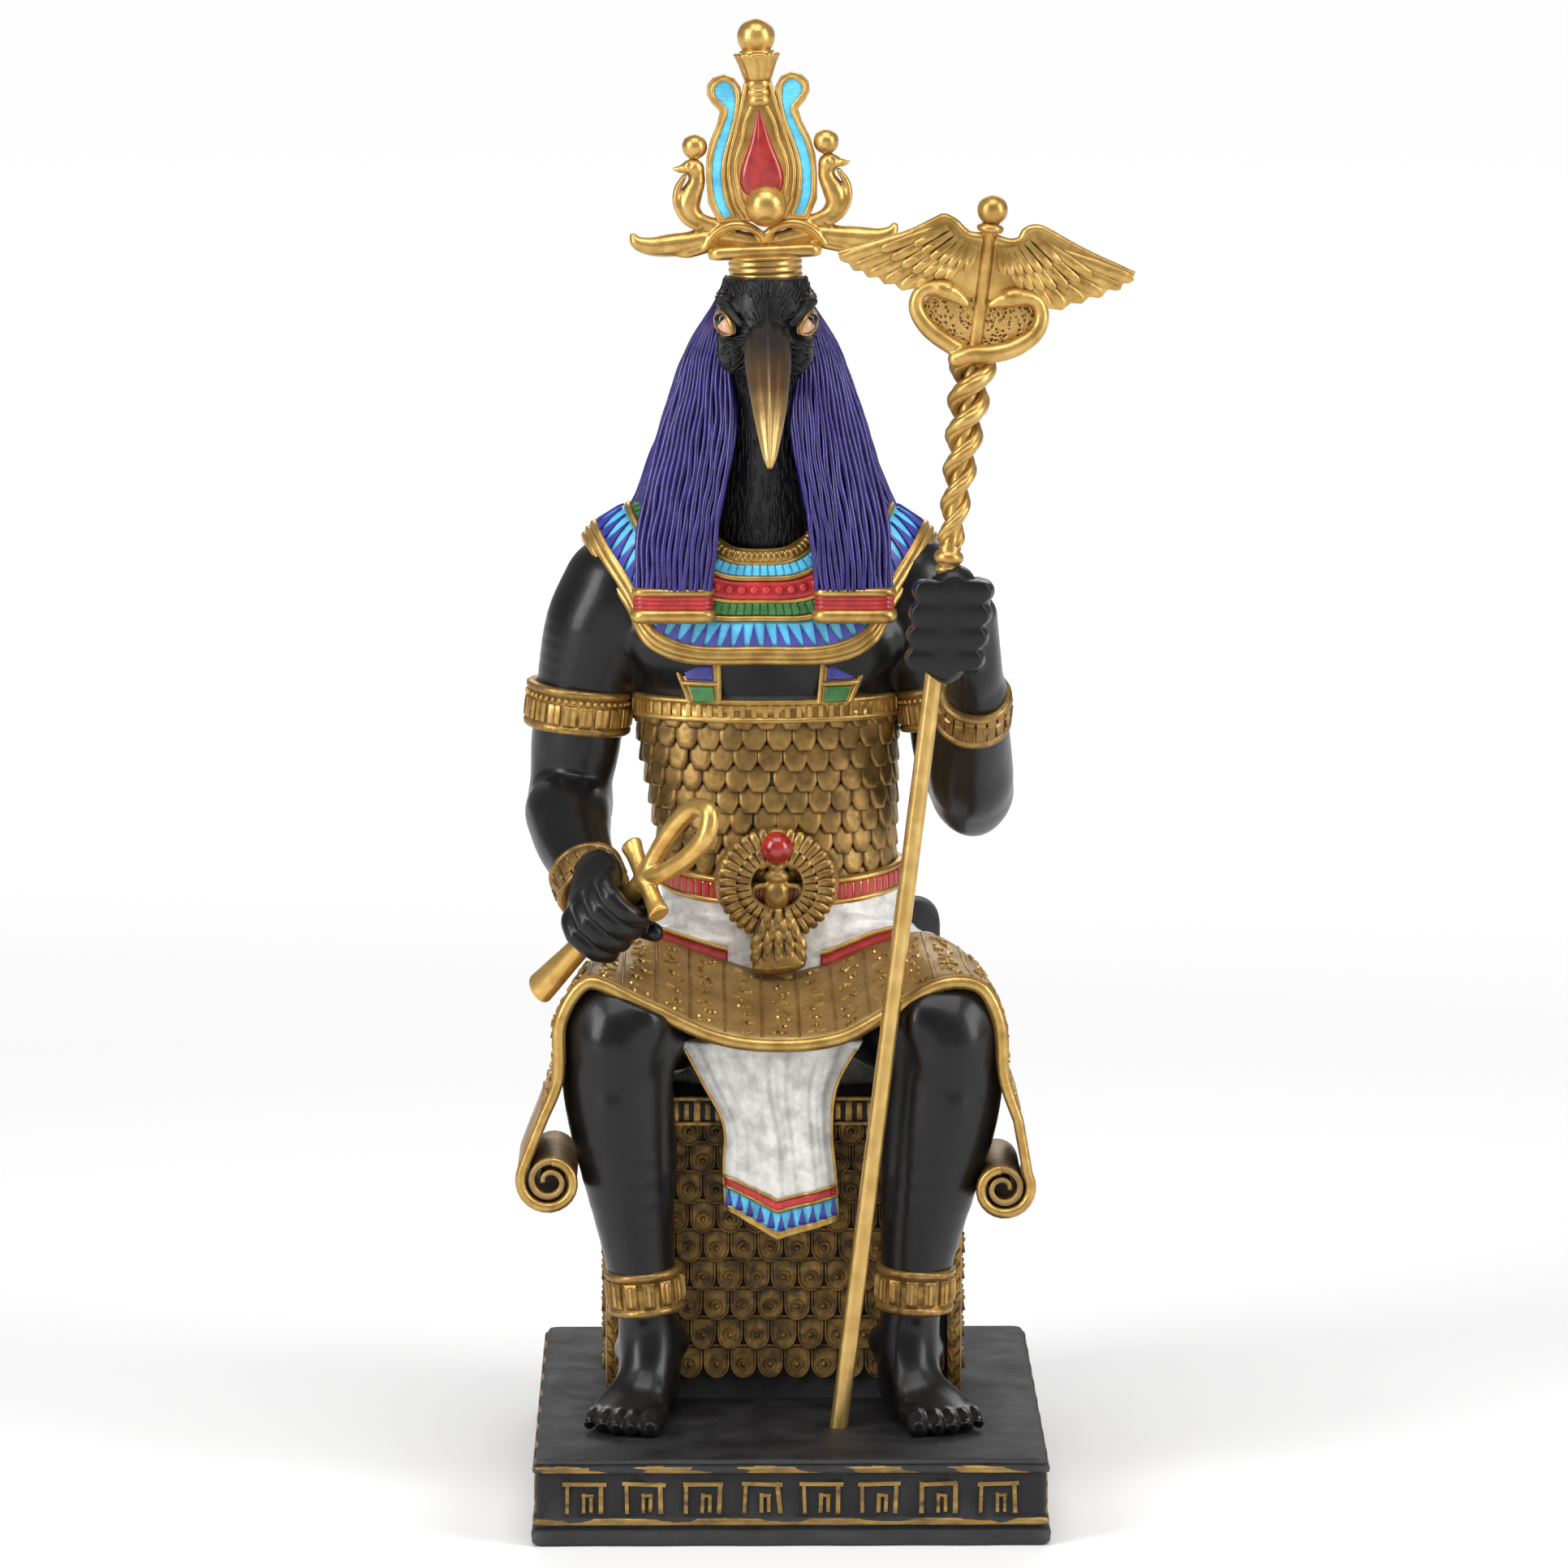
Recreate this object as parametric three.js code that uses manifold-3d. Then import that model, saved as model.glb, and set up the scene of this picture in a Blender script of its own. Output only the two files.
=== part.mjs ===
// Seated ibis-headed figure on a plinth: a small cast resin statue with a separate crown,
// ankh, metal staff rod and winged staff head.
// Millimetres, +Z up. The origin is the middle of the plinth's underside, the front faces -Y.

import * as THREE from "three";
import { mergeVertices } from "three/addons/utils/BufferGeometryUtils.js";
import Module from "manifold-3d";

const wasm = await Module();
wasm.setup();

// Driving dimensions
const gap = 0.3;                 // clearance kept between separate pieces
const plinthWidth = 100;         // across the ledge at the foot
const plinthDepth = 120;
const plinthHeight = 17;
const ledgeHeight = 3.3;
const ledgeReach = 0.6;          // the ledge stands this far outside the block above it
const seatLeft = -35.8;          // throne sides
const seatRight = 33.9;
const seatFront = -7;
const seatBack = 45;
const seatTop = 78.5;
const seatBandLow = 72.6;        // foot of the band under the throne's top
const backrestTop = 109;
const backrestBack = 52;
const torsoY = 20;
const chestRowPitch = 4.3;       // height of one row of armour scales
const tonguePitchX = 5.36;       // throne scales, across and up
const tonguePitchZ = 5.9;
const rodRadius = 1.75;
const rodFoot = new THREE.Vector3(8.5, -32, 8);
const rodTop = new THREE.Vector3(30.1, -28.7, 183);
const headTop = 237.0;           // seat cut into the head for the crown's drum
const crownAxis = new THREE.Vector3(-4.2, 14, headTop + gap);
const drumRadius = 7.3;          // the crown's round foot
const crownTurn = THREE.MathUtils.degToRad(2.3);
const ankhCentre = new THREE.Vector3(-28.2, -23, 124.6);
const ankhAlong = new THREE.Vector3(0.593, -0.42, 0.688).normalize();
const ankhAcross = new THREE.Vector3(0.312, -0.668, -0.676).normalize();
const up = new THREE.Vector3(0, 0, 1);

// Turning three.js geometries into solids and back

function toSolid(geometry) {
  let plain = geometry.index ? geometry.toNonIndexed() : geometry.clone();
  for (const name of Object.keys(plain.attributes)) {
    if (name !== "position") plain.deleteAttribute(name);
  }
  plain = mergeVertices(plain, 1e-4);
  const triangles = [];
  const index = plain.index.array;
  for (let i = 0; i < index.length; i += 3) {
    const [a, b, c] = [index[i], index[i + 1], index[i + 2]];
    if (a !== b && b !== c && c !== a) triangles.push(a, b, c);
  }
  return new wasm.Manifold(new wasm.Mesh({
    numProp: 3,
    vertProperties: new Float32Array(plain.attributes.position.array),
    triVerts: new Uint32Array(triangles),
  }));
}

function toGeometry(solid) {
  const mesh = solid.getMesh();
  const geometry = new THREE.BufferGeometry();
  geometry.setAttribute("position", new THREE.BufferAttribute(new Float32Array(mesh.vertProperties), 3));
  geometry.setIndex(new THREE.BufferAttribute(new Uint32Array(mesh.triVerts), 1));
  geometry.computeVertexNormals();
  return geometry;
}

// The outer skin alone: hollows that a join has sealed inside are left out, so they are solid
function outerSkin(geometry) {
  const index = geometry.index.array;
  const position = geometry.attributes.position;
  const parent = Array.from({ length: position.count }, (_, i) => i);
  const root = (i) => {
    while (parent[i] !== i) {
      parent[i] = parent[parent[i]];
      i = parent[i];
    }
    return i;
  };
  for (let i = 0; i < index.length; i += 3) {
    parent[root(index[i])] = root(index[i + 1]);
    parent[root(index[i + 2])] = root(index[i + 1]);
  }
  const volumes = new Map();
  const [a, b, c] = [new THREE.Vector3(), new THREE.Vector3(), new THREE.Vector3()];
  for (let i = 0; i < index.length; i += 3) {
    a.fromBufferAttribute(position, index[i]);
    b.fromBufferAttribute(position, index[i + 1]);
    c.fromBufferAttribute(position, index[i + 2]);
    const key = root(index[i]);
    volumes.set(key, (volumes.get(key) ?? 0) + a.dot(b.cross(c)) / 6);
  }
  const [outer] = [...volumes].reduce((best, entry) => (entry[1] > best[1] ? entry : best));
  const kept = [];
  for (let i = 0; i < index.length; i += 3) {
    if (root(index[i]) === outer) kept.push(index[i], index[i + 1], index[i + 2]);
  }
  const skin = new THREE.BufferGeometry();
  skin.setAttribute("position", position.clone());
  skin.setIndex(kept);
  return mergeVertices(skin, 0);
}

function join(solids) {
  return solids.reduce((whole, solid) => whole.add(solid));
}

// A matrix from three axis directions and an origin
function placed(x, y, z, origin) {
  return new THREE.Matrix4().makeBasis(x, y, z).setPosition(origin);
}

// Shape makers

// A closed skin through level elliptical rings: each ring is [x, y, z, halfWidth, halfDepth].
// ripple(angle) scales every ring's radius, for flutes.
function ringLoft(rings, sides, ripple = () => 1) {
  const geometry = new THREE.CylinderGeometry(1, 1, 1, sides, rings.length - 1);
  const position = geometry.attributes.position;
  for (let i = 0; i < position.count; i++) {
    const [x, y, z] = [position.getX(i), position.getY(i), position.getZ(i)];
    const row = Math.round((y + 0.5) * (rings.length - 1));
    const ring = rings[row];
    const reach = Math.hypot(x, z);
    const angle = Math.atan2(-z, x);
    const scale = reach < 1e-6 ? 0 : ripple(angle);
    position.setXYZ(
      i,
      ring[0] + Math.cos(angle) * ring[3] * scale,
      ring[1] + Math.sin(angle) * ring[4] * scale,
      ring[2],
    );
  }
  return toSolid(geometry);
}

// A rounded limb along a smooth line: each station is [x, y, z, radiusAcross, radiusAlong].
// radiusAcross is measured level, at right angles to the line.
function limb(stations, sides, rows, capRows = 2, reference = up) {
  const path = new THREE.CatmullRomCurve3(stations.map((s) => new THREE.Vector3(s[0], s[1], s[2])), false, "centripetal");
  const radii = new THREE.CatmullRomCurve3(stations.map((s) => new THREE.Vector3(s[3], s[4] ?? s[3], 0)));
  const geometry = new THREE.SphereGeometry(1, sides, rows);
  const position = geometry.attributes.position;
  const bodyRows = rows - 2 * capRows;
  for (let i = 0; i < position.count; i++) {
    const [x, y, z] = [position.getX(i), position.getY(i), position.getZ(i)];
    const row = Math.round((Math.acos(THREE.MathUtils.clamp(y, -1, 1)) / Math.PI) * rows);
    const t = THREE.MathUtils.clamp((row - capRows) / bodyRows, 0, 1);
    let swell = 1;
    let beyond = 0;
    if (row < capRows) {
      swell = Math.sin((row / capRows) * Math.PI / 2);
      beyond = -Math.cos((row / capRows) * Math.PI / 2);
    } else if (row > rows - capRows) {
      swell = Math.sin(((rows - row) / capRows) * Math.PI / 2);
      beyond = Math.cos(((rows - row) / capRows) * Math.PI / 2);
    }
    const radius = radii.getPoint(t);
    const tangent = path.getTangent(t);
    const across = new THREE.Vector3().crossVectors(tangent, reference).normalize();
    const along = new THREE.Vector3().crossVectors(across, tangent);
    const angle = Math.atan2(z, x);
    const flat = Math.hypot(x, z) < 1e-6 ? 0 : swell;
    const point = path.getPoint(t)
      .addScaledVector(tangent, beyond * Math.min(radius.x, radius.y))
      .addScaledVector(across, Math.cos(angle) * radius.x * flat)
      .addScaledVector(along, Math.sin(angle) * radius.y * flat);
    position.setXYZ(i, point.x, point.y, point.z);
  }
  const solid = toSolid(geometry);
  return solid.volume() > 0 ? solid : toSolid(flipped(geometry));
}

function flipped(geometry) {
  const copy = geometry.clone();
  const index = copy.index.array;
  for (let i = 0; i < index.length; i += 3) [index[i], index[i + 1]] = [index[i + 1], index[i]];
  return copy;
}

// An outline in the X-Z plane, as thick as given, centred on the plane y
function plate(shape, y, thickness, matrix = new THREE.Matrix4(), curveSegments = 5) {
  const geometry = new THREE.ExtrudeGeometry(shape, { depth: thickness, bevelEnabled: false, curveSegments });
  geometry.applyMatrix4(new THREE.Matrix4().makeRotationX(Math.PI / 2));
  geometry.translate(0, y + thickness / 2, 0);
  geometry.applyMatrix4(matrix);
  return toSolid(geometry);
}

function block(x0, x1, y0, y1, z0, z1) {
  const geometry = new THREE.BoxGeometry(x1 - x0, y1 - y0, z1 - z0);
  geometry.translate((x0 + x1) / 2, (y0 + y1) / 2, (z0 + z1) / 2);
  return toSolid(geometry);
}

function ball(x, y, z, rx, ry = rx, rz = rx, sides = 12, rows = 8) {
  const geometry = new THREE.SphereGeometry(1, sides, rows);
  geometry.rotateX(Math.PI / 2);
  geometry.scale(rx, ry, rz);
  geometry.translate(x, y, z);
  return toSolid(geometry);
}

// A turned piece standing on a frame: the profile is [radius, height] from axis to axis
function turned(profile, sides, matrix) {
  const geometry = new THREE.LatheGeometry(profile.map(([r, h]) => new THREE.Vector2(r, h)), sides);
  geometry.applyMatrix4(new THREE.Matrix4().makeRotationX(Math.PI / 2));
  geometry.applyMatrix4(matrix);
  const solid = toSolid(geometry);
  return solid.volume() > 0 ? solid : toSolid(flipped(geometry));
}

function outline(points) {
  return new THREE.Shape(points.map(([x, z]) => new THREE.Vector2(x, z)));
}

// The plinth: ledge, block, two bands and a row of raised gate motifs on the front

const blockHalfWidth = plinthWidth / 2 - ledgeReach;
const blockHalfDepth = plinthDepth / 2 - ledgeReach;

function gateMotif(width, height) {
  const bar = width * 0.16;
  const shape = outline([[0, 0], [bar, 0], [bar, height - bar], [width * 0.42, height - bar],
    [width * 0.42, 0], [width * 0.58, 0], [width * 0.58, height - bar], [width - bar, height - bar],
    [width - bar, 0], [width, 0], [width, height], [0, height]]);
  return shape;
}

function plinth() {
  const relief = 0.5;
  const parts = [
    block(-plinthWidth / 2, plinthWidth / 2, -plinthDepth / 2, plinthDepth / 2, 0, ledgeHeight),
    block(-blockHalfWidth, blockHalfWidth, -blockHalfDepth, blockHalfDepth, ledgeHeight - 1, plinthHeight),
  ];
  const bands = [[4.0, 5.7], [14.2, 16.0]];
  for (const [low, high] of bands) {
    parts.push(block(-blockHalfWidth - relief, blockHalfWidth + relief,
      -blockHalfDepth - relief, blockHalfDepth + relief, low, high));
  }
  const motifCount = 8;
  const motifWidth = 7.6;
  const motifPitch = 11.45;
  for (let i = 0; i < motifCount; i++) {
    const x = (i - (motifCount - 1) / 2) * motifPitch - motifWidth / 2;
    const place = new THREE.Matrix4().makeTranslation(x, 0, 6.4);
    parts.push(plate(gateMotif(motifWidth, 6.2), -blockHalfDepth, 2 * relief, place));
  }
  return join(parts);
}

// The throne: block, low backrest, fluted top band, side strips and rows of tongue scales

function tongueRow(z, offset) {
  const shape = new THREE.Shape();
  const radius = tonguePitchX / 2;
  const count = 8 - (offset ? 1 : 0);
  const left = (seatLeft + seatRight) / 2 - (count * tonguePitchX) / 2 - 1;
  const overlap = tonguePitchZ + radius;
  shape.moveTo(left, overlap);
  for (let i = 0; i < count; i++) {
    const x = left + i * tonguePitchX;
    shape.lineTo(x, radius);
    shape.lineTo(x + radius, 0);
  }
  shape.lineTo(left + count * tonguePitchX, radius);
  shape.lineTo(left + count * tonguePitchX, overlap);
  const tilt = 0.9 / tonguePitchZ;
  const lean = new THREE.Matrix4().makeShear(0, 0, 0, 0, 0, tilt);
  const place = new THREE.Matrix4().makeTranslation(0, seatFront - 0.35, z).multiply(lean);
  return plate(shape, 0, 1.6, place);
}

function throne() {
  const parts = [
    block(seatLeft, seatRight, seatFront, seatBack + 2, plinthHeight - 1, seatTop),
    block(seatLeft - 0.6, seatRight + 0.6, seatFront - 0.8, seatBack + 2, seatBandLow, seatTop),
    block(seatLeft - 0.7, seatLeft + 2.4, seatFront - 1.2, seatFront + 4, plinthHeight - 1, seatBandLow),
    block(seatRight - 2.4, seatRight + 0.7, seatFront - 1.2, seatFront + 4, plinthHeight - 1, seatBandLow),
  ];
  const arch = new THREE.Shape();
  const corner = 5;
  const [left, right] = [seatLeft + 2.3, seatRight - 2.3];
  arch.moveTo(left, plinthHeight - 1);
  arch.lineTo(right, plinthHeight - 1);
  arch.lineTo(right, backrestTop - corner);
  arch.absarc(right - corner, backrestTop - corner, corner, 0, Math.PI / 2, false);
  arch.lineTo(left + corner, backrestTop);
  arch.absarc(left + corner, backrestTop - corner, corner, Math.PI / 2, Math.PI, false);
  parts.push(plate(arch, (seatBack + backrestBack) / 2, backrestBack - seatBack));
  const rows = Math.floor((seatBandLow - plinthHeight) / tonguePitchZ);
  for (let row = 0; row <= rows; row++) {
    const z = seatBandLow - (row + 1) * tonguePitchZ;
    if (z > plinthHeight - 4) parts.push(tongueRow(Math.max(z, plinthHeight - 0.5), row % 2 === 1));
  }
  return join(parts);
}

// The body: chest with stepped scale rows, belt, hips, arms, legs, hands and feet

function torso() {
  const rings = [[-1, 21, 110, 23, 16]];
  const waist = { z: 123, x: -1.6, halfWidth: 23, halfDepth: 15 };
  const breast = { z: 154.5, x: -4.4, halfWidth: 26, halfDepth: 17 };
  const rowCount = Math.floor((breast.z - waist.z) / chestRowPitch);
  const flare = 0.7;
  for (let row = 0; row < rowCount; row++) {
    for (const [edge, extra] of [[0.02, flare], [0.98, 0]]) {
      const t = (row + edge) / rowCount;
      rings.push([
        THREE.MathUtils.lerp(waist.x, breast.x, t), torsoY,
        THREE.MathUtils.lerp(waist.z, breast.z, t),
        THREE.MathUtils.lerp(waist.halfWidth, breast.halfWidth, t) + extra,
        THREE.MathUtils.lerp(waist.halfDepth, breast.halfDepth, t) + extra,
      ]);
    }
  }
  rings.push(
    [-4.5, 20, 154.6, 27, 18], [-4.5, 20, 158.6, 27.4, 18.2], [-4.5, 20, 158.7, 26.6, 17.4],
    [-4.5, 20, 170, 30.5, 17], [-4.5, 19.5, 183, 27, 14], [-4.5, 17, 191, 12, 10],
  );
  return ringLoft(rings, 16);
}

function collar() {
  // a cape of three steps over chest and shoulders, cut to its wing-shaped outline
  const steps = [[166, 1.6], [175, 1]];
  const layers = steps.map(([low, extra]) => ringLoft([
    [-4.5, 20, low, 34 + extra, 17.6 + extra], [-4.5, 20, 175.5, 36 + extra, 16.6 + extra],
    [-4.5, 20, 183, 36.5 + extra, 14.5 + extra], [-4.5, 19.5, 188.5, 30 + extra, 12.5 + extra],
    [-4.5, 18, 192, 15, 11.5],
  ], 14));
  const front = outline([[-41, 187.5], [-28, 196], [19, 196], [31, 187.5], [25.4, 175], [19, 167], [-24.5, 167],
    [-29, 170.5]]);
  const bib = new THREE.Shape(front.getPoints());
  return join(layers).intersect(plate(bib, 20, 60));
}

function strap(x0, x1, x2, x3) {
  return plate(outline([[x0, 167], [x1, 156], [x2, 156], [x3, 167]]), 8, 14)
    .intersect(ringLoft([[-4.5, 20, 155, 27.3, 18.1], [-4.5, 20, 168, 31, 18.5]], 18));
}

function upperBody() {
  const parts = [torso(), collar(), strap(-24, -18.5, -13.8, -14), strap(6.5, 6.2, 11.5, 16.5)];
  // right arm, on the viewer's left
  parts.push(limb([[-33, 20, 176, 11.5], [-37, 20, 168, 11.6], [-41, 20, 154, 9.6], [-43, 20.5, 141, 8.8],
    [-43.6, 20, 132.5, 8.4]], 10, 8));
  parts.push(limb([[-43.6, 20, 133, 8.4], [-43.2, 8, 129.6, 7.9], [-41, -3, 125, 7], [-39.2, -10, 121.5, 6]], 10, 6, 1));
  parts.push(limb([[-41.2, 20, 157.2, 10.4], [-42.2, 20.2, 148.6, 10.2]], 12, 3, 1));
  parts.push(ball(-50.3, 16, 153, 2, 3.6, 4.2, 8, 4));
  parts.push(limb([[-40.2, -5.4, 123.6, 7.5], [-38.2, -11.6, 119.6, 7.2]], 12, 3, 1));
  // left arm, on the viewer's right
  parts.push(limb([[24, 20, 176.5, 11.5], [28, 20, 168, 11.6], [32.8, 19, 154, 9.6], [35, 17, 142, 8.8],
    [37, 13.5, 136.4, 8.3]], 10, 8));
  parts.push(limb([[37, 13.5, 136.4, 8.3], [36.4, 3, 145, 8.1], [36.6, -7, 154, 7], [36.9, -13, 160, 5.9]], 10, 6, 1));
  parts.push(limb([[32.2, 19.2, 157.4, 10.4], [33.4, 18.6, 149.4, 10.2]], 12, 3, 1));
  parts.push(limb([[36.4, -7.4, 153.6, 7.5], [36.6, -13, 160, 7.2]], 12, 3, 1));
  return join(parts);
}

// A finger is a limb through places given as [distance, degrees] round the thing it grips.
// The two directions at right angles to the grip are where 0 and 90 degrees point.
function finger(middle, toward0, toward90, turns, radius) {
  return limb(turns.map(([distance, degrees]) => {
    const angle = THREE.MathUtils.degToRad(degrees);
    const point = middle.clone()
      .addScaledVector(toward0, distance * Math.cos(angle))
      .addScaledVector(toward90, distance * Math.sin(angle));
    return [point.x, point.y, point.z, radius];
  }), 6, 5, 1);
}

function rightHand() {
  const outward = new THREE.Vector3().crossVectors(ankhAcross, ankhAlong);
  const inward = outward.clone().negate();
  const grip = ankhCentre.clone().addScaledVector(ankhAlong, -10.5);
  const knuckles = grip.clone().addScaledVector(outward, 4.6).addScaledVector(ankhAcross, -1.6);
  const parts = [
    limb([[-39.2, -10.5, 121.3, 6, 5.4], [...grip.clone().addScaledVector(ankhAcross, -6)
      .addScaledVector(outward, 2.4).toArray(), 8, 5], [...knuckles.toArray(), 8.4, 3.6]], 8, 6, 2, inward),
    limb([[-36, -12.5, 117.4, 3], [-30.6, -14.6, 114.6, 2.5], [-26.4, -19.4, 113.4, 2]], 6, 5, 1),
  ];
  const turns = [[5.8, -20], [6.3, 25], [6.2, 65], [5.4, 110], [4.4, 160], [4.2, 200]];
  const fingerPitch = 3.9;
  for (const [i, radius] of [2.2, 2.3, 2.25, 2].entries()) {
    const middle = grip.clone().addScaledVector(ankhAlong, (1.5 - i) * fingerPitch);
    parts.push(finger(middle, outward, ankhAcross, turns, radius));
  }
  return join(parts);
}

function leftHand() {
  const axis = new THREE.Vector3().subVectors(rodTop, rodFoot).normalize();
  const right = new THREE.Vector3(1, 0, 0);
  const forward = new THREE.Vector3(0, -1, 0);
  const palm = limb([[36.9, -12, 159.5, 6, 5.6], [35.8, -18, 167, 5.8, 6.8], [35.8, -21.5, 176.6, 5, 6.6]], 8, 6);
  const thumb = limb([[36.6, -15.5, 171, 3.2], [31.4, -20, 177, 2.8], [26, -23.6, 181.6, 2.3]], 6, 5, 1);
  const parts = [palm, thumb];
  const turns = [[7.4, -10], [8.2, 40], [5.4, 90], [6.4, 150], [5.2, 190]];
  const fingerPitch = 4.3;
  for (const [i, radius] of [2.35, 2.45, 2.4, 2.2].entries()) {
    const height = 169 + (3 - i) * fingerPitch + (i === 0 ? -0.3 : 0);
    const middle = rodFoot.clone().addScaledVector(axis, (height - rodFoot.z) / axis.z);
    parts.push(finger(middle, right, forward, turns, radius));
  }
  return join(parts);
}

function leg(side) {
  const stations = side < 0
    ? { hip: [-15, 22, 94, 15.5, 15.5], thigh: [-25, 0, 94, 13.8, 13], knee: [-33.2, -20, 93, 12, 12],
      shin: [[-33.4, -19.2, 94, 12, 11.6], [-33.7, -19, 84, 11.3, 12], [-32.6, -17.6, 73, 10.2, 12],
        [-30.2, -17.6, 54, 7.6, 8.6], [-28.2, -17.8, 38, 5.9, 7.2], [-27.4, -18, 27, 6.3, 8]],
      band: [[-28.9, -17.8, 46.2, 7.2, 8.4], [-28.1, -17.8, 37.4, 7, 8.2]], toeLine: -32.7, heel: -26.6, turn: -1 }
    : { hip: [13, 22, 94, 15.5, 15.5], thigh: [23, 0, 94, 13.8, 13], knee: [31.3, -20, 93, 12, 12],
      shin: [[31.2, -19.2, 94, 12, 11.6], [31, -19, 84, 11.5, 12], [29.4, -17.6, 73, 10.8, 12],
        [26.2, -17.6, 54, 8, 8.6], [24.2, -17.8, 38, 6, 7.2], [23.4, -18, 27, 6.4, 8]],
      band: [[25.2, -17.8, 46.6, 7.3, 8.4], [24.8, -17.8, 37.6, 7.1, 8.2]], toeLine: 30.4, heel: 22.8, turn: 1 };
  const front = new THREE.Vector3(0, -1, 0);
  const parts = [
    limb([stations.hip, stations.thigh, stations.knee], 10, 6),
    limb(stations.shin, 10, 9, 1, front),
    limb(stations.band, 12, 3, 1, front),
  ];
  // foot: arch from heel to the ball, then five toes
  parts.push(limb([[stations.heel, -11.5, 21.6, 5.4, 4.6], [stations.heel + stations.turn * 1.6, -20, 23.2, 6.4, 6],
    [(stations.heel + stations.toeLine) / 2 + stations.turn, -28, 20.6, 7, 4.2],
    [stations.toeLine, -34.5, 19.2, 7.4, 2.6]], 10, 6));
  const toes = [{ across: -5.3, reach: 0, radius: 2.3 }, { across: -1.4, reach: -0.2, radius: 1.75 },
    { across: 1.7, reach: 0.9, radius: 1.65 }, { across: 4.4, reach: 2.4, radius: 1.5 },
    { across: 6.7, reach: 4.4, radius: 1.35 }];
  for (const toe of toes) {
    const x = stations.toeLine + stations.turn * toe.across;
    const y = -40.2 + toe.reach;
    const splay = stations.turn * 0.22;
    parts.push(limb([[x - splay * 7, y + 8, 19.6, toe.radius], [x - splay * 3, y + 3.2, 19.9, toe.radius],
      [x, y, 18.6, toe.radius * 0.95]], 5, 4, 1));
  }
  return join(parts);
}

function lapCloths() {
  // white hip wraps over the seat, then the kilt panel hanging to a pointed hem
  const panelTop = -17;
  const folds = 3;
  const hip = ringLoft([[-1, 22, 84, 31, 21], [-1, 20, 104, 25.6, 20], [-1, 20.5, 116, 24, 17]], 18);
  const shape = outline([[-22.5, 94], [-17.2, 78], [-12.8, 68], [-13.2, 60], [-10, 56.6], [-2.4, 51.6], [9.9, 55],
    [8.8, 68], [9.4, 76], [15, 94]]);
  const parts = [hip, plate(shape, (panelTop + seatFront) / 2 + 1, seatFront - panelTop + 2)];
  for (let fold = 0; fold < folds; fold++) {
    const t = (fold + 0.5) / folds - 0.5;
    parts.push(limb([[-3.6 + t * 30, panelTop + 0.4, 90, 1.9, 1.5], [-3 + t * 20, panelTop + 0.2, 70, 1.5, 1.3],
      [-1.9 + t * 17, panelTop + 0.4, 60 - Math.cos(t * 3) * 3, 1.1, 1]], 6, 4, 1));
  }
  return join(parts);
}

function belt() {
  const parts = [ringLoft([[-1, 20, 116.6, 24.4, 16.6], [-1, 20, 122.4, 24.6, 16.6]], 18)];
  // winged beetle with a ball above and a tail of feathers over the lap
  parts.push(ball(-2.2, 2.2, 126.9, 3.4, 3.4, 3.4, 10, 6));
  parts.push(ball(-2.2, 2.6, 118.8, 3, 3, 5.4, 8, 6));
  const wing = new THREE.Shape();
  wing.moveTo(0, 115);
  wing.absarc(0, 119.5, 11, -0.35, Math.PI * 0.34, false);
  wing.lineTo(2.5, 122.5);
  for (const side of [-1, 1]) {
    const place = new THREE.Matrix4().makeTranslation(-2.2, 0, 0).multiply(new THREE.Matrix4().makeScale(side, 1, 1));
    const geometry = new THREE.ExtrudeGeometry(wing, { depth: 4, bevelEnabled: false, curveSegments: 6 });
    geometry.applyMatrix4(new THREE.Matrix4().makeRotationX(Math.PI / 2));
    geometry.translate(0, 6, 0);
    geometry.applyMatrix4(place);
    parts.push(toSolid(side < 0 ? flipped(mergeVertices(geometry)) : geometry));
  }
  parts.push(plate(outline([[-5, 114], [0.6, 114], [4.4, 105.5], [-8.6, 105.5]]), -0.5, 9));
  return join(parts);
}

// The papyrus over the lap: a thick sheet along a line in the X-Z plane, ending in two rolls

const frontRim = [[-53, 69], [-49.4, 77.4], [-46.4, 86], [-46, 97.6], [-39.5, 106], [-28, 101.4], [-14, 95],
  [-2.4, 93.4], [9, 94.6], [18, 99.2], [29, 105.4], [38, 104.8], [42.4, 97], [43.2, 86], [45.8, 77.2], [48, 70]];
const backEdge = [[-53, 69], [-49.4, 77.4], [-46.2, 86], [-44.4, 96], [-38.5, 105], [-28, 109.2], [-14, 104.6],
  [-2.4, 101.6], [8, 103.6], [17, 107.4], [27, 109.8], [36, 105], [41, 96.6], [42.8, 86], [45.8, 77.2], [48, 70]];

function sheetLine(points, y) {
  return new THREE.CatmullRomCurve3(points.map(([x, z]) => new THREE.Vector3(x, y, z)));
}

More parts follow.
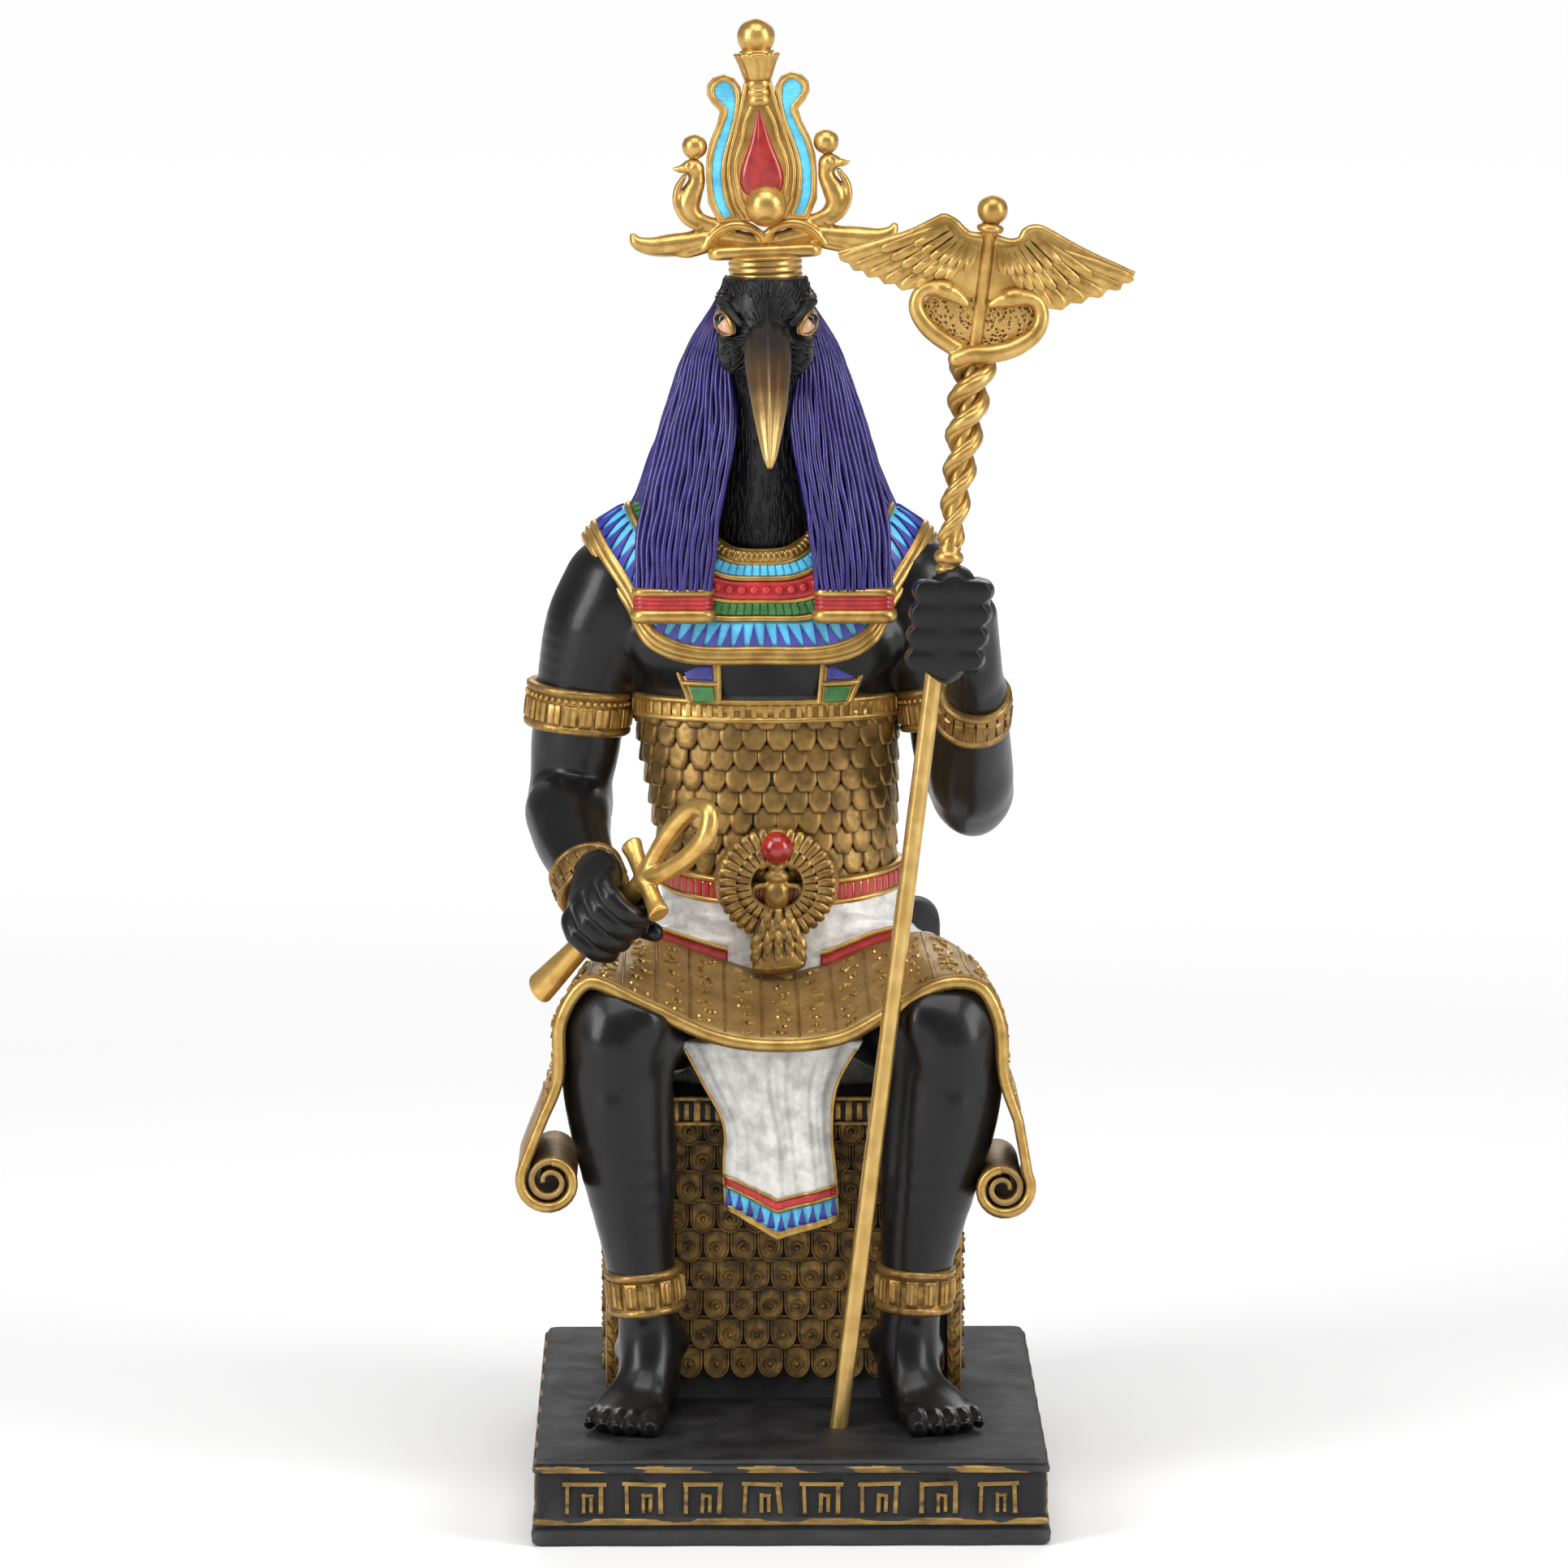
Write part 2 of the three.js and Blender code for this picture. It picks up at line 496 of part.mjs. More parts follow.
function papyrus() {
  const steps = 20;
  const thick = 3.2;
  const front = sheetLine(frontRim, -26.6);
  const back = sheetLine(backEdge, 2);
  const geometry = new THREE.BoxGeometry(1, 1, 1, steps, 2, 1);
  const position = geometry.attributes.position;
  for (let i = 0; i < position.count; i++) {
    const t = position.getX(i) + 0.5;
    const depth = position.getY(i) + 0.5;
    const a = front.getPoint(t);
    const b = back.getPoint(t);
    const tangent = front.getTangent(t);
    const normal = new THREE.Vector3(-tangent.z, 0, tangent.x);
    const point = a.lerp(b, depth).addScaledVector(normal, (position.getZ(i) - 0.5) * thick);
    position.setXYZ(i, point.x, point.y, point.z);
  }
  const solid = toSolid(geometry);
  const parts = [solid.volume() > 0 ? solid : toSolid(flipped(geometry))];
  // the hanging sides and their rolls, seen end-on from the front
  for (const side of [-1, 1]) {
    const edge = side < 0 ? [[-44, 98], [-46, 86], [-49.2, 77.4], [-53.4, 69.4]]
      : [[40, 98], [43, 86], [45.6, 77], [48.4, 70]];
    const centre = side < 0 ? [-47.1, 65] : [42, 63.4];
    const radius = side < 0 ? 7 : 6.7;
    const hanging = new THREE.Shape();
    hanging.moveTo(side * 30, 98);
    for (const [x, z] of edge) hanging.lineTo(x, z);
    hanging.lineTo(centre[0] + side * radius, centre[1]);
    hanging.absarc(centre[0], centre[1], radius, side < 0 ? Math.PI : 0, side < 0 ? Math.PI * 2 : -Math.PI, side > 0);
    hanging.lineTo(side < 0 ? -39 : 35, 80);
    hanging.lineTo(side * 30, 86);
    parts.push(plate(hanging, -11.5, 27, new THREE.Matrix4(), 6));
    parts.push(turned([[0, 0], [2.2, 0], [2.2, 1.4], [0, 1.4]], 10,
      placed(new THREE.Vector3(1, 0, 0), up, new THREE.Vector3(0, -1, 0),
        new THREE.Vector3(centre[0], -24.6, centre[1]))));
  }
  return join(parts);
}

// The head: neck, skull, curved beak, eyes, striped wig with two front lappets

function head() {
  const parts = [
    ringLoft([[-4.6, 16, 184, 12, 11], [-4.6, 13.5, 193, 9.6, 9.6], [-4.5, 11.5, 203, 8, 9],
      [-4.1, 9.6, 214, 7.6, 9.4], [-4.1, 9, 222, 8.6, 10.6], [-4.2, 9, 228, 9.6, 11.8], [-4.3, 9.2, 233.5, 9.6, 12],
      [-4.3, 9.6, 237.6, 8.2, 10.6], [-4.3, 10.4, 240.2, 4.6, 6]], 14),
    limb([[-4, 2.6, 229.5, 4.4, 4.6], [-3.9, -5.4, 226, 5.4, 4.2], [-3.8, -13.6, 220.6, 4.1, 3.4],
      [-3.8, -20.4, 213.6, 2.5, 2.4], [-3.8, -24.6, 206.6, 1, 1.2]], 8, 8, 1),
  ];
  for (const side of [-1, 1]) parts.push(ball(-4.2 + side * 8.6, 2.6, 233, 1.6, 2.4, 1.6, 6, 4));
  return join(parts);
}

function wig() {
  const strands = 16;
  const ripple = (angle) => 1 + 0.035 * Math.cos(angle * strands);
  const dome = ringLoft([[-5.2, 23, 187, 27.4, 15.5], [-5.1, 22, 192, 26.8, 15.6], [-4.8, 20.5, 202, 22.9, 15.6],
    [-4.6, 19, 210, 19.4, 15.4], [-4.5, 17.4, 218, 16.6, 15], [-4.6, 15.6, 226, 13.4, 13.2],
    [-4.6, 15, 233, 9.6, 10], [-4.5, 15, 238, 5, 5.4]], strands * 2, ripple);
  const lappets = [
    ringLoft([[-22.9, 1.6, 172.7, 7, 3.2], [-23.2, 1.8, 174.2, 7.3, 3.6], [-23, 2, 179.4, 7, 3.4],
      [-23.4, 3.6, 188, 8.4, 4.4], [-20.8, 5, 198, 7.8, 5.4], [-17, 6.6, 208, 6, 6], [-14.4, 8.6, 219, 4, 5.6],
      [-12.4, 11, 228, 2, 3]], 10),
    ringLoft([[13.3, 1.6, 172.7, 7.1, 3.2], [13.4, 1.8, 174.2, 7.4, 3.6], [13.2, 2, 179.4, 7, 3.4],
      [12.6, 3.6, 188, 8.4, 4.4], [10.4, 5, 198, 7.6, 5.4], [7.6, 6.6, 208, 6, 6], [5.4, 8.6, 219, 4, 5.6],
      [3.8, 11, 228, 2, 3]], 10),
  ];
  return join([dome, ...lappets]);
}

// Separate pieces: rod, staff head, ankh and crown; grow makes the same form larger, to cut its room

function rodFrame() {
  const axis = new THREE.Vector3().subVectors(rodTop, rodFoot).normalize();
  const side = new THREE.Vector3().crossVectors(new THREE.Vector3(0, 1, 0), axis).normalize();
  const depth = new THREE.Vector3().crossVectors(axis, side);
  return placed(side, depth, axis, rodFoot);
}

function rod(grow = 0) {
  const length = rodFoot.distanceTo(rodTop) + 20 * grow;
  return turned([[0, -grow], [rodRadius + grow, -grow], [rodRadius + grow, length], [0, length]], 10, rodFrame());
}

function staffHead() {
  const lift = 2.6;
  const spigot = rodFrame().setPosition(rodTop).multiply(new THREE.Matrix4().makeTranslation(0, 0, gap));
  const frame = rodFrame().setPosition(rodTop).multiply(new THREE.Matrix4().makeTranslation(0, 0, lift));
  const parts = [
    turned([[0, 0], [rodRadius, 0], [rodRadius, lift + 1], [0, lift + 1]], 10, spigot),
    turned([[0, 0.4], [2.2, 0.4], [1.9, 1.5], [2.9, 2.2], [2.9, 3.4], [2.2, 4.2], [2.2, 5],
      [1.6, 6], [1.6, 66], [2.5, 66.3], [2.5, 67.3], [1.8, 67.8], [2.7, 69], [3.05, 70.6], [2.6, 72.4], [1.4, 73.5],
      [0, 73.8]], 8, frame),
  ];
  // the two tails twisted round the shaft
  const sides = 8;
  const rows = 15;
  const [low, high] = [4.6, 41.6];
  const twistPitch = 13.4;
  const geometry = new THREE.CylinderGeometry(1, 1, 1, sides, rows);
  const position = geometry.attributes.position;
  for (let i = 0; i < position.count; i++) {
    const t = position.getY(i) + 0.5;
    const height = THREE.MathUtils.lerp(low, high, t);
    const reach = Math.hypot(position.getX(i), position.getZ(i)) < 1e-6 ? 0 : 1;
    const angle = Math.atan2(-position.getZ(i), position.getX(i));
    const core = THREE.MathUtils.lerp(2.5, 4.1, Math.pow(t, 1.3));
    const lobe = core * (1 + 0.17 * Math.cos(2 * (angle - (height / twistPitch) * Math.PI * 2)));
    position.setXYZ(i, Math.cos(angle) * lobe * reach, Math.sin(angle) * lobe * reach, height);
  }
  geometry.applyMatrix4(frame);
  parts.push(toSolid(geometry));
  // two necks that open into a heart and turn their heads to the shaft
  for (const side of [-1, 1]) {
    const neck = [[-2, -2.6, 39.6, 1.6], [3.6, -2.8, 41.8, 1.7], [9.4, -1.6, 44.4, 1.6], [12.4, -0.9, 48, 1.45],
      [12.2, -1, 52, 1.4], [9.2, -1.4, 54.6, 1.45], [5.4, -1.8, 54.2, 1.75], [2.4, -2, 52.6, 0.95]];
    parts.push(toSolidPlaced(limb(neck.map(([x, y, z, r]) => [side * x, y, z, r]), 6, 10, 1,
      new THREE.Vector3(0, 1, 0)), frame));
  }
  const heart = new THREE.Shape();
  heart.moveTo(0, 42);
  heart.lineTo(9, 45);
  heart.absarc(8.6, 49.6, 4.4, -Math.PI / 3, Math.PI / 2, false);
  heart.lineTo(-8.6, 54);
  heart.absarc(-8.6, 49.6, 4.4, Math.PI / 2, Math.PI * 4 / 3, false);
  heart.lineTo(-9, 45);
  parts.push(plate(heart, 0, 1.8, frame));
  for (const side of [-1, 1]) parts.push(staffWing(side, frame));
  return join(parts);
}

function toSolidPlaced(solid, matrix) {
  const geometry = toGeometry(solid);
  geometry.applyMatrix4(matrix);
  return toSolid(geometry);
}

// One wing: a feathered outline in two overlapping layers
function staffWing(side, frame) {
  const layers = [
    { points: [[0.5, 53], [0.5, 65], [4.4, 65], [7, 67.4], [9, 67.9], [20.4, 63], [28.2, 59.6], [27.4, 57.6],
      [25, 57.4], [23.6, 55.6], [21, 55.4], [18.6, 53.6], [16, 53.6], [13.6, 52.2], [9, 52.6]], y: 0, thick: 2.6 },
    { points: [[1, 57], [1, 65], [4.4, 64.8], [7, 67], [9, 67.6], [18, 63.4], [15.6, 60], [11.4, 60.6], [8, 58]],
      y: -0.5, thick: 3.2 },
  ];
  const mirror = new THREE.Matrix4().makeScale(side, 1, 1);
  return join(layers.map(({ points, y, thick }) => {
    const shape = outline(side < 0 ? points.map(([x, z]) => [-x, z]).reverse() : points);
    return plate(shape, y, thick, side < 0 ? frame : frame.clone().multiply(mirror));
  }));
}

function ankh(grow = 0) {
  const depth = new THREE.Vector3().crossVectors(ankhAcross, ankhAlong).negate();
  const frame = placed(ankhAcross, depth, ankhAlong, ankhCentre);
  const foot = -36;
  const parts = [turned([[0, foot - grow], [3.4 + grow, foot - grow], [3.2 + grow, foot + 1], [2.2 + grow, foot + 16],
    [2.1 + grow, 0], [1.8 + grow, 2.4 + grow], [0, 2.4 + grow]], 8, frame)];
  const bar = placed(new THREE.Vector3(0, 1, 0), new THREE.Vector3(0, 0, 1), new THREE.Vector3(1, 0, 0),
    new THREE.Vector3()).premultiply(frame);
  const half = 9;
  parts.push(turned([[0, -half - grow], [2.3 + grow, -half - grow], [1.9 + grow, -half + 3], [1.8 + grow, 0],
    [1.9 + grow, half - 3], [2.3 + grow, half + grow], [0, half + grow]], 8, bar));
  const loopPoints = [[0, 0.5], [-2.3, 5], [-4, 12], [-3.6, 18], [0, 21], [3.6, 18], [4, 12], [2.3, 5]];
  const loop = new THREE.CatmullRomCurve3(loopPoints.map(([x, z]) => new THREE.Vector3(x, 0, z).applyMatrix4(frame)),
    true);
  parts.push(ringTube(loop, 2 + grow, 6, 16, depth));
  return join(parts);
}

// A closed ring of round section: a torus whose vertices follow the loop's line
function ringTube(curve, radius, sides, steps, flat) {
  const geometry = new THREE.TorusGeometry(2, 1, sides, steps);
  const position = geometry.attributes.position;
  for (let i = 0; i < position.count; i++) {
    const [x, y, z] = [position.getX(i), position.getY(i), position.getZ(i)];
    const t = (Math.atan2(y, x) / (Math.PI * 2) + 1) % 1;
    const out = Math.hypot(x, y) - 2;
    const tangent = curve.getTangent(t);
    const side = new THREE.Vector3().crossVectors(tangent, flat).normalize();
    const point = curve.getPoint(t).addScaledVector(side, out * radius).addScaledVector(flat, z * radius);
    position.setXYZ(i, point.x, point.y, point.z);
  }
  const solid = toSolid(geometry);
  return solid.volume() > 0 ? solid : toSolid(flipped(geometry));
}

function crownFrame() {
  return new THREE.Matrix4().makeRotationY(-crownTurn).setPosition(crownAxis);
}

function crown() {
  const frame = crownFrame();
  const parts = [turned([[0, 0], [drumRadius, 0], [7.1, 0.8], [7, 4.6], [7.4, 5.6], [9, 6.2], [7, 8], [0, 8]],
    12, frame)];
  parts.push(plate(outline([[-11.1, 6.2], [11.1, 6.2], [11.3, 8.6], [-11.3, 8.6]]), 0, 9, frame));
  // horns in one outline per side, birds, balls, lobed plumes and the central vase
  for (const side of [-1, 1]) {
    const flip = (points) => outline(side < 0 ? points.map(([x, z]) => [-x, z]).reverse() : points);
    parts.push(plate(flip([[-1, 8], [11, 8.2], [13.4, 7], [17.2, 6.8], [20, 8.4], [24.6, 9.4], [26.2, 11],
      [24.4, 11.8], [20, 11.8], [17, 13], [17.6, 18], [17, 22], [17.6, 24.2], [15.8, 26], [13.4, 25],
      [14.2, 21], [11, 16.6], [10.2, 13.8], [6, 12.8], [-1, 11.6]]), 0, 4.4, frame));
    parts.push(plate(flip([[4.4, 13.4], [9, 14.2], [10.5, 18.4], [10.4, 23.4], [8.4, 29], [6.8, 35.6], [8.6, 36.2],
      [10.4, 38.4], [10, 41], [8, 42.3], [5.4, 41.4], [4.4, 39.4], [4.6, 34.8], [5.6, 29], [7.4, 23.4],
      [7.2, 18.4]]), 0, 4, frame));
    parts.push(toSolidPlaced(ball(side * 13, 0, 28.4, 2.55, 2.55, 2.55, 8, 6), frame));
    parts.push(toSolidPlaced(limb([[side * 13.6, 0, 26.4, 1.6], [side * 15.4, -0.4, 21, 2.6],
      [side * 13.4, -0.4, 15.4, 2.2], [side * 8, -0.6, 12.4, 2]], 6, 5, 1, new THREE.Vector3(0, 1, 0)), frame));
    parts.push(toSolidPlaced(limb([[side * 25, 0, 10.8, 1], [side * 18, -0.6, 10, 2.2],
      [side * 11, -1, 11.6, 2.4], [side * 5, -1, 11.6, 2]], 6, 5, 1, new THREE.Vector3(0, 1, 0)), frame));
  }
  parts.push(plate(outline([[-7.4, 12], [-7.6, 20], [-6, 27], [-2.6, 36], [2.6, 36], [6, 27], [7.6, 20], [7.4, 12]]),
    0, 3.4, frame));
  parts.push(toSolidPlaced(limb([[0, -1.6, 21, 3.6, 1.6], [0, -1.6, 26, 3, 1.5], [0, -1.6, 34, 0.8, 0.9]],
    8, 5, 1, new THREE.Vector3(0, 1, 0)), frame));
  parts.push(turned([[0, 35], [2.6, 35], [2.4, 38], [2.7, 41], [3.1, 41.6], [3.6, 44], [4.3, 46], [2, 46.4],
    [2.8, 47.4], [3.8, 50], [3.2, 52], [1.6, 53.2], [0, 53.4]], 8, frame));
  parts.push(toSolidPlaced(ball(0.6, -2.2, 16.4, 4.1, 4.1, 4.1, 10, 6), frame));
  return join(parts);
}

// The statue, with room cut for the pieces that pass through or stand on it

function statue() {
  const whole = join([plinth(), throne(), upperBody(), rightHand(), leftHand(), leg(-1), leg(1), lapCloths(), belt(),
    papyrus(), head(), wig()]);
  const drumRoom = turned([[0, 0], [drumRadius + gap, 0], [drumRadius + gap, 20], [0, 20]], 20,
    new THREE.Matrix4().makeTranslation(crownAxis.x, crownAxis.y, headTop));
  return whole.subtract(rod(gap)).subtract(ankh(gap)).subtract(drumRoom);
}

// The scene graph

function piece(name, solid, color, roughness, metalness) {
  const material = new THREE.MeshStandardMaterial({ color, roughness, metalness });
  const mesh = new THREE.Mesh(outerSkin(toGeometry(solid)), material);
  mesh.name = name;
  return mesh;
}

const figure = new THREE.Group();
figure.add(piece("statue", statue(), 0x16161a, 0.4, 0));
figure.add(piece("crown", crown(), 0xb08a3e, 0.4, 0.6));
figure.add(piece("ankh", ankh(), 0xb08a3e, 0.4, 0.6));
figure.add(piece("staff_rod", rod(), 0xb08a3e, 0.35, 0.8));
figure.add(piece("staff_head", staffHead(), 0xb08a3e, 0.4, 0.6));

export default figure;
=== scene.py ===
import math
import bpy
import bmesh
import numpy as np
import openvdb
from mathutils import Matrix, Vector
from mathutils.bvhtree import BVHTree


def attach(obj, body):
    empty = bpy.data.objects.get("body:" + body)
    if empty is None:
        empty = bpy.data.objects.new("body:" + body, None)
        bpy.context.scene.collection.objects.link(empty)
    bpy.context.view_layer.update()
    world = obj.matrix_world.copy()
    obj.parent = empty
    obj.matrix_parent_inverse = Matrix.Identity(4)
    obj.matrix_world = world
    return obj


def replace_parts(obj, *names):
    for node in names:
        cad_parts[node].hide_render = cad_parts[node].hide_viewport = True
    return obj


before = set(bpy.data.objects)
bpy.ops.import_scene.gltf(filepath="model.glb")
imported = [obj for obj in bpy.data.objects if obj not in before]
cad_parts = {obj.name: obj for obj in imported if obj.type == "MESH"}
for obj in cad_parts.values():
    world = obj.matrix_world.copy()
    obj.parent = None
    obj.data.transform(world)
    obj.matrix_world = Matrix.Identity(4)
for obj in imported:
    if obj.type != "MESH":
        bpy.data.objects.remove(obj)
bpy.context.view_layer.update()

# Sizes are written in millimetres and become metres when a mesh is made
mm = 0.001
up = np.array([0.0, 0.0, 1.0])
front = np.array([0.0, -1.0, 0.0])
side = np.array([1.0, 0.0, 0.0])


def unit(vector):
    vector = np.asarray(vector, float)
    return vector / np.maximum(np.linalg.norm(vector, axis=-1, keepdims=True), 1e-9)


def smoothPath(stations, count):
    # a smooth line through the stations, whose extra numbers, such as radii, follow along
    stations = np.array(stations, float)
    padded = np.vstack([2 * stations[0] - stations[1], stations, 2 * stations[-1] - stations[-2]])
    t = np.linspace(0, len(stations) - 1, count)
    i = np.minimum(t.astype(int), len(stations) - 2)
    f = (t - i)[:, None]
    a, b, c, d = (padded[i + k] for k in range(4))
    return 0.5 * (2 * b + (c - a) * f + (2 * a - 5 * b + 4 * c - d) * f ** 2 + (3 * b - a - 3 * c + d) * f ** 3)


def fixNormals(mesh):
    work = bmesh.new()
    work.from_mesh(mesh)
    bmesh.ops.remove_doubles(work, verts=work.verts, dist=1e-7)
    bmesh.ops.recalc_face_normals(work, faces=work.faces)
    if work.calc_volume(signed=True) < 0:
        bmesh.ops.reverse_faces(work, faces=work.faces)
    work.to_mesh(mesh)
    work.free()


def addPiece(name, verts, faces, material, sharp=None):
    mesh = bpy.data.meshes.new(name)
    mesh.from_pydata((np.asarray(verts) * mm).tolist(), [], faces)
    fixNormals(mesh)
    mesh.shade_smooth()
    if sharp:
        mesh.set_sharp_from_angle(angle=math.radians(sharp))
    mesh.materials.append(material)
    piece = bpy.data.objects.new(name, mesh)
    bpy.context.collection.objects.link(piece)
    return rideAlong(piece)


def rideAlong(piece):
    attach(piece, "root")
    return piece


def gridFaces(rows, cols, wrap, start=0):
    faces = []
    for r in range(rows - 1):
        for c in range(cols if wrap else cols - 1):
            a = start + r * cols + c
            b = start + r * cols + (c + 1) % cols
            faces.append((a, b, b + cols, a + cols))
    return faces


def loft(name, rings, material, sharp=None):
    # rings of points, closed round and capped at both ends
    rings = np.asarray(rings, float)
    rows, cols = rings.shape[:2]
    faces = gridFaces(rows, cols, True)
    faces.append(tuple(reversed(range(cols))))
    faces.append(tuple(range((rows - 1) * cols, rows * cols)))
    return addPiece(name, rings.reshape(-1, 3), faces, material, sharp)


def ringBand(name, rings, material, sharp=None):
    # loops one after another, the last joined to the first, as in a bracelet
    rings = np.asarray(rings, float)
    rows, cols = rings.shape[:2]
    faces = gridFaces(rows, cols, True)
    last = (rows - 1) * cols
    faces += [(last + c, last + (c + 1) % cols, (c + 1) % cols, c) for c in range(cols)]
    return addPiece(name, rings.reshape(-1, 3), faces, material, sharp)


def plateOf(name, outline, where, low, high, material, bevel=0.3):
    # a flat closed shape between two depths, with rounded edges; where() turns x, depth and z into a place
    count = len(outline)
    verts = [where(x, low, z) for x, z in outline] + [where(x, high, z) for x, z in outline]
    faces = [tuple(range(count)), tuple(reversed(range(count, 2 * count)))]
    faces += [(i, i + count, (i + 1) % count + count, (i + 1) % count) for i in range(count)]
    piece = addPiece(name, verts, faces, material)
    work = bmesh.new()
    work.from_mesh(piece.data)
    edges = [e for e in work.edges if e.calc_face_angle() > 0.9]
    bmesh.ops.bevel(work, geom=edges, offset=bevel * mm, segments=2, profile=0.5, affect="EDGES", clamp_overlap=True)
    work.to_mesh(piece.data)
    work.free()
    piece.data.set_sharp_from_angle(angle=math.radians(35))
    return piece


def slab(name, face, back, material, sharp=None):
    # a closed sheet between two grids of the same size
    rows, cols = face.shape[:2]
    count = rows * cols
    faces = gridFaces(rows, cols, False)
    faces += [tuple(count + i for i in reversed(f)) for f in gridFaces(rows, cols, False)]
    rim = [c for c in range(cols)] + [r * cols + cols - 1 for r in range(1, rows)]
    rim += [(rows - 1) * cols + c for c in range(cols - 2, -1, -1)] + [r * cols for r in range(rows - 2, 0, -1)]
    for a, b in zip(rim, rim[1:] + rim[:1]):
        faces.append((b, a, count + a, count + b))
    verts = np.vstack([face.reshape(-1, 3), back.reshape(-1, 3)])
    return addPiece(name, verts, faces, material, sharp)


# Clay: a distance field that shapes are pressed together in, then skinned
class Clay:
    def __init__(self, low, high, voxel):
        self.low = np.array(low, np.float32)
        self.voxel = voxel
        self.size = np.ceil((np.array(high) - self.low) / voxel).astype(int) + 1
        self.field = np.full(self.size, 6.0, np.float32)

    def window(self, low, high):
        a = np.clip(((low - self.low) / self.voxel).astype(int) - 1, 0, self.size)
        b = np.clip(((high - self.low) / self.voxel).astype(int) + 2, 0, self.size)
        axes = [(self.low[i] + self.voxel * np.arange(a[i], b[i])).astype(np.float32) for i in range(3)]
        return tuple(slice(a[i], b[i]) for i in range(3)), axes

    def press(self, window, distance, soft, carve=False):
        old = self.field[window]
        if carve:
            old = -old
        soft = max(soft, 0.05)
        h = np.clip(0.5 + 0.5 * (distance - old) / soft, 0, 1)
        mixed = distance + (old - distance) * h - soft * h * (1 - h)
        self.field[window] = -mixed if carve else mixed

    def limb(self, stations, soft=1.0, reference=up, count=26, carve=False):
        # stations hold x, y, z, the half width across the line and, if given, the half width along it
        stations = [list(s) + [s[3]] if len(s) == 4 else list(s) for s in stations]
        line = smoothPath(stations, count)
        reach = line[:, 3:].max() + soft + 2
        window, _ = self.window(line[:, :3].min(0) - reach, line[:, :3].max(0) + reach)
        best = np.full(self.size, 9.0, np.float32)
        for a, b in zip(line[:-1], line[1:]):
            reach = max(a[3:].max(), b[3:].max()) + soft + 2
            near, axes = self.window(np.minimum(a, b)[:3] - reach, np.maximum(a, b)[:3] + reach)
            if min(len(x) for x in axes) == 0:
                continue
            step = (b - a)[:3]
            length = np.linalg.norm(step)
            tangent = step / length
            across = unit(np.cross(tangent, reference))
            along = np.cross(across, tangent)
            x, y, z = (axes[0][:, None, None] - a[0], axes[1][None, :, None] - a[1], axes[2][None, None, :] - a[2])
            t = np.clip((x * tangent[0] + y * tangent[1] + z * tangent[2]) / length, 0, 1)
            x, y, z = x - t * step[0], y - t * step[1], z - t * step[2]
            ra = a[3] + (b[3] - a[3]) * t
            rb = a[4] + (b[4] - a[4]) * t
            u = x * across[0] + y * across[1] + z * across[2]
            v = x * along[0] + y * along[1] + z * along[2]
            w = x * tangent[0] + y * tangent[1] + z * tangent[2]
            q = np.sqrt((u / ra) ** 2 + (v / rb) ** 2 + (w / np.minimum(ra, rb)) ** 2) + 1e-6
            far = np.sqrt(u * u + v * v + w * w)
            best[near] = np.minimum(best[near], (q - 1) * far / q - (q < 0.05) * np.minimum(ra, rb))
        self.press(window, best[window], soft, carve)

    def ball(self, centre, radii, soft=1.0, turn=None, carve=False):
        centre = np.array(centre, float)
        radii = np.array(radii if np.ndim(radii) else [radii] * 3, float)
        window, axes = self.window(centre - radii.max() - soft - 2, centre + radii.max() + soft + 2)
        x, y, z = (axes[0][:, None, None] - centre[0], axes[1][None, :, None] - centre[1],
                   axes[2][None, None, :] - centre[2])
        if turn is not None:
            x, y, z = (x * d[0] + y * d[1] + z * d[2] for d in turn)
        q = np.sqrt((x / radii[0]) ** 2 + (y / radii[1]) ** 2 + (z / radii[2]) ** 2) + 1e-6
        far = np.sqrt(x * x + y * y + z * z)
        self.press(window, np.where(q < 0.05, -radii.min(), (q - 1) * far / q), soft, carve)

    def cut(self, test):
        # test(x, y, z) is positive where the clay is taken away
        _, axes = self.window(self.low, self.low + self.size * self.voxel)
        x, y, z = axes[0][:, None, None], axes[1][None, :, None], axes[2][None, None, :]
        self.field = np.maximum(self.field, test(x, y, z).astype(np.float32))

    def skin(self, name, material, slot="painted_body", keep=0.45):
        # keep is the share of faces left where the form is smooth
        for axis in range(3):
            self.field = (np.roll(self.field, 1, axis) + 2 * self.field + np.roll(self.field, -1, axis)) / 4
        self.field[[0, -1], :, :] = 1
        self.field[:, [0, -1], :] = 1
        self.field[:, :, [0, -1]] = 1
        grid = openvdb.FloatGrid(6.0)
        grid.copyFromArray(self.field)
        points, quads = grid.convertToQuads(0.0)
        piece = addPiece(name, points * self.voxel + self.low, quads.tolist(), material)
        modifier = piece.modifiers.new("lighter", "DECIMATE")
        modifier.ratio = keep
        lighter = bpy.data.meshes.new_from_object(piece.evaluated_get(bpy.context.evaluated_depsgraph_get()))
        piece.modifiers.clear()
        piece.data = lighter
        lighter.name = name
        print("   ", name, len(lighter.polygons), "faces")
        return piece


# Materials
def newMaterial(name, color, roughness, metallic=0.0, coat=0.0, coatRoughness=0.1):
    material = bpy.data.materials.new(name)
    material.use_nodes = True
    tree = material.node_tree
    shader = tree.nodes["Principled BSDF"]
    shader.inputs["Base Color"].default_value = (*color, 1)
    shader.inputs["Roughness"].default_value = roughness
    shader.inputs["Metallic"].default_value = metallic
    shader.inputs["Coat Weight"].default_value = coat
    shader.inputs["Coat Roughness"].default_value = coatRoughness
    return material, tree, shader


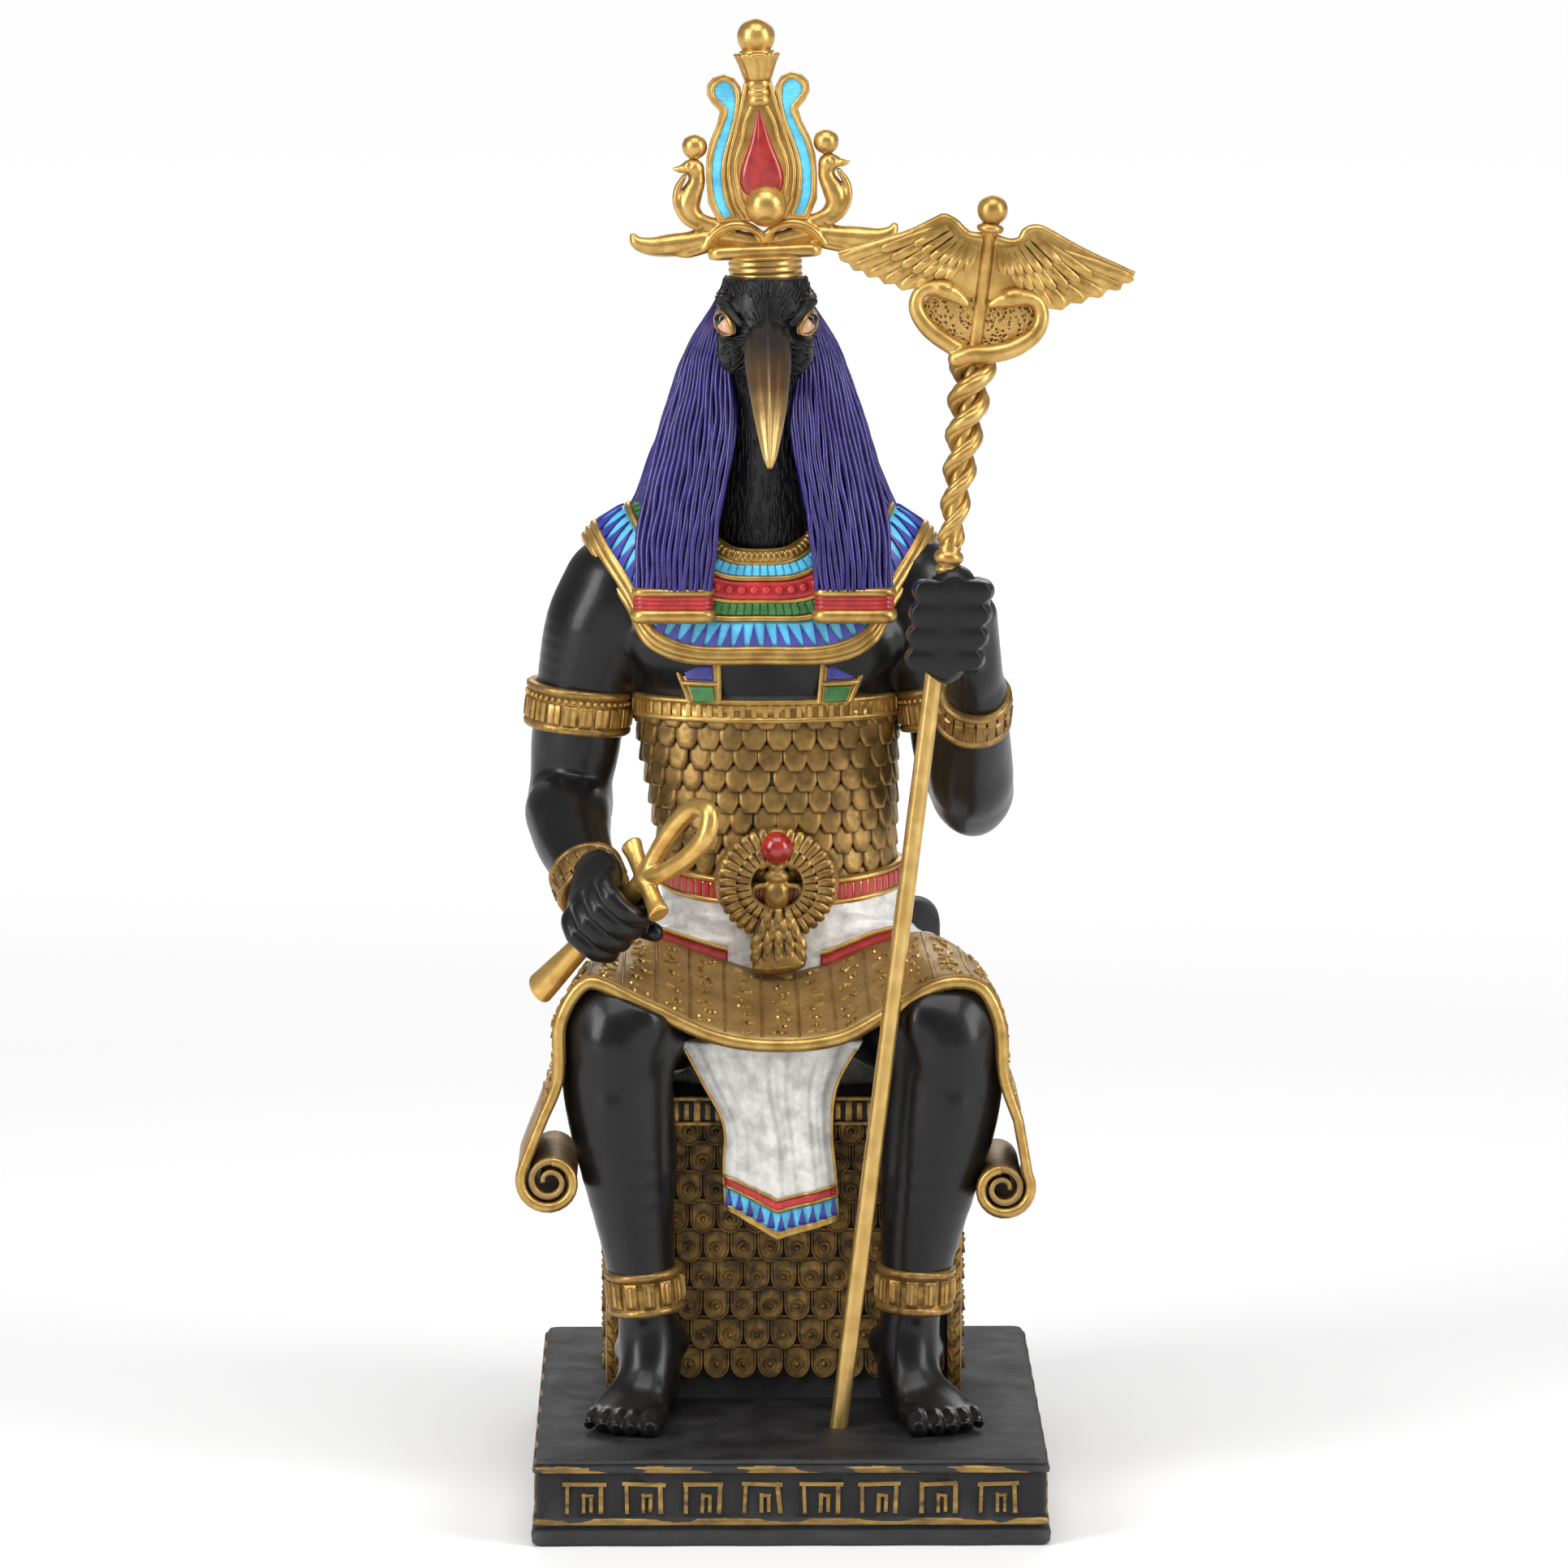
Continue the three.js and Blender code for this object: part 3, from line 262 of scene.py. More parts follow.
def place(tree, kind, settings=None, **links):
    # a node with its settings, and with numbers, colours or other nodes' sockets on its inputs
    node = tree.nodes.new(kind)
    for key, value in (settings or {}).items():
        setattr(node, key, value)
    for key, value in links.items():
        socket = node.inputs[int(key[1:])] if key[0] == "i" and key[1:].isdigit() else node.inputs[key.replace("_", " ")]
        if isinstance(value, bpy.types.NodeSocket):
            tree.links.new(value, socket)
        else:
            socket.default_value = value
    return node


def objectPlace(tree, stretch=(1, 1, 1)):
    coords = place(tree, "ShaderNodeTexCoord")
    mapped = place(tree, "ShaderNodeMapping", i3=stretch, i0=coords.outputs["Object"])
    return mapped.outputs[0]


def grain(tree, scale, detail=3, stretch=(1, 1, 1), roughness=0.55):
    # scale is in features per metre
    return place(tree, "ShaderNodeTexNoise", Vector=objectPlace(tree, stretch), Scale=scale, Detail=detail,
                 Roughness=roughness).outputs["Fac"]


def between(tree, value, low, high, to=(0, 1)):
    return place(tree, "ShaderNodeMapRange", Value=value, i1=low, i2=high, i3=to[0], i4=to[1]).outputs[0]


def combine(tree, kind, a, b, clamp=True):
    node = place(tree, "ShaderNodeMath", {"operation": kind, "use_clamp": clamp}, i0=a, i1=b)
    return node.outputs[0]


def blendColors(tree, amount, a, b):
    node = place(tree, "ShaderNodeMix", {"data_type": "RGBA"}, i0=amount, i6=a, i7=b)
    return node.outputs[2]


def addBump(tree, shader, height, strength, distance):
    bump = place(tree, "ShaderNodeBump", Strength=strength, Distance=distance, Height=height)
    tree.links.new(bump.outputs[0], shader.inputs["Normal"])


def hollows(tree, reach):
    # 1 in the open, falling towards 0 in grooves narrower than the reach in metres
    return place(tree, "ShaderNodeAmbientOcclusion", {"samples": 8, "only_local": True}, Distance=reach).outputs["AO"]


def makeLacquer():
    # glossy black with faint brush marks
    material, tree, shader = newMaterial("black_lacquer", (0.006, 0.006, 0.007), 0.3, coat=0.2, coatRoughness=0.16)
    shader.inputs["Specular IOR Level"].default_value = 0.28
    tree.links.new(between(tree, grain(tree, 90, 4), 0.3, 0.7, (0.27, 0.42)), shader.inputs["Roughness"])
    tone = blendColors(tree, grain(tree, 60), (0.003, 0.003, 0.0035, 1), (0.007, 0.0068, 0.0075, 1))
    tree.links.new(tone, shader.inputs["Base Color"])
    addBump(tree, shader, grain(tree, 900, 4), 0.18, 0.00025)
    return material


def makeCharcoal():
    # satin black with a cast, slightly gritty surface, greyer in random rubbed patches and lighter grey along sharp
    # edges
    material, tree, shader = newMaterial("charcoal", (0.01, 0.01, 0.011), 0.6)
    shader.inputs["Specular IOR Level"].default_value = 0.35
    rub = between(tree, grain(tree, 120, 6), 0.35, 0.75)
    edge = between(tree, place(tree, "ShaderNodeNewGeometry").outputs["Pointiness"], 0.52, 0.6)
    tone = blendColors(tree, rub, (0.007, 0.007, 0.008, 1), (0.022, 0.022, 0.024, 1))
    tone = blendColors(tree, combine(tree, "MULTIPLY", edge, 0.5), tone, (0.12, 0.12, 0.12, 1))
    tree.links.new(tone, shader.inputs["Base Color"])
    tree.links.new(between(tree, rub, 0, 1, (0.5, 0.72)), shader.inputs["Roughness"])
    addBump(tree, shader, grain(tree, 700, 8, roughness=0.65), 0.5, 0.0005)
    return material


def makeGold(name, bright, deep, wear=0.5, reach=0.0007, rough=0.33, streak=(1, 1, 1), grit=900):
    # gold paint over black, worn through to the black in random patches, with painted shade darkening it in the hollows
    material, tree, shader = newMaterial(name, bright, rough, metallic=0.75)
    mottled = blendColors(tree, between(tree, grain(tree, 260, 5, streak), 0.35, 0.65), (*deep, 1), (*bright, 1))
    # painted shade: the gold turns near black where the surface lies in a hollow
    unshaded = between(tree, hollows(tree, reach), 0.35, 0.92)
    worn = between(tree, grain(tree, 420, 6, streak, 0.65), 0.3, 0.62)
    goldKeptAndUnshaded = combine(tree, "MULTIPLY", unshaded, combine(tree, "ADD", worn, 1 - wear))
    # near black both where the gold is worn through and as painted shade in hollows
    color = blendColors(tree, goldKeptAndUnshaded, (0.014, 0.011, 0.008, 1), mottled)
    tree.links.new(color, shader.inputs["Base Color"])
    tree.links.new(combine(tree, "MULTIPLY", goldKeptAndUnshaded, 0.78), shader.inputs["Metallic"])
    tree.links.new(between(tree, goldKeptAndUnshaded, 0, 1, (0.5, rough)), shader.inputs["Roughness"])
    addBump(tree, shader, grain(tree, grit, 5, streak), 0.25, 0.0003)
    return material


def makeEnamel(name, color, rough=0.32, grooveShade=0.4, reach=0.0006, bump=0.3):
    # hand-laid paint: a little uneven in tone, with painted shade darkening its grooves
    material, tree, shader = newMaterial(name, color, rough, coat=0.3, coatRoughness=0.15)
    light = tuple(min(1, c * 1.25 + 0.01) for c in color)
    tone = blendColors(tree, between(tree, grain(tree, 300, 5), 0.35, 0.65), (*[c * 0.78 for c in color], 1), (*light, 1))
    dark = (*[c * grooveShade * 0.5 for c in color], 1)
    # painted shade: the tone goes darker in grooves
    tone = blendColors(tree, between(tree, hollows(tree, reach), 0.4, 0.9), dark, tone)
    tree.links.new(tone, shader.inputs["Base Color"])
    tree.links.new(between(tree, grain(tree, 240, 4), 0.3, 0.7, (rough * 0.7, rough * 1.35)), shader.inputs["Roughness"])
    addBump(tree, shader, grain(tree, 800, 5), bump, 0.0003)
    return material


print("materials")
lacquer = makeLacquer()
charcoal = makeCharcoal()
gold = makeGold("antique_gold", (0.62, 0.40, 0.12), (0.40, 0.23, 0.06), wear=0.25)
wornGold = makeGold("worn_gold", (0.50, 0.30, 0.085), (0.28, 0.155, 0.04), wear=0.75, reach=0.0009)
bronze = makeGold("bronze_wash", (0.42, 0.25, 0.075), (0.20, 0.115, 0.035), wear=0.55, reach=0.0008, rough=0.38)
rodMetal = makeGold("rod_metal", (0.66, 0.44, 0.15), (0.50, 0.31, 0.09), wear=0.02, rough=0.27, grit=300)
skyBlue = makeEnamel("sky_blue_enamel", (0.10, 0.52, 0.78))
navy = makeEnamel("dark_blue_enamel", (0.035, 0.035, 0.30))
red = makeEnamel("red_enamel", (0.50, 0.018, 0.022))
green = makeEnamel("green_enamel", (0.035, 0.17, 0.035))
pearl = makeEnamel("pearl_white", (0.74, 0.73, 0.70), rough=0.36, grooveShade=1.2, reach=0.001)
violet = makeEnamel("violet_hair", (0.022, 0.010, 0.15), rough=0.26, grooveShade=0.15, reach=0.0009)


# Body skin
print("skin")


def finger(clay, middle, toward0, toward90, turns, radius, soft=0.7):
    # turns hold the distance from the gripped line and the angle round it
    stations = []
    for distance, degrees in turns:
        a = math.radians(degrees)
        stations.append([*(middle + distance * (math.cos(a) * toward0 + math.sin(a) * toward90)), radius])
    clay.limb(stations, soft, count=16)
    for station in stations[2:5:2]:
        clay.ball(station[:3], radius * 1.06, 0.6)


rod = dict(foot=np.array([8.5, -32, 8]), top=np.array([30.1, -28.7, 183]), radius=1.75, gap=0.3)
rodAxis = unit(rod["top"] - rod["foot"])
ankhSet = dict(centre=np.array([-28.2, -23, 124.6]), along=unit([0.593, -0.42, 0.688]),
               across=unit([0.312, -0.668, -0.676]))


def makeUpperSkin():
    clay = Clay([-57, -33, 104], [50, 42, 196], 0.42)
    torsoSides = [[-1, 21, 104, 24, 17], [-1.4, 20, 122, 22.6, 14.8], [-4, 20, 150, 25.4, 16.2],
                  [-4.5, 20, 168, 29, 15.5], [-4.5, 19.5, 182, 24, 12], [-4.5, 17, 190, 12, 10]]
    clay.limb(torsoSides, 1.0, reference=front, count=16)
    for x in (-18, 9.5):
        clay.ball([x, 9.5, 167.5], [13.5, 6, 9], 4)                        # breast muscle
    clay.ball([-33, 20, 175], [11, 11.5, 12], 4)                           # shoulders
    clay.ball([24, 20, 175], [11, 11.5, 12], 4)
    clay.limb([[-34, 20, 176, 11], [-37, 20, 168, 11.6], [-41, 20, 154, 9.4], [-43, 20.5, 141, 8.4],
               [-43.6, 20.6, 132.5, 8.0]], 2.5, front)
    clay.ball([-41, 17, 146], [6.6, 6.2, 11], 3)                           # biceps
    clay.ball([-44.4, 24, 145], [6, 6, 12], 3)                             # back of the arm
    clay.limb([[-43.6, 21, 132.6, 8.2], [-43.6, 12, 131.6, 8.4], [-42.8, 4, 128.4, 7.6], [-41, -3, 125, 6.6],
               [-39.2, -10, 121.5, 5.6]], 2)
    clay.ball([-47, 12, 133.5], [4.4, 7, 4.6], 3)                          # forearm's outer bulge
    clay.limb([[24, 20, 177, 11], [28, 20, 168, 11.6], [32.8, 19, 154, 9.4], [35, 17, 142, 8.4],
               [37, 14, 136.6, 7.9]], 2.5, front)
    clay.ball([32, 15.8, 147], [6.4, 6, 10.5], 3)
    clay.ball([35.6, 22, 146], [6, 5.6, 11.5], 3)
    clay.limb([[37, 14.5, 135.8, 7.6], [36.6, 8, 140, 8.4], [36.4, 2, 146, 8.0], [36.6, -7, 154, 6.7],
               [36.9, -13, 160, 5.6]], 2)
    clay.ball([37.4, 17.4, 131.6], [4.2, 4.2, 4.2], 4)                     # elbow point
    makeRightHand(clay)
    makeLeftHand(clay)
    cutRoom(clay)
    return clay.skin("body_skin", lacquer, keep=0.38)


def makeRightHand(clay):
    along, across = ankhSet["along"], ankhSet["across"]
    outward = np.cross(across, along)
    grip = ankhSet["centre"] - 10.5 * along
    heel = grip - 6 * across + 2.4 * outward
    knuckles = grip + 4.4 * outward - 1.6 * across
    clay.limb([[-39.2, -9.5, 121.6, 5.8, 5], [*heel, 7.6, 4.4], [*knuckles, 8, 2.6]], 1.6, reference=-outward)
    clay.limb([[-36, -12.5, 117.4, 3.2], [-30.6, -14.6, 114.6, 2.5], [-26.4, -19.4, 113.4, 1.9]], 1)
    turns = [[5.2, -45], [6.4, -10], [6.7, 22], [6.5, 62], [5.6, 100], [4.4, 150], [4.1, 200]]
    for i, radius in enumerate([2.05, 2.15, 2.1, 1.85]):
        middle = grip + (1.5 - i) * 4.0 * along
        finger(clay, middle, outward, across, turns, radius, 0.35)
        tendon = middle + 5.6 * outward - 1.2 * across
        clay.limb([[*tendon, 1.5], [*(tendon * 0.5 + heel * 0.5 + outward * 2.3), 1.1]], 1.2, count=6)


def makeLeftHand(clay):
    clay.limb([[36.9, -12, 159.5, 5.6, 5.4], [36.4, -17.6, 166.4, 5.2, 6.6], [36.2, -21, 176, 4.4, 6.6]], 1.6)
    clay.limb([[36.6, -15.5, 171, 3.3], [31.4, -20.4, 177.2, 2.7], [26, -24.2, 181.4, 2.1]], 0.9)
    core = [rod["foot"] + rodAxis * (height - rod["foot"][2]) / rodAxis[2] for height in (168.4, 175.6, 182.8)]
    clay.limb([[*(spot + 1.6 * side), 4.6, 4.6] for spot in core], 0.8)       # the closed fist round the rod
    turns = [[7.4, -30], [7.6, 8], [6.8, 42], [5.0, 88], [4.9, 135], [4.2, 185]]
    for i, radius in enumerate([2.25, 2.35, 2.3, 2.1]):
        height = 169 + (3 - i) * 4.4
        middle = rod["foot"] + rodAxis * (height - rod["foot"][2]) / rodAxis[2]
        finger(clay, middle, side, front, turns, radius, 0.35)
        tendon = middle + 7.4 * side - 1.0 * front
        clay.limb([[*tendon, 1.6], [*(tendon * 0.45 + np.array([38.6, -15, 163.5]) * 0.55), 1.1]], 1.2, count=6)


def cutRoom(clay):
    # room for the rod and the ankh's shaft through the fists
    for start, end, radius in ((rod["foot"], rod["top"] + 8 * rodAxis, rod["radius"] + rod["gap"]),
                               (ankhSet["centre"] - 38 * ankhSet["along"], ankhSet["centre"] - 2 * ankhSet["along"], 2.6)):
        clay.limb([[*start, radius], [*(start * 0.5 + end * 0.5), radius], [*end, radius]], 0.05, count=8, carve=True)


def makeLegs():
    makers = [
        dict(turn=-1, name="right_leg", hip=[-15, 22, 94, 14], thigh=[-25, 0, 94.5, 13, 12.4], toes=-32.7, heel=-26.6,
             shin=[[-33.4, -18.4, 94, 11.6, 11.4], [-33.7, -18.6, 84, 11, 11.6], [-32.6, -17.6, 73, 10.2, 12],
                   [-30.2, -17.6, 54, 7.6, 8.8], [-28.2, -17.8, 38, 5.9, 7.2], [-27.2, -18, 27, 5.8, 7]]),
        dict(turn=1, name="left_leg", hip=[13, 22, 94, 14], thigh=[23, 0, 94.5, 13, 12.4], toes=30.4, heel=22.8,
             shin=[[31.2, -18.4, 94, 11.6, 11.4], [31, -18.6, 84, 11.2, 11.6], [29.4, -17.6, 73, 10.8, 12],
                   [26.2, -17.6, 54, 8, 8.8], [24.2, -17.8, 38, 6, 7.2], [23.2, -18, 27, 5.8, 7]]),
    ]
    for leg in makers:
        makeLeg(leg)


def aboveSheet(x, y, z):
    # positive above the underside of the papyrus that lies on the thighs
    s = papyrusSet
    share = np.clip((y - s["front"]) / (s["back"] - s["front"]), 0, 1)
    lines = [np.interp(x, [p[0] for p in s[key][3:13]], [p[1] for p in s[key][3:13]]) for key in ("rim", "edge")]
    under = lines[0] * (1 - share) + lines[1] * share - 0.6 * s["thick"]
    return np.where(y < s["back"] + 0.5, z - under, -5.0)


papyrusSet = dict(
    front=-26.6, back=2.0, thick=2.6, columns=19,
    rim=[[-53, 69], [-49.4, 77.4], [-46.4, 86], [-46, 97.6], [-39.5, 106], [-28, 101.4], [-14, 95], [-2.4, 93.4], [9, 94.6],
         [18, 99.2], [29, 105.4], [38, 104.8], [42.4, 97], [43.2, 86], [45.8, 77.2], [48, 70]],
    edge=[[-53, 69], [-49.4, 77.4], [-46.2, 86], [-44.4, 96], [-38.5, 105], [-28, 109.2], [-14, 104.6], [-2.4, 101.6],
          [8, 103.6], [17, 107.4], [27, 109.8], [36, 105], [41, 96.6], [42.8, 86], [45.8, 77.2], [48, 70]],
    rolls=[(-47.1, 65, 7.0, -1), (42, 63.4, 6.7, 1)])


def makeLeg(leg):
    turn, toes, heel, shin = leg["turn"], leg["toes"], leg["heel"], leg["shin"]
    low = [min(heel, toes, leg["thigh"][0]) - 17, -46, 16.4]
    high = [max(heel, toes, leg["thigh"][0]) + 17, 26, 108]
    clay = Clay(low, high, 0.42)
    knee = np.array(shin[0][:3])
    clay.limb([leg["hip"], leg["thigh"], [*knee, 11.4, 11.2]], 2)
    clay.limb(shin, 2, front, count=22)
    clay.ball(knee + [0, -8.4, -2.5], [6.6, 4.4, 7.6], 2.2)                 # kneecap
    clay.ball(knee + [-5 * turn, -5.6, 3], [5, 6, 6], 3)                    # thigh muscle inside the knee
    clay.ball(knee + [0.6 * turn, -7.4, -12.4], [3, 3.4, 5], 2.6)           # tendon below the kneecap
    clay.ball([shin[2][0] - 2.5 * turn, -12.6, 68], [7.4, 8, 17], 3)        # calf
    clay.limb([[shin[1][0] + 1.2 * turn, -27.4, 80, 2.2], [shin[3][0] + turn, -24.2, 56, 1.7],
               [shin[4][0] + 0.6 * turn, -23.2, 38, 1.3]], 2.5)             # shin bone
    ankle = shin[5][0]
    clay.ball([ankle + 5.2 * turn, -15.6, 29], [2.2, 3, 2.6], 1.8)
    clay.ball([ankle - 5.4 * turn, -17, 31], [2.2, 3, 2.6], 1.8)
    clay.limb([[heel, -9.6, 20.6, 5.2, 4.4], [heel + 1.2 * turn, -19, 22.6, 5.8, 5.4],
               [(heel + toes) / 2 + 0.8 * turn, -27.4, 20.6, 6.6, 4], [toes, -34.4, 19, 7.2, 2.4]], 2)
    clay.limb([[ankle, -18, 31, 5.4, 6], [ankle + 1.4 * turn, -24, 24.6, 4.6, 4]], 3)
    for i, (across, reach, radius) in enumerate([(-5.3, 0, 2.25), (-1.5, -0.4, 1.6), (1.5, 0.6, 1.5), (4.2, 2.2, 1.4),
                                                 (6.6, 4.3, 1.25)]):
        x, y = toes + turn * across, -40.2 + reach
        splay = turn * 0.22
        clay.limb([[x - splay * 8, y + 8, 19.4, radius * 0.9], [x - splay * 3, y + 3.4, 20.1, radius * 0.92],
                   [x, y + 0.4, 18.7, radius]], 0.35, count=10)
        clay.ball([x, y - 0.7, 18.6 + radius * 0.62], [radius * 0.6, radius * 0.7, 0.5], 0.2)    # nail
        clay.limb([[x - splay * 10, y + 9, 20.6, 0.9], [ankle + (i - 2) * 1.6 * turn + turn, -24.6, 26.2, 0.9]],
                  1.8, count=8)                                             # tendon over the arch
    clay.cut(lambda x, y, z: 16.8 - z + 0 * x + 0 * y)
    clay.cut(aboveSheet)
    cutRoom(clay)
    clay.skin(leg["name"], lacquer, keep=0.42)


body = makeUpperSkin()
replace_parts(body, "statue")
makeLegs()


# Geometry Nodes: shapes set out on spots, and wires drawn along lines
def newTree(name, sizes):
    tree = bpy.data.node_groups.new(name, "GeometryNodeTree")
    tree.interface.new_socket("Geometry", in_out="INPUT", socket_type="NodeSocketGeometry")
    for label, (kind, value) in sizes.items():
        socket = tree.interface.new_socket(label, in_out="INPUT", socket_type="NodeSocket" + kind)
        if value is not None:
            socket.default_value = value
    tree.interface.new_socket("Geometry", in_out="OUTPUT", socket_type="NodeSocketGeometry")
    return tree, place(tree, "NodeGroupInput").outputs


def endTree(tree, geometry, material):
    whole = place(tree, "GeometryNodeRealizeInstances", Geometry=geometry)
    painted = place(tree, "GeometryNodeSetMaterial", Geometry=whole.outputs[0], Material=material)
    place(tree, "NodeGroupOutput", Geometry=painted.outputs[0])


def attribute(tree, name, kind):
    return place(tree, "GeometryNodeInputNamedAttribute", {"data_type": kind}, Name=name).outputs["Attribute"]


def settingTree():
    # each point of the mesh gets one copy of the shape, turned by its facing and upward directions
    tree, given = newTree("set_out_on_spots", {"Shape": ("Object", None), "Width": ("Float", 0.001),
                                              "Height": ("Float", 0.001), "Depth": ("Float", 0.001),
                                              "Material": ("Material", None)})
    turned = place(tree, "FunctionNodeAxesToRotation", {"primary_axis": "Z", "secondary_axis": "Y"},
                   Primary_Axis=attribute(tree, "facing", "FLOAT_VECTOR"),
                   Secondary_Axis=attribute(tree, "upward", "FLOAT_VECTOR"))
    size = place(tree, "ShaderNodeCombineXYZ", X=given["Width"], Y=given["Height"], Z=given["Depth"])
    scaled = place(tree, "ShaderNodeVectorMath", {"operation": "MULTIPLY"}, i0=size.outputs[0],
                   i1=attribute(tree, "share", "FLOAT_VECTOR"))
    shape = place(tree, "GeometryNodeObjectInfo", Object=given["Shape"])
    copies = place(tree, "GeometryNodeInstanceOnPoints", Points=given["Geometry"], Instance=shape.outputs["Geometry"],
                   Rotation=turned.outputs[0], Scale=scaled.outputs[0])
    endTree(tree, copies.outputs[0], given["Material"])
    return tree


def wireTree():
    # a round wire along each line, as thick as its points say
    tree, given = newTree("wire_along_lines", {"Wire Radius": ("Float", 0.0005), "Sides": ("Int", 8),
                                              "Material": ("Material", None)})
    lines = place(tree, "GeometryNodeMeshToCurve", Mesh=given["Geometry"])
    sized = place(tree, "GeometryNodeSetCurveRadius", Curve=lines.outputs[0],
                  Radius=attribute(tree, "thickness", "FLOAT"))
    section = place(tree, "GeometryNodeCurvePrimitiveCircle", Resolution=given["Sides"], Radius=given["Wire Radius"])
    wire = place(tree, "GeometryNodeCurveToMesh", Curve=sized.outputs[0], Profile_Curve=section.outputs[0],
                 Fill_Caps=True)
    if "Scale" in wire.inputs:
        tree.links.new(attribute(tree, "thickness", "FLOAT"), wire.inputs["Scale"])
    smoothed = place(tree, "GeometryNodeSetShadeSmooth", Geometry=wire.outputs[0])
    endTree(tree, smoothed.outputs[0], given["Material"])
    return tree


spotTree = settingTree()
lineTree = wireTree()


def runTree(name, mesh, tree, values):
    host = bpy.data.objects.new(name, mesh)
    bpy.context.collection.objects.link(host)
    modifier = host.modifiers.new("made", "NODES")
    modifier.node_group = tree
    for item in tree.interface.items_tree:
        if item.name in values:
            modifier[item.identifier] = values[item.name]
    graph = bpy.context.evaluated_depsgraph_get()
    made = bpy.data.meshes.new_from_object(host.evaluated_get(graph))
    host.modifiers.remove(modifier)
    host.data = made
    made.name = name
    for attributeName in ("facing", "upward", "share", "thickness"):
        if attributeName in made.attributes:
            made.attributes.remove(made.attributes[attributeName])
    return rideAlong(host)


def setOut(name, spots, shape, size, material, smooth=True):
    # spots hold a place, the way the shape faces, which way is up, and optional shares of the size
    spots = [list(s) + [(1, 1, 1)] if len(s) == 3 else list(s) for s in spots]
    mesh = bpy.data.meshes.new(name)
    mesh.from_pydata([[v * mm for v in s[0]] for s in spots], [], [])
    for i, label in ((1, "facing"), (2, "upward"), (3, "share")):
        data = np.array([s[i] for s in spots], np.float32)
        mesh.attributes.new(label, "FLOAT_VECTOR", "POINT").data.foreach_set("vector", data.ravel())
    values = {"Shape": shape, "Width": size[0] * mm, "Height": size[1] * mm, "Depth": size[2] * mm,
              "Material": material}
    piece = runTree(name, mesh, spotTree, values)
    if smooth:
        piece.data.set_sharp_from_angle(angle=math.radians(40))
    return piece


def wires(name, lines, radius, material, sides=8):
    # each line is a list of points, with an optional share of the radius as a fourth number
    verts, edges, shares = [], [], []
    for line in lines:
        start = len(verts)
        for point in line:
            verts.append([v * mm for v in point[:3]])
            shares.append(point[3] if len(point) > 3 else 1.0)
        edges += [(i, i + 1) for i in range(start, len(verts) - 1)]
        if np.allclose(line[0][:3], line[-1][:3]):
            verts.pop()
            shares.pop()
            edges[-1] = (len(verts) - 1, start)
    mesh = bpy.data.meshes.new(name)
    mesh.from_pydata(verts, edges, [])
    mesh.attributes.new("thickness", "FLOAT", "POINT").data.foreach_set("value", np.array(shares, np.float32))
    values = {"Wire Radius": radius * mm, "Sides": sides, "Material": material}
    return runTree(name, mesh, lineTree, values)


# Small shapes one unit across, to be set out: x is width, y height and z stands off the surface
def unitShape(name, outline, layers):
    # layers hold how far the outline is drawn in and its height, from the surface outwards
    outline = np.array(outline, float)
    middle = outline.mean(0)
    verts, faces = [], []
    count = len(outline)
    for share, height in layers:
        ring = middle + (outline - middle) * share
        verts += [(x, y, height) for x, y in ring]
    for layer in range(len(layers) - 1):
        for i in range(count):
            a, b = layer * count + i, layer * count + (i + 1) % count
            faces.append((a, b, b + count, a + count))
    faces.append(tuple(reversed(range(count))))
    faces.append(tuple(range((len(layers) - 1) * count, len(layers) * count)))
    mesh = bpy.data.meshes.new(name)
    mesh.from_pydata(verts, [], faces)
    fixNormals(mesh)
    mesh.shade_smooth()
    shape = bpy.data.objects.new(name, mesh)
    return shape


def arc(x, y, radius, start, end, count):
    return [(x + radius * math.cos(math.radians(start + (end - start) * i / (count - 1))),
             y + radius * math.sin(math.radians(start + (end - start) * i / (count - 1)))) for i in range(count)]


dome = unitShape("dome", arc(0, 0, 0.5, 0, 324, 10), [(1, -0.2), (1, 0.1), (0.92, 0.5), (0.7, 0.82), (0.35, 1)])
bar = unitShape("bar", [(-0.5, -0.5), (0.5, -0.5), (0.5, 0.5), (-0.5, 0.5)], [(1, -0.4), (1, 0.55), (0.88, 0.9), (0.6, 1)])
petal = unitShape("petal", [(-0.5, -0.5), (0.5, -0.5), (0.2, 0.1), (0.02, 0.5), (-0.02, 0.5), (-0.2, 0.1)],
                  [(1, -0.4), (1, 0.4), (0.8, 1)])
plateScale = unitShape("plate_scale", [(-0.26, -0.5), (0.26, -0.5), (0.49, -0.12), (0.49, 0.5), (-0.49, 0.5),
                                       (-0.49, -0.12)], [(1, -0.6), (1, 0.35), (0.95, 0.7), (0.82, 0.92), (0.5, 1)])
tongue = unitShape("tongue", arc(0, 0, 0.49, 180, 360, 9) + [(0.49, 0.7), (-0.49, 0.7)],
                   [(1, -0.5), (1, 0.7), (0.96, 1), (0.86, 1), (0.78, 0.62), (0.4, 0.55)])
print("statue base")


def roundedLoop(halfX, halfY, radius, perSide, centre=(0, 0)):
    points = []
    for corner, (sx, sy) in enumerate([(1, -1), (1, 1), (-1, 1), (-1, -1)]):
        cx, cy = sx * (halfX - radius), sy * (halfY - radius)
        points += arc(cx, cy, radius, -90 + 90 * corner, 90 * corner, 5)
        nx, ny = [(1, 1), (-1, 1), (-1, -1), (1, -1)][corner]
        start = np.array(points[-1])
        nextCorner = [(halfX, halfY - radius), (-(halfX - radius), halfY), (-halfX, -(halfY - radius)),
                      (halfX - radius, -halfY)][corner]
        for i in range(1, perSide):
            points.append(tuple(start + (np.array(nextCorner) - start) * i / perSide))
    return np.array([(x + centre[0], y + centre[1]) for x, y in points])


plinthSet = dict(width=100, depth=120, height=17, ledge=3.3, reach=0.6, bandLow=(3.9, 5.8), bandHigh=(14.2, 16.0),
                 motifs=8, motifPitch=11.4, motifFoot=6.4, motifSize=(7.4, 6.2, 0.55))


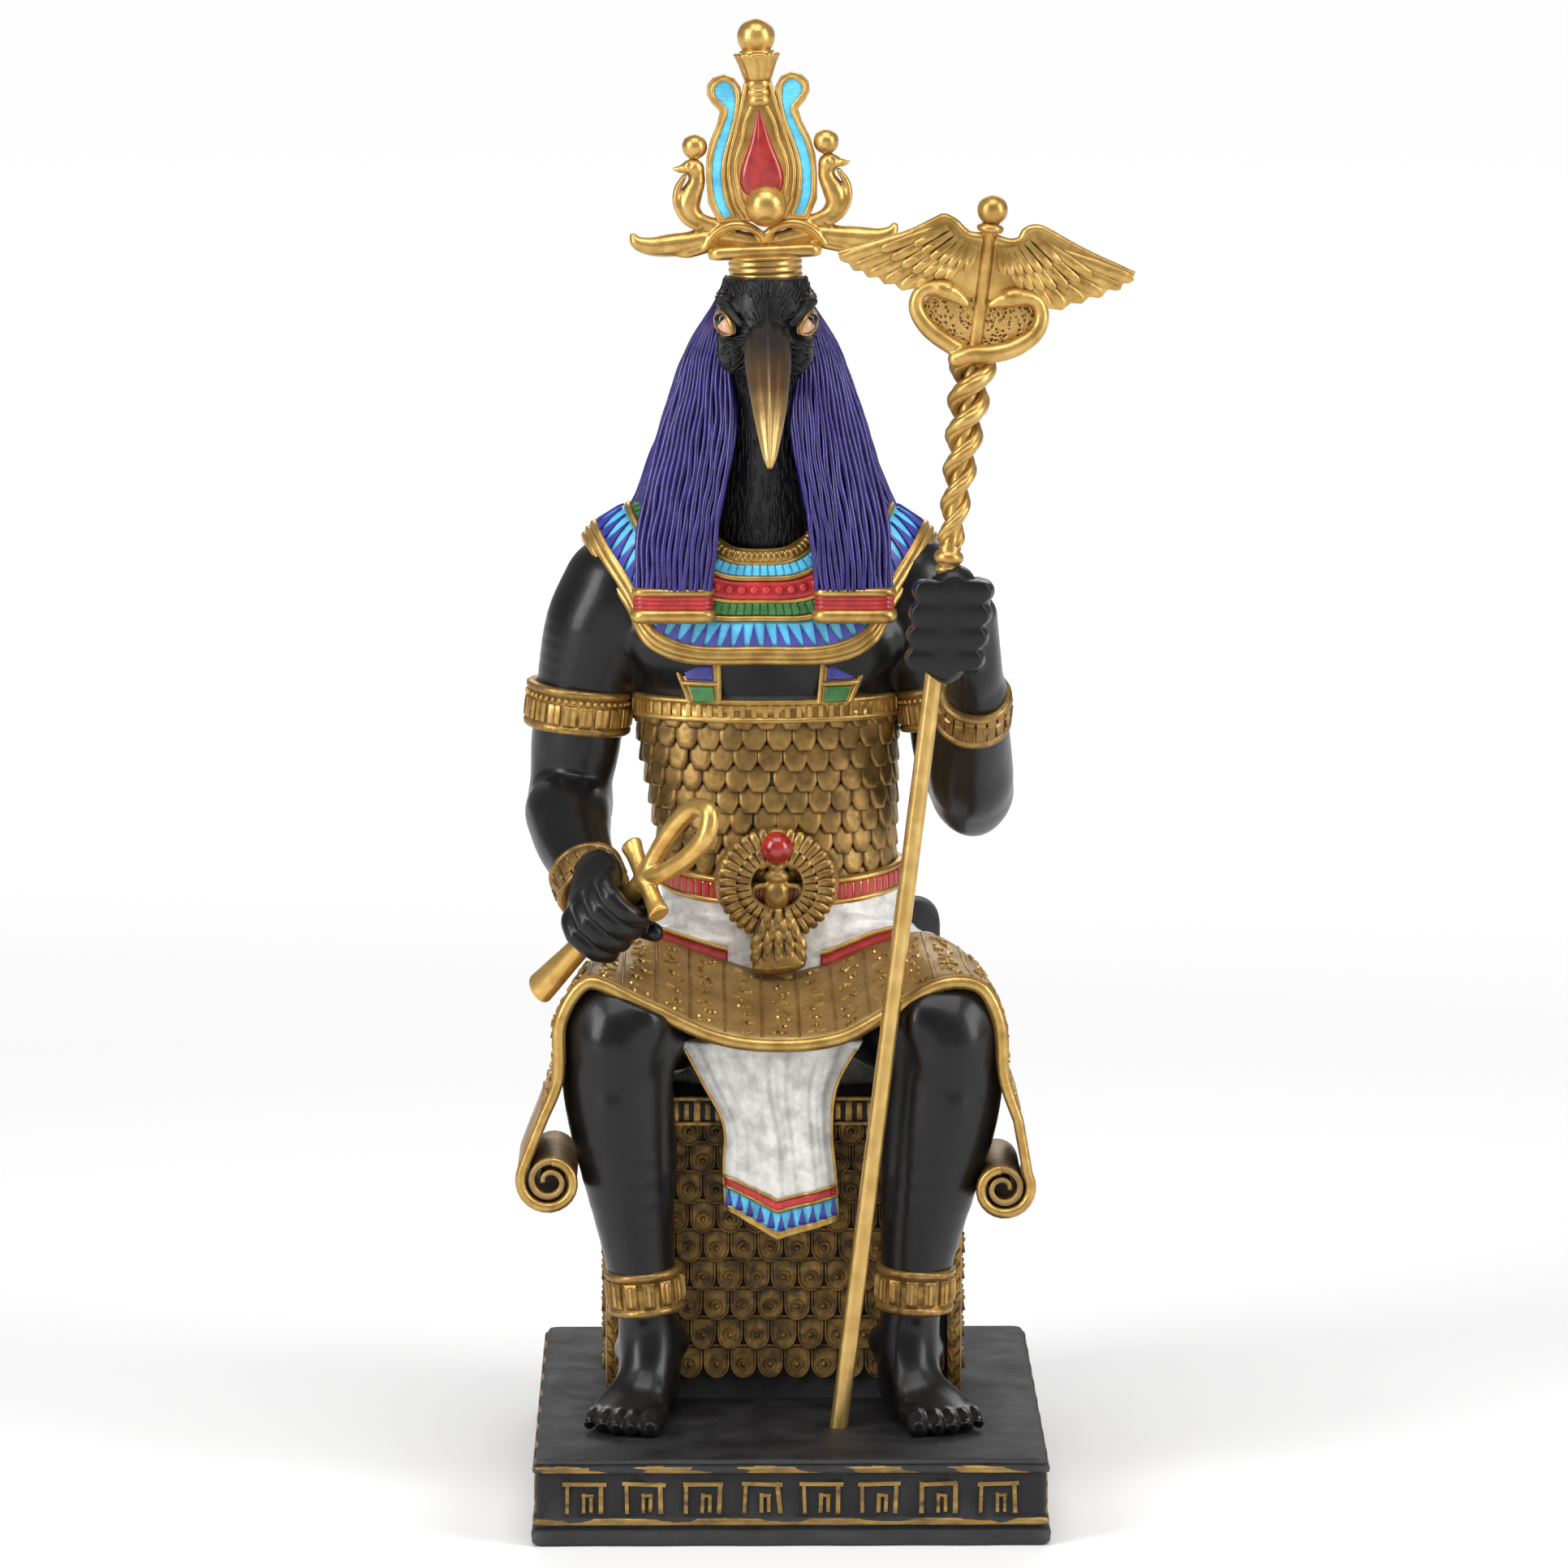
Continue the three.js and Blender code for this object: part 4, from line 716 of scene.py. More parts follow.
def makePlinth(s):
    rng = np.random.default_rng(3)
    profile = [(-1.6, 0), (-0.5, 0.1), (0.1, 0.7), (0.15, 2.5), (-0.2, 3.1), (-0.75, 3.4), (-0.8, 3.8)]
    for low, high in (s["bandLow"], s["bandHigh"]):
        profile += [(-0.75, low), (-0.2, low + 0.3), (-0.1, (low + high) / 2), (-0.25, high - 0.3), (-0.8, high)]
    profile += [(-0.7, 16.1), (-0.65, 16.4), (-1.0, 16.8), (-1.8, 17.0)]
    rings = []
    for outset, z in profile:
        loop = roundedLoop(s["width"] / 2 + outset, s["depth"] / 2 + outset, 1.4, 60)
        wobble = 0.1 * np.sin(loop[:, :1] * 0.31 + z) + 0.08 * np.sin(loop[:, 1:] * 0.43 + 2 * z)
        wobble = wobble + rng.normal(0, 0.02, wobble.shape)
        ring = loop * (1 - wobble / 60 * (0 < z < 17))
        rings.append(np.column_stack([ring, np.full(len(ring), z)]))
    loft("plinth", rings, charcoal, sharp=60)
    # brushed gold on the two bands and the raised gates
    for index, (low, high) in enumerate((s["bandLow"], s["bandHigh"])):
        rings = []
        for outset, z in [(-0.7, low + 0.1), (-0.13, low + 0.35), (-0.03, (low + high) / 2), (-0.18, high - 0.35),
                          (-0.7, high - 0.1), (-1.6, high - 0.3), (-1.6, low + 0.3)]:
            loop = roundedLoop(s["width"] / 2 + outset, s["depth"] / 2 + outset, 1.4, 60)
            rings.append(np.column_stack([loop, np.full(len(loop), z)]))
        ringBand("plinth_band_%d" % (index + 1), rings, brushedGold)
    strokes = []
    w, h, d = s["motifSize"]
    walls = [(front, side, s["width"], s["depth"] / 2), (-front, -side, s["width"], s["depth"] / 2),
             (side, -front, s["depth"], s["width"] / 2), (-side, front, s["depth"], s["width"] / 2)]
    for facing, across, length, out in walls:
        count = int(length / s["motifPitch"]) if length > 110 else s["motifs"]
        for i in range(count):
            middle = facing * (out - s["reach"] - 0.2) + across * (i - (count - 1) / 2) * s["motifPitch"]
            jitter = rng.normal(0, 0.12, 4)
            middle = middle + across * jitter[0]
            parts = [(-0.45, 0.5, 0.11, 1.0), (0.43, 0.5, 0.12, 1.0), (0, 0.94, 1.0, 0.13), (-0.02, 0.33, 0.1, 0.62),
                     (0.17, 0.3, 0.09, 0.52), (0.08, 0.58, 0.3, 0.09)]
            for x, y, wide, high in parts:
                spot = middle + across * x * w + up * (s["motifFoot"] + y * h)
                tilt = up + across * rng.normal(0, 0.035)
                strokes.append([spot, facing, tilt, (wide * w * rng.uniform(0.9, 1.15), high * h, d)])
    setOut("plinth_gates", strokes, bar, (1, 1, 1), brushedGold)


throneSet = dict(left=-35.8, right=33.9, front=-7, back=45, foot=16.5, top=78.5, band=72.6, backTop=109, backBack=52,
                 scaleWidth=5.36, scaleHeight=5.9, corner=5)


def makeThrone(s):
    middle = ((s["left"] + s["right"]) / 2, (s["front"] + s["back"]) / 2)
    halfX, halfY = (s["right"] - s["left"]) / 2, (s["back"] - s["front"]) / 2
    rings = []
    for outset, z in [(0, s["foot"]), (0, 40), (0, s["band"]), (0.5, s["band"] + 0.1), (0.8, s["band"] + 0.5),
                      (0.8, s["top"] - 0.6), (0.2, s["top"]), (-1, s["top"])]:
        loop = roundedLoop(halfX + outset, halfY + outset, 1, 10, middle)
        rings.append(np.column_stack([loop, np.full(len(loop), z)]))
    loft("throne_body", rings, charcoal, sharp=50)
    left, right, top, r = s["left"] + 2.3, s["right"] - 2.3, s["backTop"], s["corner"]
    outline = [(left, s["foot"])] + arc(left + r, top - r, r, 180, 90, 9) + arc(right - r, top - r, r, 90, 0, 9)
    outline = np.array(outline + [(right, s["foot"])])
    centre = np.array([(left + right) / 2, 70])
    rings = []
    for y, shrink in [(s["back"] - 0.5, 0.6), (s["back"] - 0.1, 0.15), (s["back"] + 0.6, 0), (s["backBack"] - 0.8, 0),
                      (s["backBack"] - 0.1, 0.25), (s["backBack"], 0.9)]:
        inner = outline - np.sign(outline - centre) * shrink
        rings.append([(x, y, z) for x, z in inner])
    loft("throne_backrest", rings, charcoal, sharp=50)
    frameLine = [(left + 3, 24)] + arc(left + 6, top - 6, 3, 180, 90, 5) + arc(right - 6, top - 6, 3, 90, 0, 5)
    frameLine = frameLine + [(right - 3, 24), (left + 3, 24)]
    wires("backrest_frame", [[(x, s["backBack"] - 0.25, z) for x, z in frameLine]], 0.55, wornGold)
    scales, studs = [], []
    walls = [(np.array([middle[0], s["front"], 0]), front, side, halfX * 2),
             (np.array([s["left"], middle[1], 0]), -side, np.array([0, -1.0, 0]), halfY * 2),
             (np.array([s["right"], middle[1], 0]), side, np.array([0, 1.0, 0]), halfY * 2),
             (np.array([middle[0], s["backBack"], 0]), -front, -side, halfX * 2 - 18)]
    for wall, (origin, facing, across, length) in enumerate(walls):
        top = s["band"] if wall < 3 else 100
        rows = int((top - 17) / s["scaleHeight"])
        for row in range(rows + 1):
            z = top - (1.3 if wall < 3 else 3.0) - row * s["scaleHeight"]
            if z < 18.6:
                continue
            count = int((length - 4) / s["scaleWidth"]) - row % 2
            for i in range(count):
                spot = origin + across * (i - (count - 1) / 2) * s["scaleWidth"] + facing * 0.25 + up * z
                scales.append([spot, unit(facing + 0.17 * up), up])
                studs.append([spot + facing * 0.55, facing, up])
    setOut("throne_scales", scales, tongue, (s["scaleWidth"], s["scaleHeight"], 0.9), dustedGold)
    setOut("throne_studs", studs, dome, (1.25, 1.25, 0.8), dustedGold)
    lines = []
    for spot, facing, upward in studs:
        across = np.cross(upward, facing)
        lines.append([spot + facing * 0.02 + 1.35 * (math.cos(a) * across + math.sin(a) * up)
                      for a in np.linspace(0, 2 * math.pi, 9)])
    wires("throne_stud_rings", lines, 0.2, dustedGold, sides=4)
    # the fluted band under the seat and the carved strips at the corners
    flutes, strips = [], []
    for origin, facing, across, length in walls[:3]:
        count = int((length - 1) / 2.15)
        for i in range(count):
            spot = origin + across * (i - (count - 1) / 2) * 2.15 + facing * 0.8 + up * (s["band"] + 2.85)
            flutes.append([spot, facing, up, (1, 1, 1) if i % 2 else (0.8, 0.82, 0.75)])
        for height in (s["band"] + 0.45, s["top"] - 0.45):
            strips.append([origin + facing * 0.8 + up * height, facing, across, (0.75, length + 1.4, 0.7)])
    setOut("throne_flutes", flutes, bar, (1.5, 4.4, 0.7), wornGold)
    for edge in (s["left"] + 0.9, s["right"] - 0.9):
        strips.append([np.array([edge, s["front"] + 0.3, 45]), front, up, (3, 55.6, 1.6)])
    setOut("throne_strips", strips, bar, (1, 1, 1), wornGold)
    leaves = []
    for edge in (s["left"] + 0.9, s["right"] - 0.9):
        for i in range(18):
            for lean in (-1, 1):
                spot = np.array([edge + lean * 0.62, s["front"] - 1.3, 20 + i * 2.95])
                leaves.append([spot, front, unit(up + lean * 0.55 * side)])
    setOut("throne_strip_leaves", leaves, petal, (0.9, 2.6, 0.5), wornGold)


brushedGold = makeGold("brushed_gold", (0.50, 0.31, 0.09), (0.36, 0.21, 0.055), wear=0.95, reach=0.0004, rough=0.42,
                       streak=(0.35, 0.35, 1.6))
dustedGold = makeGold("dusted_gold", (0.46, 0.27, 0.075), (0.22, 0.12, 0.03), wear=1.0, reach=0.0012, rough=0.4)
makePlinth(plinthSet)
makeThrone(throneSet)


# The scale armour, its band, the straps and the belt
print("armour")


def ellipsePoint(centreX, halfX, halfY, angle, z, outset=0.0, centreY=20.0):
    # 0 degrees points to +X and -90 to the front; also gives the outward direction
    a = math.radians(angle)
    outward = unit([math.cos(a) / halfX, math.sin(a) / halfY, 0])
    return np.array([centreX + halfX * math.cos(a), centreY + halfY * math.sin(a), z]) + outset * outward, outward


armour = dict(low=115, high=155.4, rowPitch=4.25, scales=28, waist=(122, -1.6, 22.6, 14.6), breast=(154.5, -4.4, 25.8, 16.8),
              scaleSize=(5.1, 5.9, 0.85))


def chestAt(z, angle, outset=0.0):
    t = (z - armour["waist"][0]) / (armour["breast"][0] - armour["waist"][0])
    x, halfX, halfY = [armour["waist"][i] + (armour["breast"][i] - armour["waist"][i]) * t for i in (1, 2, 3)]
    return ellipsePoint(x, halfX, halfY, angle, z, outset)


def evenAngles(halfX, halfY, count, shift=0.0):
    # angles that cut an ellipse into stretches of equal length
    a = np.linspace(0, 2 * math.pi, 721)
    steps = np.hypot(np.diff(halfX * np.cos(a)), np.diff(halfY * np.sin(a)))
    length = np.concatenate([[0], np.cumsum(steps)])
    wanted = (np.arange(count) + shift) / count * length[-1]
    return np.degrees(np.interp(wanted % length[-1], length, a))


def makeArmour():
    rings = [[chestAt(z, angle, -0.2)[0] for angle in range(0, 360, 6)] for z in np.linspace(armour["low"] - 4, 157, 12)]
    loft("armour_base", rings, charcoal)
    spots = []
    rng = np.random.default_rng(5)
    rows = int((armour["high"] - armour["low"]) / armour["rowPitch"])
    for row in range(rows + 1):
        z = armour["high"] - 2.2 - row * armour["rowPitch"]
        grow = chestAt(z, 0)[0][0] - chestAt(z, 180)[0][0]
        for angle in evenAngles(23.5, 15.5, armour["scales"], 0.5 * (row % 2)):
            spot, outward = chestAt(z, angle + rng.normal(0, 0.4), 0.15)
            lean = unit(outward + up * (0.13 + rng.normal(0, 0.02)))
            tilt = unit(up + np.cross(up, outward) * rng.normal(0, 0.03))
            wide = grow / 49 * rng.uniform(0.96, 1.02)
            spots.append([spot, lean, tilt, (wide, rng.uniform(0.97, 1.04), rng.uniform(0.9, 1.15))])
    setOut("armour_scales", spots, plateScale, armour["scaleSize"], bronze)


def ellipseBand(name, rows, material, count=120):
    # rows hold a height, the ring's middle, its half sizes and an outset; closed through the inside
    rings = [[ellipsePoint(x, halfX, halfY, 360 * i / count, z, outset)[0] for i in range(count)]
             for z, x, halfX, halfY, outset in rows]
    return ringBand(name, rings, material)


bandSet = dict(low=151.6, high=156.4, x=-4.5, halfX=27.0, halfY=17.6)


def makeArmourBand(s):
    low, high, x, a, b = s["low"], s["high"], s["x"], s["halfX"], s["halfY"]
    ellipseBand("armour_band", [(low, x, a, b, -1.8), (low, x, a, b, 0.1), (low + 0.35, x, a, b, 0.65),
                                (low + 0.95, x, a, b, 0.6), (low + 1.25, x, a, b, 0.05), (high - 1.15, x, a, b, 0.05),
                                (high - 0.85, x, a, b, 0.6), (high - 0.3, x, a, b, 0.6), (high, x, a, b, 0),
                                (high, x, a, b, -1.8)], gold)
    spots = []
    for angle in evenAngles(a, b, 64):
        spot, outward = ellipsePoint(x, a, b, angle, (low + high) / 2, 0.0)
        spots.append([spot, outward, up])
    setOut("armour_band_ribs", spots, bar, (1.05, high - low - 2.2, 0.5), gold)


def strapPoint(corner, u, v):
    # u runs across the strap and v up it
    (x0, z0), (x1, z1), (x2, z2), (x3, z3) = corner
    x = (x0 + (x3 - x0) * u) * (1 - v) + (x1 + (x2 - x1) * u) * v
    z = (z0 + (z3 - z0) * u) * (1 - v) + (z1 + (z2 - z1) * u) * v
    y = 20 - 17.2 * math.sqrt(max(0.05, 1 - ((x + 4.5) / 29.5) ** 2)) + (z - 156) * 0.03
    return np.array([x, y, z])


def makeStraps():
    corners = {"right": [(-19.6, 155.6), (-24.6, 168), (-13.4, 168), (-13.4, 155.6)],
               "left": [(6.0, 155.6), (7.0, 168), (17.8, 168), (12.6, 155.6)]}
    bars = [(0.0, 0.27, green), (0.36, 0.62, navy), (0.71, 1.0, green)]
    for name, corner in corners.items():
        grid = np.array([[strapPoint(corner, u, v) for u in np.linspace(0, 1, 9)] for v in np.linspace(0, 1, 13)])
        slab("strap_" + name, grid + front * 0.55, grid - front * 1.2, gold)
        for i, (low, high, paint) in enumerate(bars):
            grid = np.array([[strapPoint(corner, u, v) + front * (0.62 + 0.28 * (abs(u - 0.5) < 0.33) * (low + 0.02 < v < high - 0.02))
                              for u in np.linspace(0.17, 0.83, 12)] for v in np.linspace(low, high, 8)])
            slab("strap_%s_bar_%d" % (name, i + 1), grid, grid - front * 0.9, paint)
        rims = [[strapPoint(corner, u, v) + front * 0.6 for v in np.linspace(0, 1, 14)] for u in (0.03, 0.97)]
        rims += [[strapPoint(corner, u, v) + front * 0.6 for u in np.linspace(0.03, 0.97, 8)] for v in (0.31, 0.665)]
        wires("strap_%s_rims" % name, rims, 0.55, gold)


beltSet = dict(z=119.6, dip=2.6, height=5.6, x=-1.2, halfX=24.2, halfY=16.4, blocks=76)


def beltAt(angle, v, outset=0.0):
    # v runs from -0.5 at the lower edge to 0.5 at the upper one
    s = beltSet
    drop = s["dip"] * max(0, -math.sin(math.radians(angle))) ** 1.5
    return ellipsePoint(s["x"], s["halfX"], s["halfY"], angle, s["z"] - drop + v * s["height"], outset)


def makeBelt():
    profile = [(-0.5, -1.6), (-0.5, 0.2), (-0.42, 0.75), (-0.3, 0.7), (-0.26, 0.15), (0.26, 0.15), (0.3, 0.7), (0.42, 0.75),
               (0.5, 0.2), (0.5, -1.6)]
    count = 140
    ringBand("belt", [[beltAt(360 * i / count, v, out)[0] for i in range(count)] for v, out in profile], gold)
    blocks, bars = [], []
    for i, angle in enumerate(evenAngles(beltSet["halfX"], beltSet["halfY"], beltSet["blocks"])):
        spot, outward = beltAt(angle, 0, 0.1)
        blocks.append([spot, outward, up])
        spot, outward = beltAt(angle + 180 / beltSet["blocks"] * 1.0, 0, 0.1)
        bars.append([spot, outward, up])
    setOut("belt_blocks", blocks, bar, (1.45, 3.2, 0.75), red)
    setOut("belt_bars", bars, bar, (0.42, 3.2, 0.6), gold)


scarabSet = dict(x=-2.2, ballZ=126.9, ballY=2.0, ballRadius=3.35, bodyZ=117.6)


def makeScarab(s):
    x, y0 = s["x"], 2.6
    clay = Clay([x - 13, -6, 100], [x + 13, 10, 131], 0.22)
    clay.ball([x, y0, s["ballZ"] + 0.2], [3.9, 2.4, 3.9], 0.3)
    clay.ball([x, y0 - 1.2, s["bodyZ"]], [2.7, 2.5, 3.4], 0.5)                  # wing cases
    clay.ball([x, y0 - 1.6, s["bodyZ"] + 3.6], [2.5, 2.0, 1.6], 0.3)
    clay.ball([x, y0 - 1.8, s["bodyZ"] + 5.6], [1.7, 1.6, 1.2], 0.3)
    for turn in (-1, 1):
        clay.limb([[x + turn * 1.4, y0 - 2, 124.6, 0.7], [x + turn * 3.2, y0 - 1.6, 123.2, 0.7],
                   [x + turn * 4.4, y0 - 0.9, 125.8, 0.6], [x + turn * 3.8, y0 - 0.4, 128.6, 0.5]], 0.3)
        clay.limb([[x + turn * 1.8, y0 - 2.2, 119.6, 0.6], [x + turn * 4.6, y0 - 1.4, 118.6, 0.65],
                   [x + turn * 4.9, y0 - 0.8, 114.8, 0.5]], 0.3)
        clay.limb([[x + turn * 2.4, y0 + 1, 121, 1.6], [x + turn * 6, y0 + 0.8, 125, 2.4], [x + turn * 9.4, y0 + 1.6, 122.6, 2.6],
                   [x + turn * 9, y0 + 1.6, 117, 3], [x + turn * 5, y0 + 1, 114.4, 2.6]], 1.5)
        clay.limb([[x + turn * 0.9, y0 - 3.6, 121, 0.28], [x + turn * 0.35, y0 - 3.8, 117, 0.28]], 0.1, carve=True)
    clay.limb([[x, y0 - 1, 113.6, 2.6, 1.6], [x, y0 - 2.4, 108, 4.6, 1.8], [x + 0.4, y0 - 4.4, 103.6, 5.4, 1.6]], 1, front)
    clay.skin("scarab", wornGold, keep=0.5)
    stone = Clay([x - 5, -3, 121], [x + 5, 7, 132], 0.2)
    stone.ball([x, s["ballY"] - 0.9, s["ballZ"]], s["ballRadius"], 0.1)
    stone.skin("scarab_ball", redStone)
    # short feathers in two arcs round the body, and a tail of overlapping rows
    spots = []
    for turn in (-1, 1):
        for count, middle, length, lift in ((15, 9.4, 3.9, 0.5), (12, 6.2, 3.4, 1.0)):
            for i in range(count):
                a = math.radians(78 - 150 * i / (count - 1))
                reach = np.array([turn * math.cos(a), 0, math.sin(a)])
                spot = np.array([x + turn * 0.6, y0 - 1.2 - lift, 119.6]) + reach * middle
                pitch = math.radians(150 / (count - 1)) * (middle + 1)
                spots.append([spot, unit(front + 0.25 * reach), -reach, (pitch, length, 0.7)])
    for row, (count, z) in enumerate([(5, 106.4), (5, 108.6), (4, 110.8), (3, 112.8)]):
        for i in range(count):
            u = (i - (count - 1) / 2)
            spot = np.array([x + 0.3 + u * 2.1, y0 - 3.6 + abs(u) * 0.3 + row * 0.25 - 0.35 * (3 - row), z])
            spots.append([spot, unit(front + 0.3 * up + 0.12 * u * side), unit(up - 0.16 * u * side), (2.1, 4.6, 0.8)])
    setOut("scarab_feathers", spots, feather, (1, 1, 1), wornGold)


def makeRedStone():
    material, tree, shader = newMaterial("red_stone", (0.36, 0.02, 0.015), 0.22, coat=0.5, coatRoughness=0.08)
    tone = blendColors(tree, between(tree, grain(tree, 500, 4), 0.35, 0.7), (0.42, 0.02, 0.015, 1), (0.22, 0.012, 0.01, 1))
    tree.links.new(tone, shader.inputs["Base Color"])
    return material


feather = unitShape("feather", [(0.5, 0.05), (0.34, 0.5), (-0.34, 0.5), (-0.5, 0.05), (-0.48, -0.3), (-0.34, -0.43),
                                (-0.12, -0.5), (0.12, -0.5), (0.34, -0.43), (0.48, -0.3)],
                    [(1, -1), (1, 0.35), (0.72, 0.85), (0.14, 1.0), (0.04, 1.25)])
redStone = makeRedStone()
makeArmour()
makeArmourBand(bandSet)
makeStraps()
makeBelt()
makeScarab(scarabSet)


# The broad collar, a cape of painted bands round the neck
print("collar")
collarSet = dict(
    x=-5.5,
    # for each angle from the front: distance to the side, y and z at the neck, halfway and at the rim
    spread=[(0, (0, 3.2, 186), (0, 1.3, 175), (0, 0.6, 164.4)), (25, (4.6, 3.6, 186.3), (9.5, 1.7, 175.4), (14.5, 1.3, 164.6)),
            (45, (7.4, 5.6, 187.4), (16.6, 2.6, 179), (22.4, 2.6, 168.0)), (62, (9.4, 8.4, 189), (20, 6.6, 187.2), (26.2, 7.4, 174.6)),
            (78, (10.4, 11.6, 190.6), (22.8, 11.4, 192.2), (31.6, 12.4, 182)), (92, (10.8, 15, 191.6), (23.8, 16.6, 194.2), (34.8, 18.6, 187)),
            (110, (10.4, 19, 191.4), (22.6, 24, 192.8), (34.2, 26.8, 184.2)), (130, (8.6, 22.8, 190.8), (18.6, 31, 188.4), (29, 34.4, 176.4)),
            (155, (4.8, 25.6, 190.2), (9.8, 35.2, 183.2), (15.6, 39, 168.4)), (180, (0, 26.6, 190), (0, 36.4, 181.4), (0, 40, 166))],
    bands=[("neck_ring", 0.0, 0.1, 0.75), ("sky_band", 0.115, 0.225, 0.3), ("red_band", 0.258, 0.436, 0.35),
           ("green_band", 0.455, 0.573, 0.3), ("petal_band", 0.625, 0.88, 0.3)],
    lines=[(0.108, 0.35), (0.24, 0.55), (0.446, 0.4), (0.6, 0.65)])


def collarTable():
    table = []
    for sign, order in ((1, range(10)), (-1, range(8, 0, -1))):
        for i in order:
            angle, *rows = collarSet["spread"][i]
            table.append([[collarSet["x"] + sign * r[0], r[1], r[2]] for r in rows] + [[angle if sign > 0 else 360 - angle, 0, 0]])
    return table


def collarCurves():
    table = collarTable()
    angles = np.array([row[3][0] for row in table], float)
    around = np.linspace(0, 360, 241)
    curves = []
    for k in range(3):
        points = np.array([row[k] for row in table])
        extended = np.vstack([points[-3:], points, points[:4]])
        spots = np.concatenate([angles[-3:] - 360, angles, angles[:4] + 360])
        fine = smoothPath(np.column_stack([spots, extended]), 900)
        curves.append(np.column_stack([np.interp(around, fine[:, 0], fine[:, i]) for i in (1, 2, 3)]))
    return around, curves


collarAround, collarLines = collarCurves()


def collarAt(angle, v, outset=0.0):
    a, b, c = [np.array([np.interp(angle % 360, collarAround, line[:, i]) for i in range(3)]) for line in collarLines]
    spot = a * (1 - v) * (1 - 2 * v) + b * 4 * v * (1 - v) + c * v * (2 * v - 1)
    down = a * (4 * v - 3) + b * (4 - 8 * v) + c * (4 * v - 1)
    a2, b2, c2 = [np.array([np.interp((angle + 1) % 360, collarAround, line[:, i]) for i in range(3)]) for line in collarLines]
    round_ = a2 * (1 - v) * (1 - 2 * v) + b2 * 4 * v * (1 - v) + c2 * v * (2 * v - 1) - spot
    outward = unit(np.cross(unit(down), unit(round_)))
    return spot + outset * outward, outward, -unit(down)


def collarBand(name, low, high, height, material, count=240, rows=5):
    grid = []
    for r in range(rows):
        v = low + (high - low) * r / (rows - 1)
        edge = 0.55 if r in (0, rows - 1) else 1
        grid.append([collarAt(360 * i / count, v, height * edge)[0] for i in range(count)])
    base = [[collarAt(360 * i / count, v, -0.9)[0] for i in range(count)] for v in (high, low)]
    return ringBand(name, grid + base, material)


def collarAngles(v, pitch):
    # angles that set pieces along the collar at an even pitch
    steps = [np.linalg.norm(collarAt(a, v)[0] - collarAt(a + 1, v)[0]) for a in range(360)]
    far = np.concatenate([[0], np.cumsum(steps)])
    count = int(far[-1] / pitch)
    return np.interp((np.arange(count) + 0.5) / count * far[-1], far, np.arange(361))


def makeCollar(s):
    collarBand("collar_base", -0.02, 1.0, 0.1, gold, rows=14)
    paints = {"neck_ring": gold, "sky_band": skyBlue, "red_band": red, "green_band": green, "petal_band": skyBlue}
    for name, low, high, height in s["bands"]:
        collarBand("collar_" + name, low, high, height, paints[name])
    for i, (v, radius) in enumerate(s["lines"]):
        line = [collarAt(a, v, 0.25)[0] for a in np.linspace(0, 360, 121)]
        wires("collar_line_%d" % (i + 1), [line], radius, gold)
    rim = [collarAt(a, 0.945, 0.2)[0] for a in np.linspace(0, 360, 161)]
    outer = [collarAt(a, 0.99, -0.1)[0] for a in np.linspace(0, 360, 161)]
    inner = [collarAt(a, 0.895, 0.3)[0] for a in np.linspace(0, 360, 161)]
    wires("collar_rim", [rim, outer, inner], 0.95, gold, sides=10)
    ribs = {"neck_ring": (0.05, 0.9, 1.9, 0.75, gold, dome, 0.55), "sky_band": (0.17, 1.25, 2.1, 0.3, skyBlue, bar, 0.3),
            "green_band": (0.514, 1.25, 2.2, 0.3, green, bar, 0.3), "red_band": (0.345, 2.0, 2.0, 1.1, red, dome, 0.3)}
    for name, (v, wide, high, depth, paint, shape, height) in ribs.items():
        spots = []
        for a in collarAngles(v, wide * 1.22):
            spot, outward, upward = collarAt(a, v, height)
            spots.append([spot, outward, upward])
        setOut("collar_%s_ribs" % name, spots, shape, (wide, high, depth), paint)
    spots = []
    rng = np.random.default_rng(8)
    for a in collarAngles(0.85, 2.7):
        spot, outward, upward = collarAt(a, 0.765, 0.3)
        tall = np.linalg.norm(collarAt(a, 0.635)[0] - collarAt(a, 0.885)[0])
        tilt = unit(upward + np.cross(upward, outward) * rng.normal(0, 0.06))
        spots.append([spot, outward, tilt, (1, tall * rng.uniform(0.93, 1.03), 1)])
    setOut("collar_petals", spots, petal, (2.35, 1.0, 0.4), navy)


makeCollar(collarSet)


# The ibis head, its beak, eyes and feathers
print("head")
headSet = dict(x=-4.3, top=240.0, seat=(-4.2, 14, 7.7, 237.0), eye=(8.2, 0.2, 231.4), feathers=1300)


def makePlumage():
    material, tree, shader = newMaterial("black_plumage", (0.006, 0.006, 0.007), 0.42)
    shader.inputs["Specular IOR Level"].default_value = 0.35
    streaks = grain(tree, 900, 4, (1, 1, 0.25))
    tree.links.new(blendColors(tree, streaks, (0.003, 0.003, 0.0035, 1), (0.010, 0.010, 0.011, 1)), shader.inputs["Base Color"])
    tree.links.new(between(tree, streaks, 0.3, 0.7, (0.32, 0.55)), shader.inputs["Roughness"])
    addBump(tree, shader, streaks, 0.4, 0.0003)
    return material


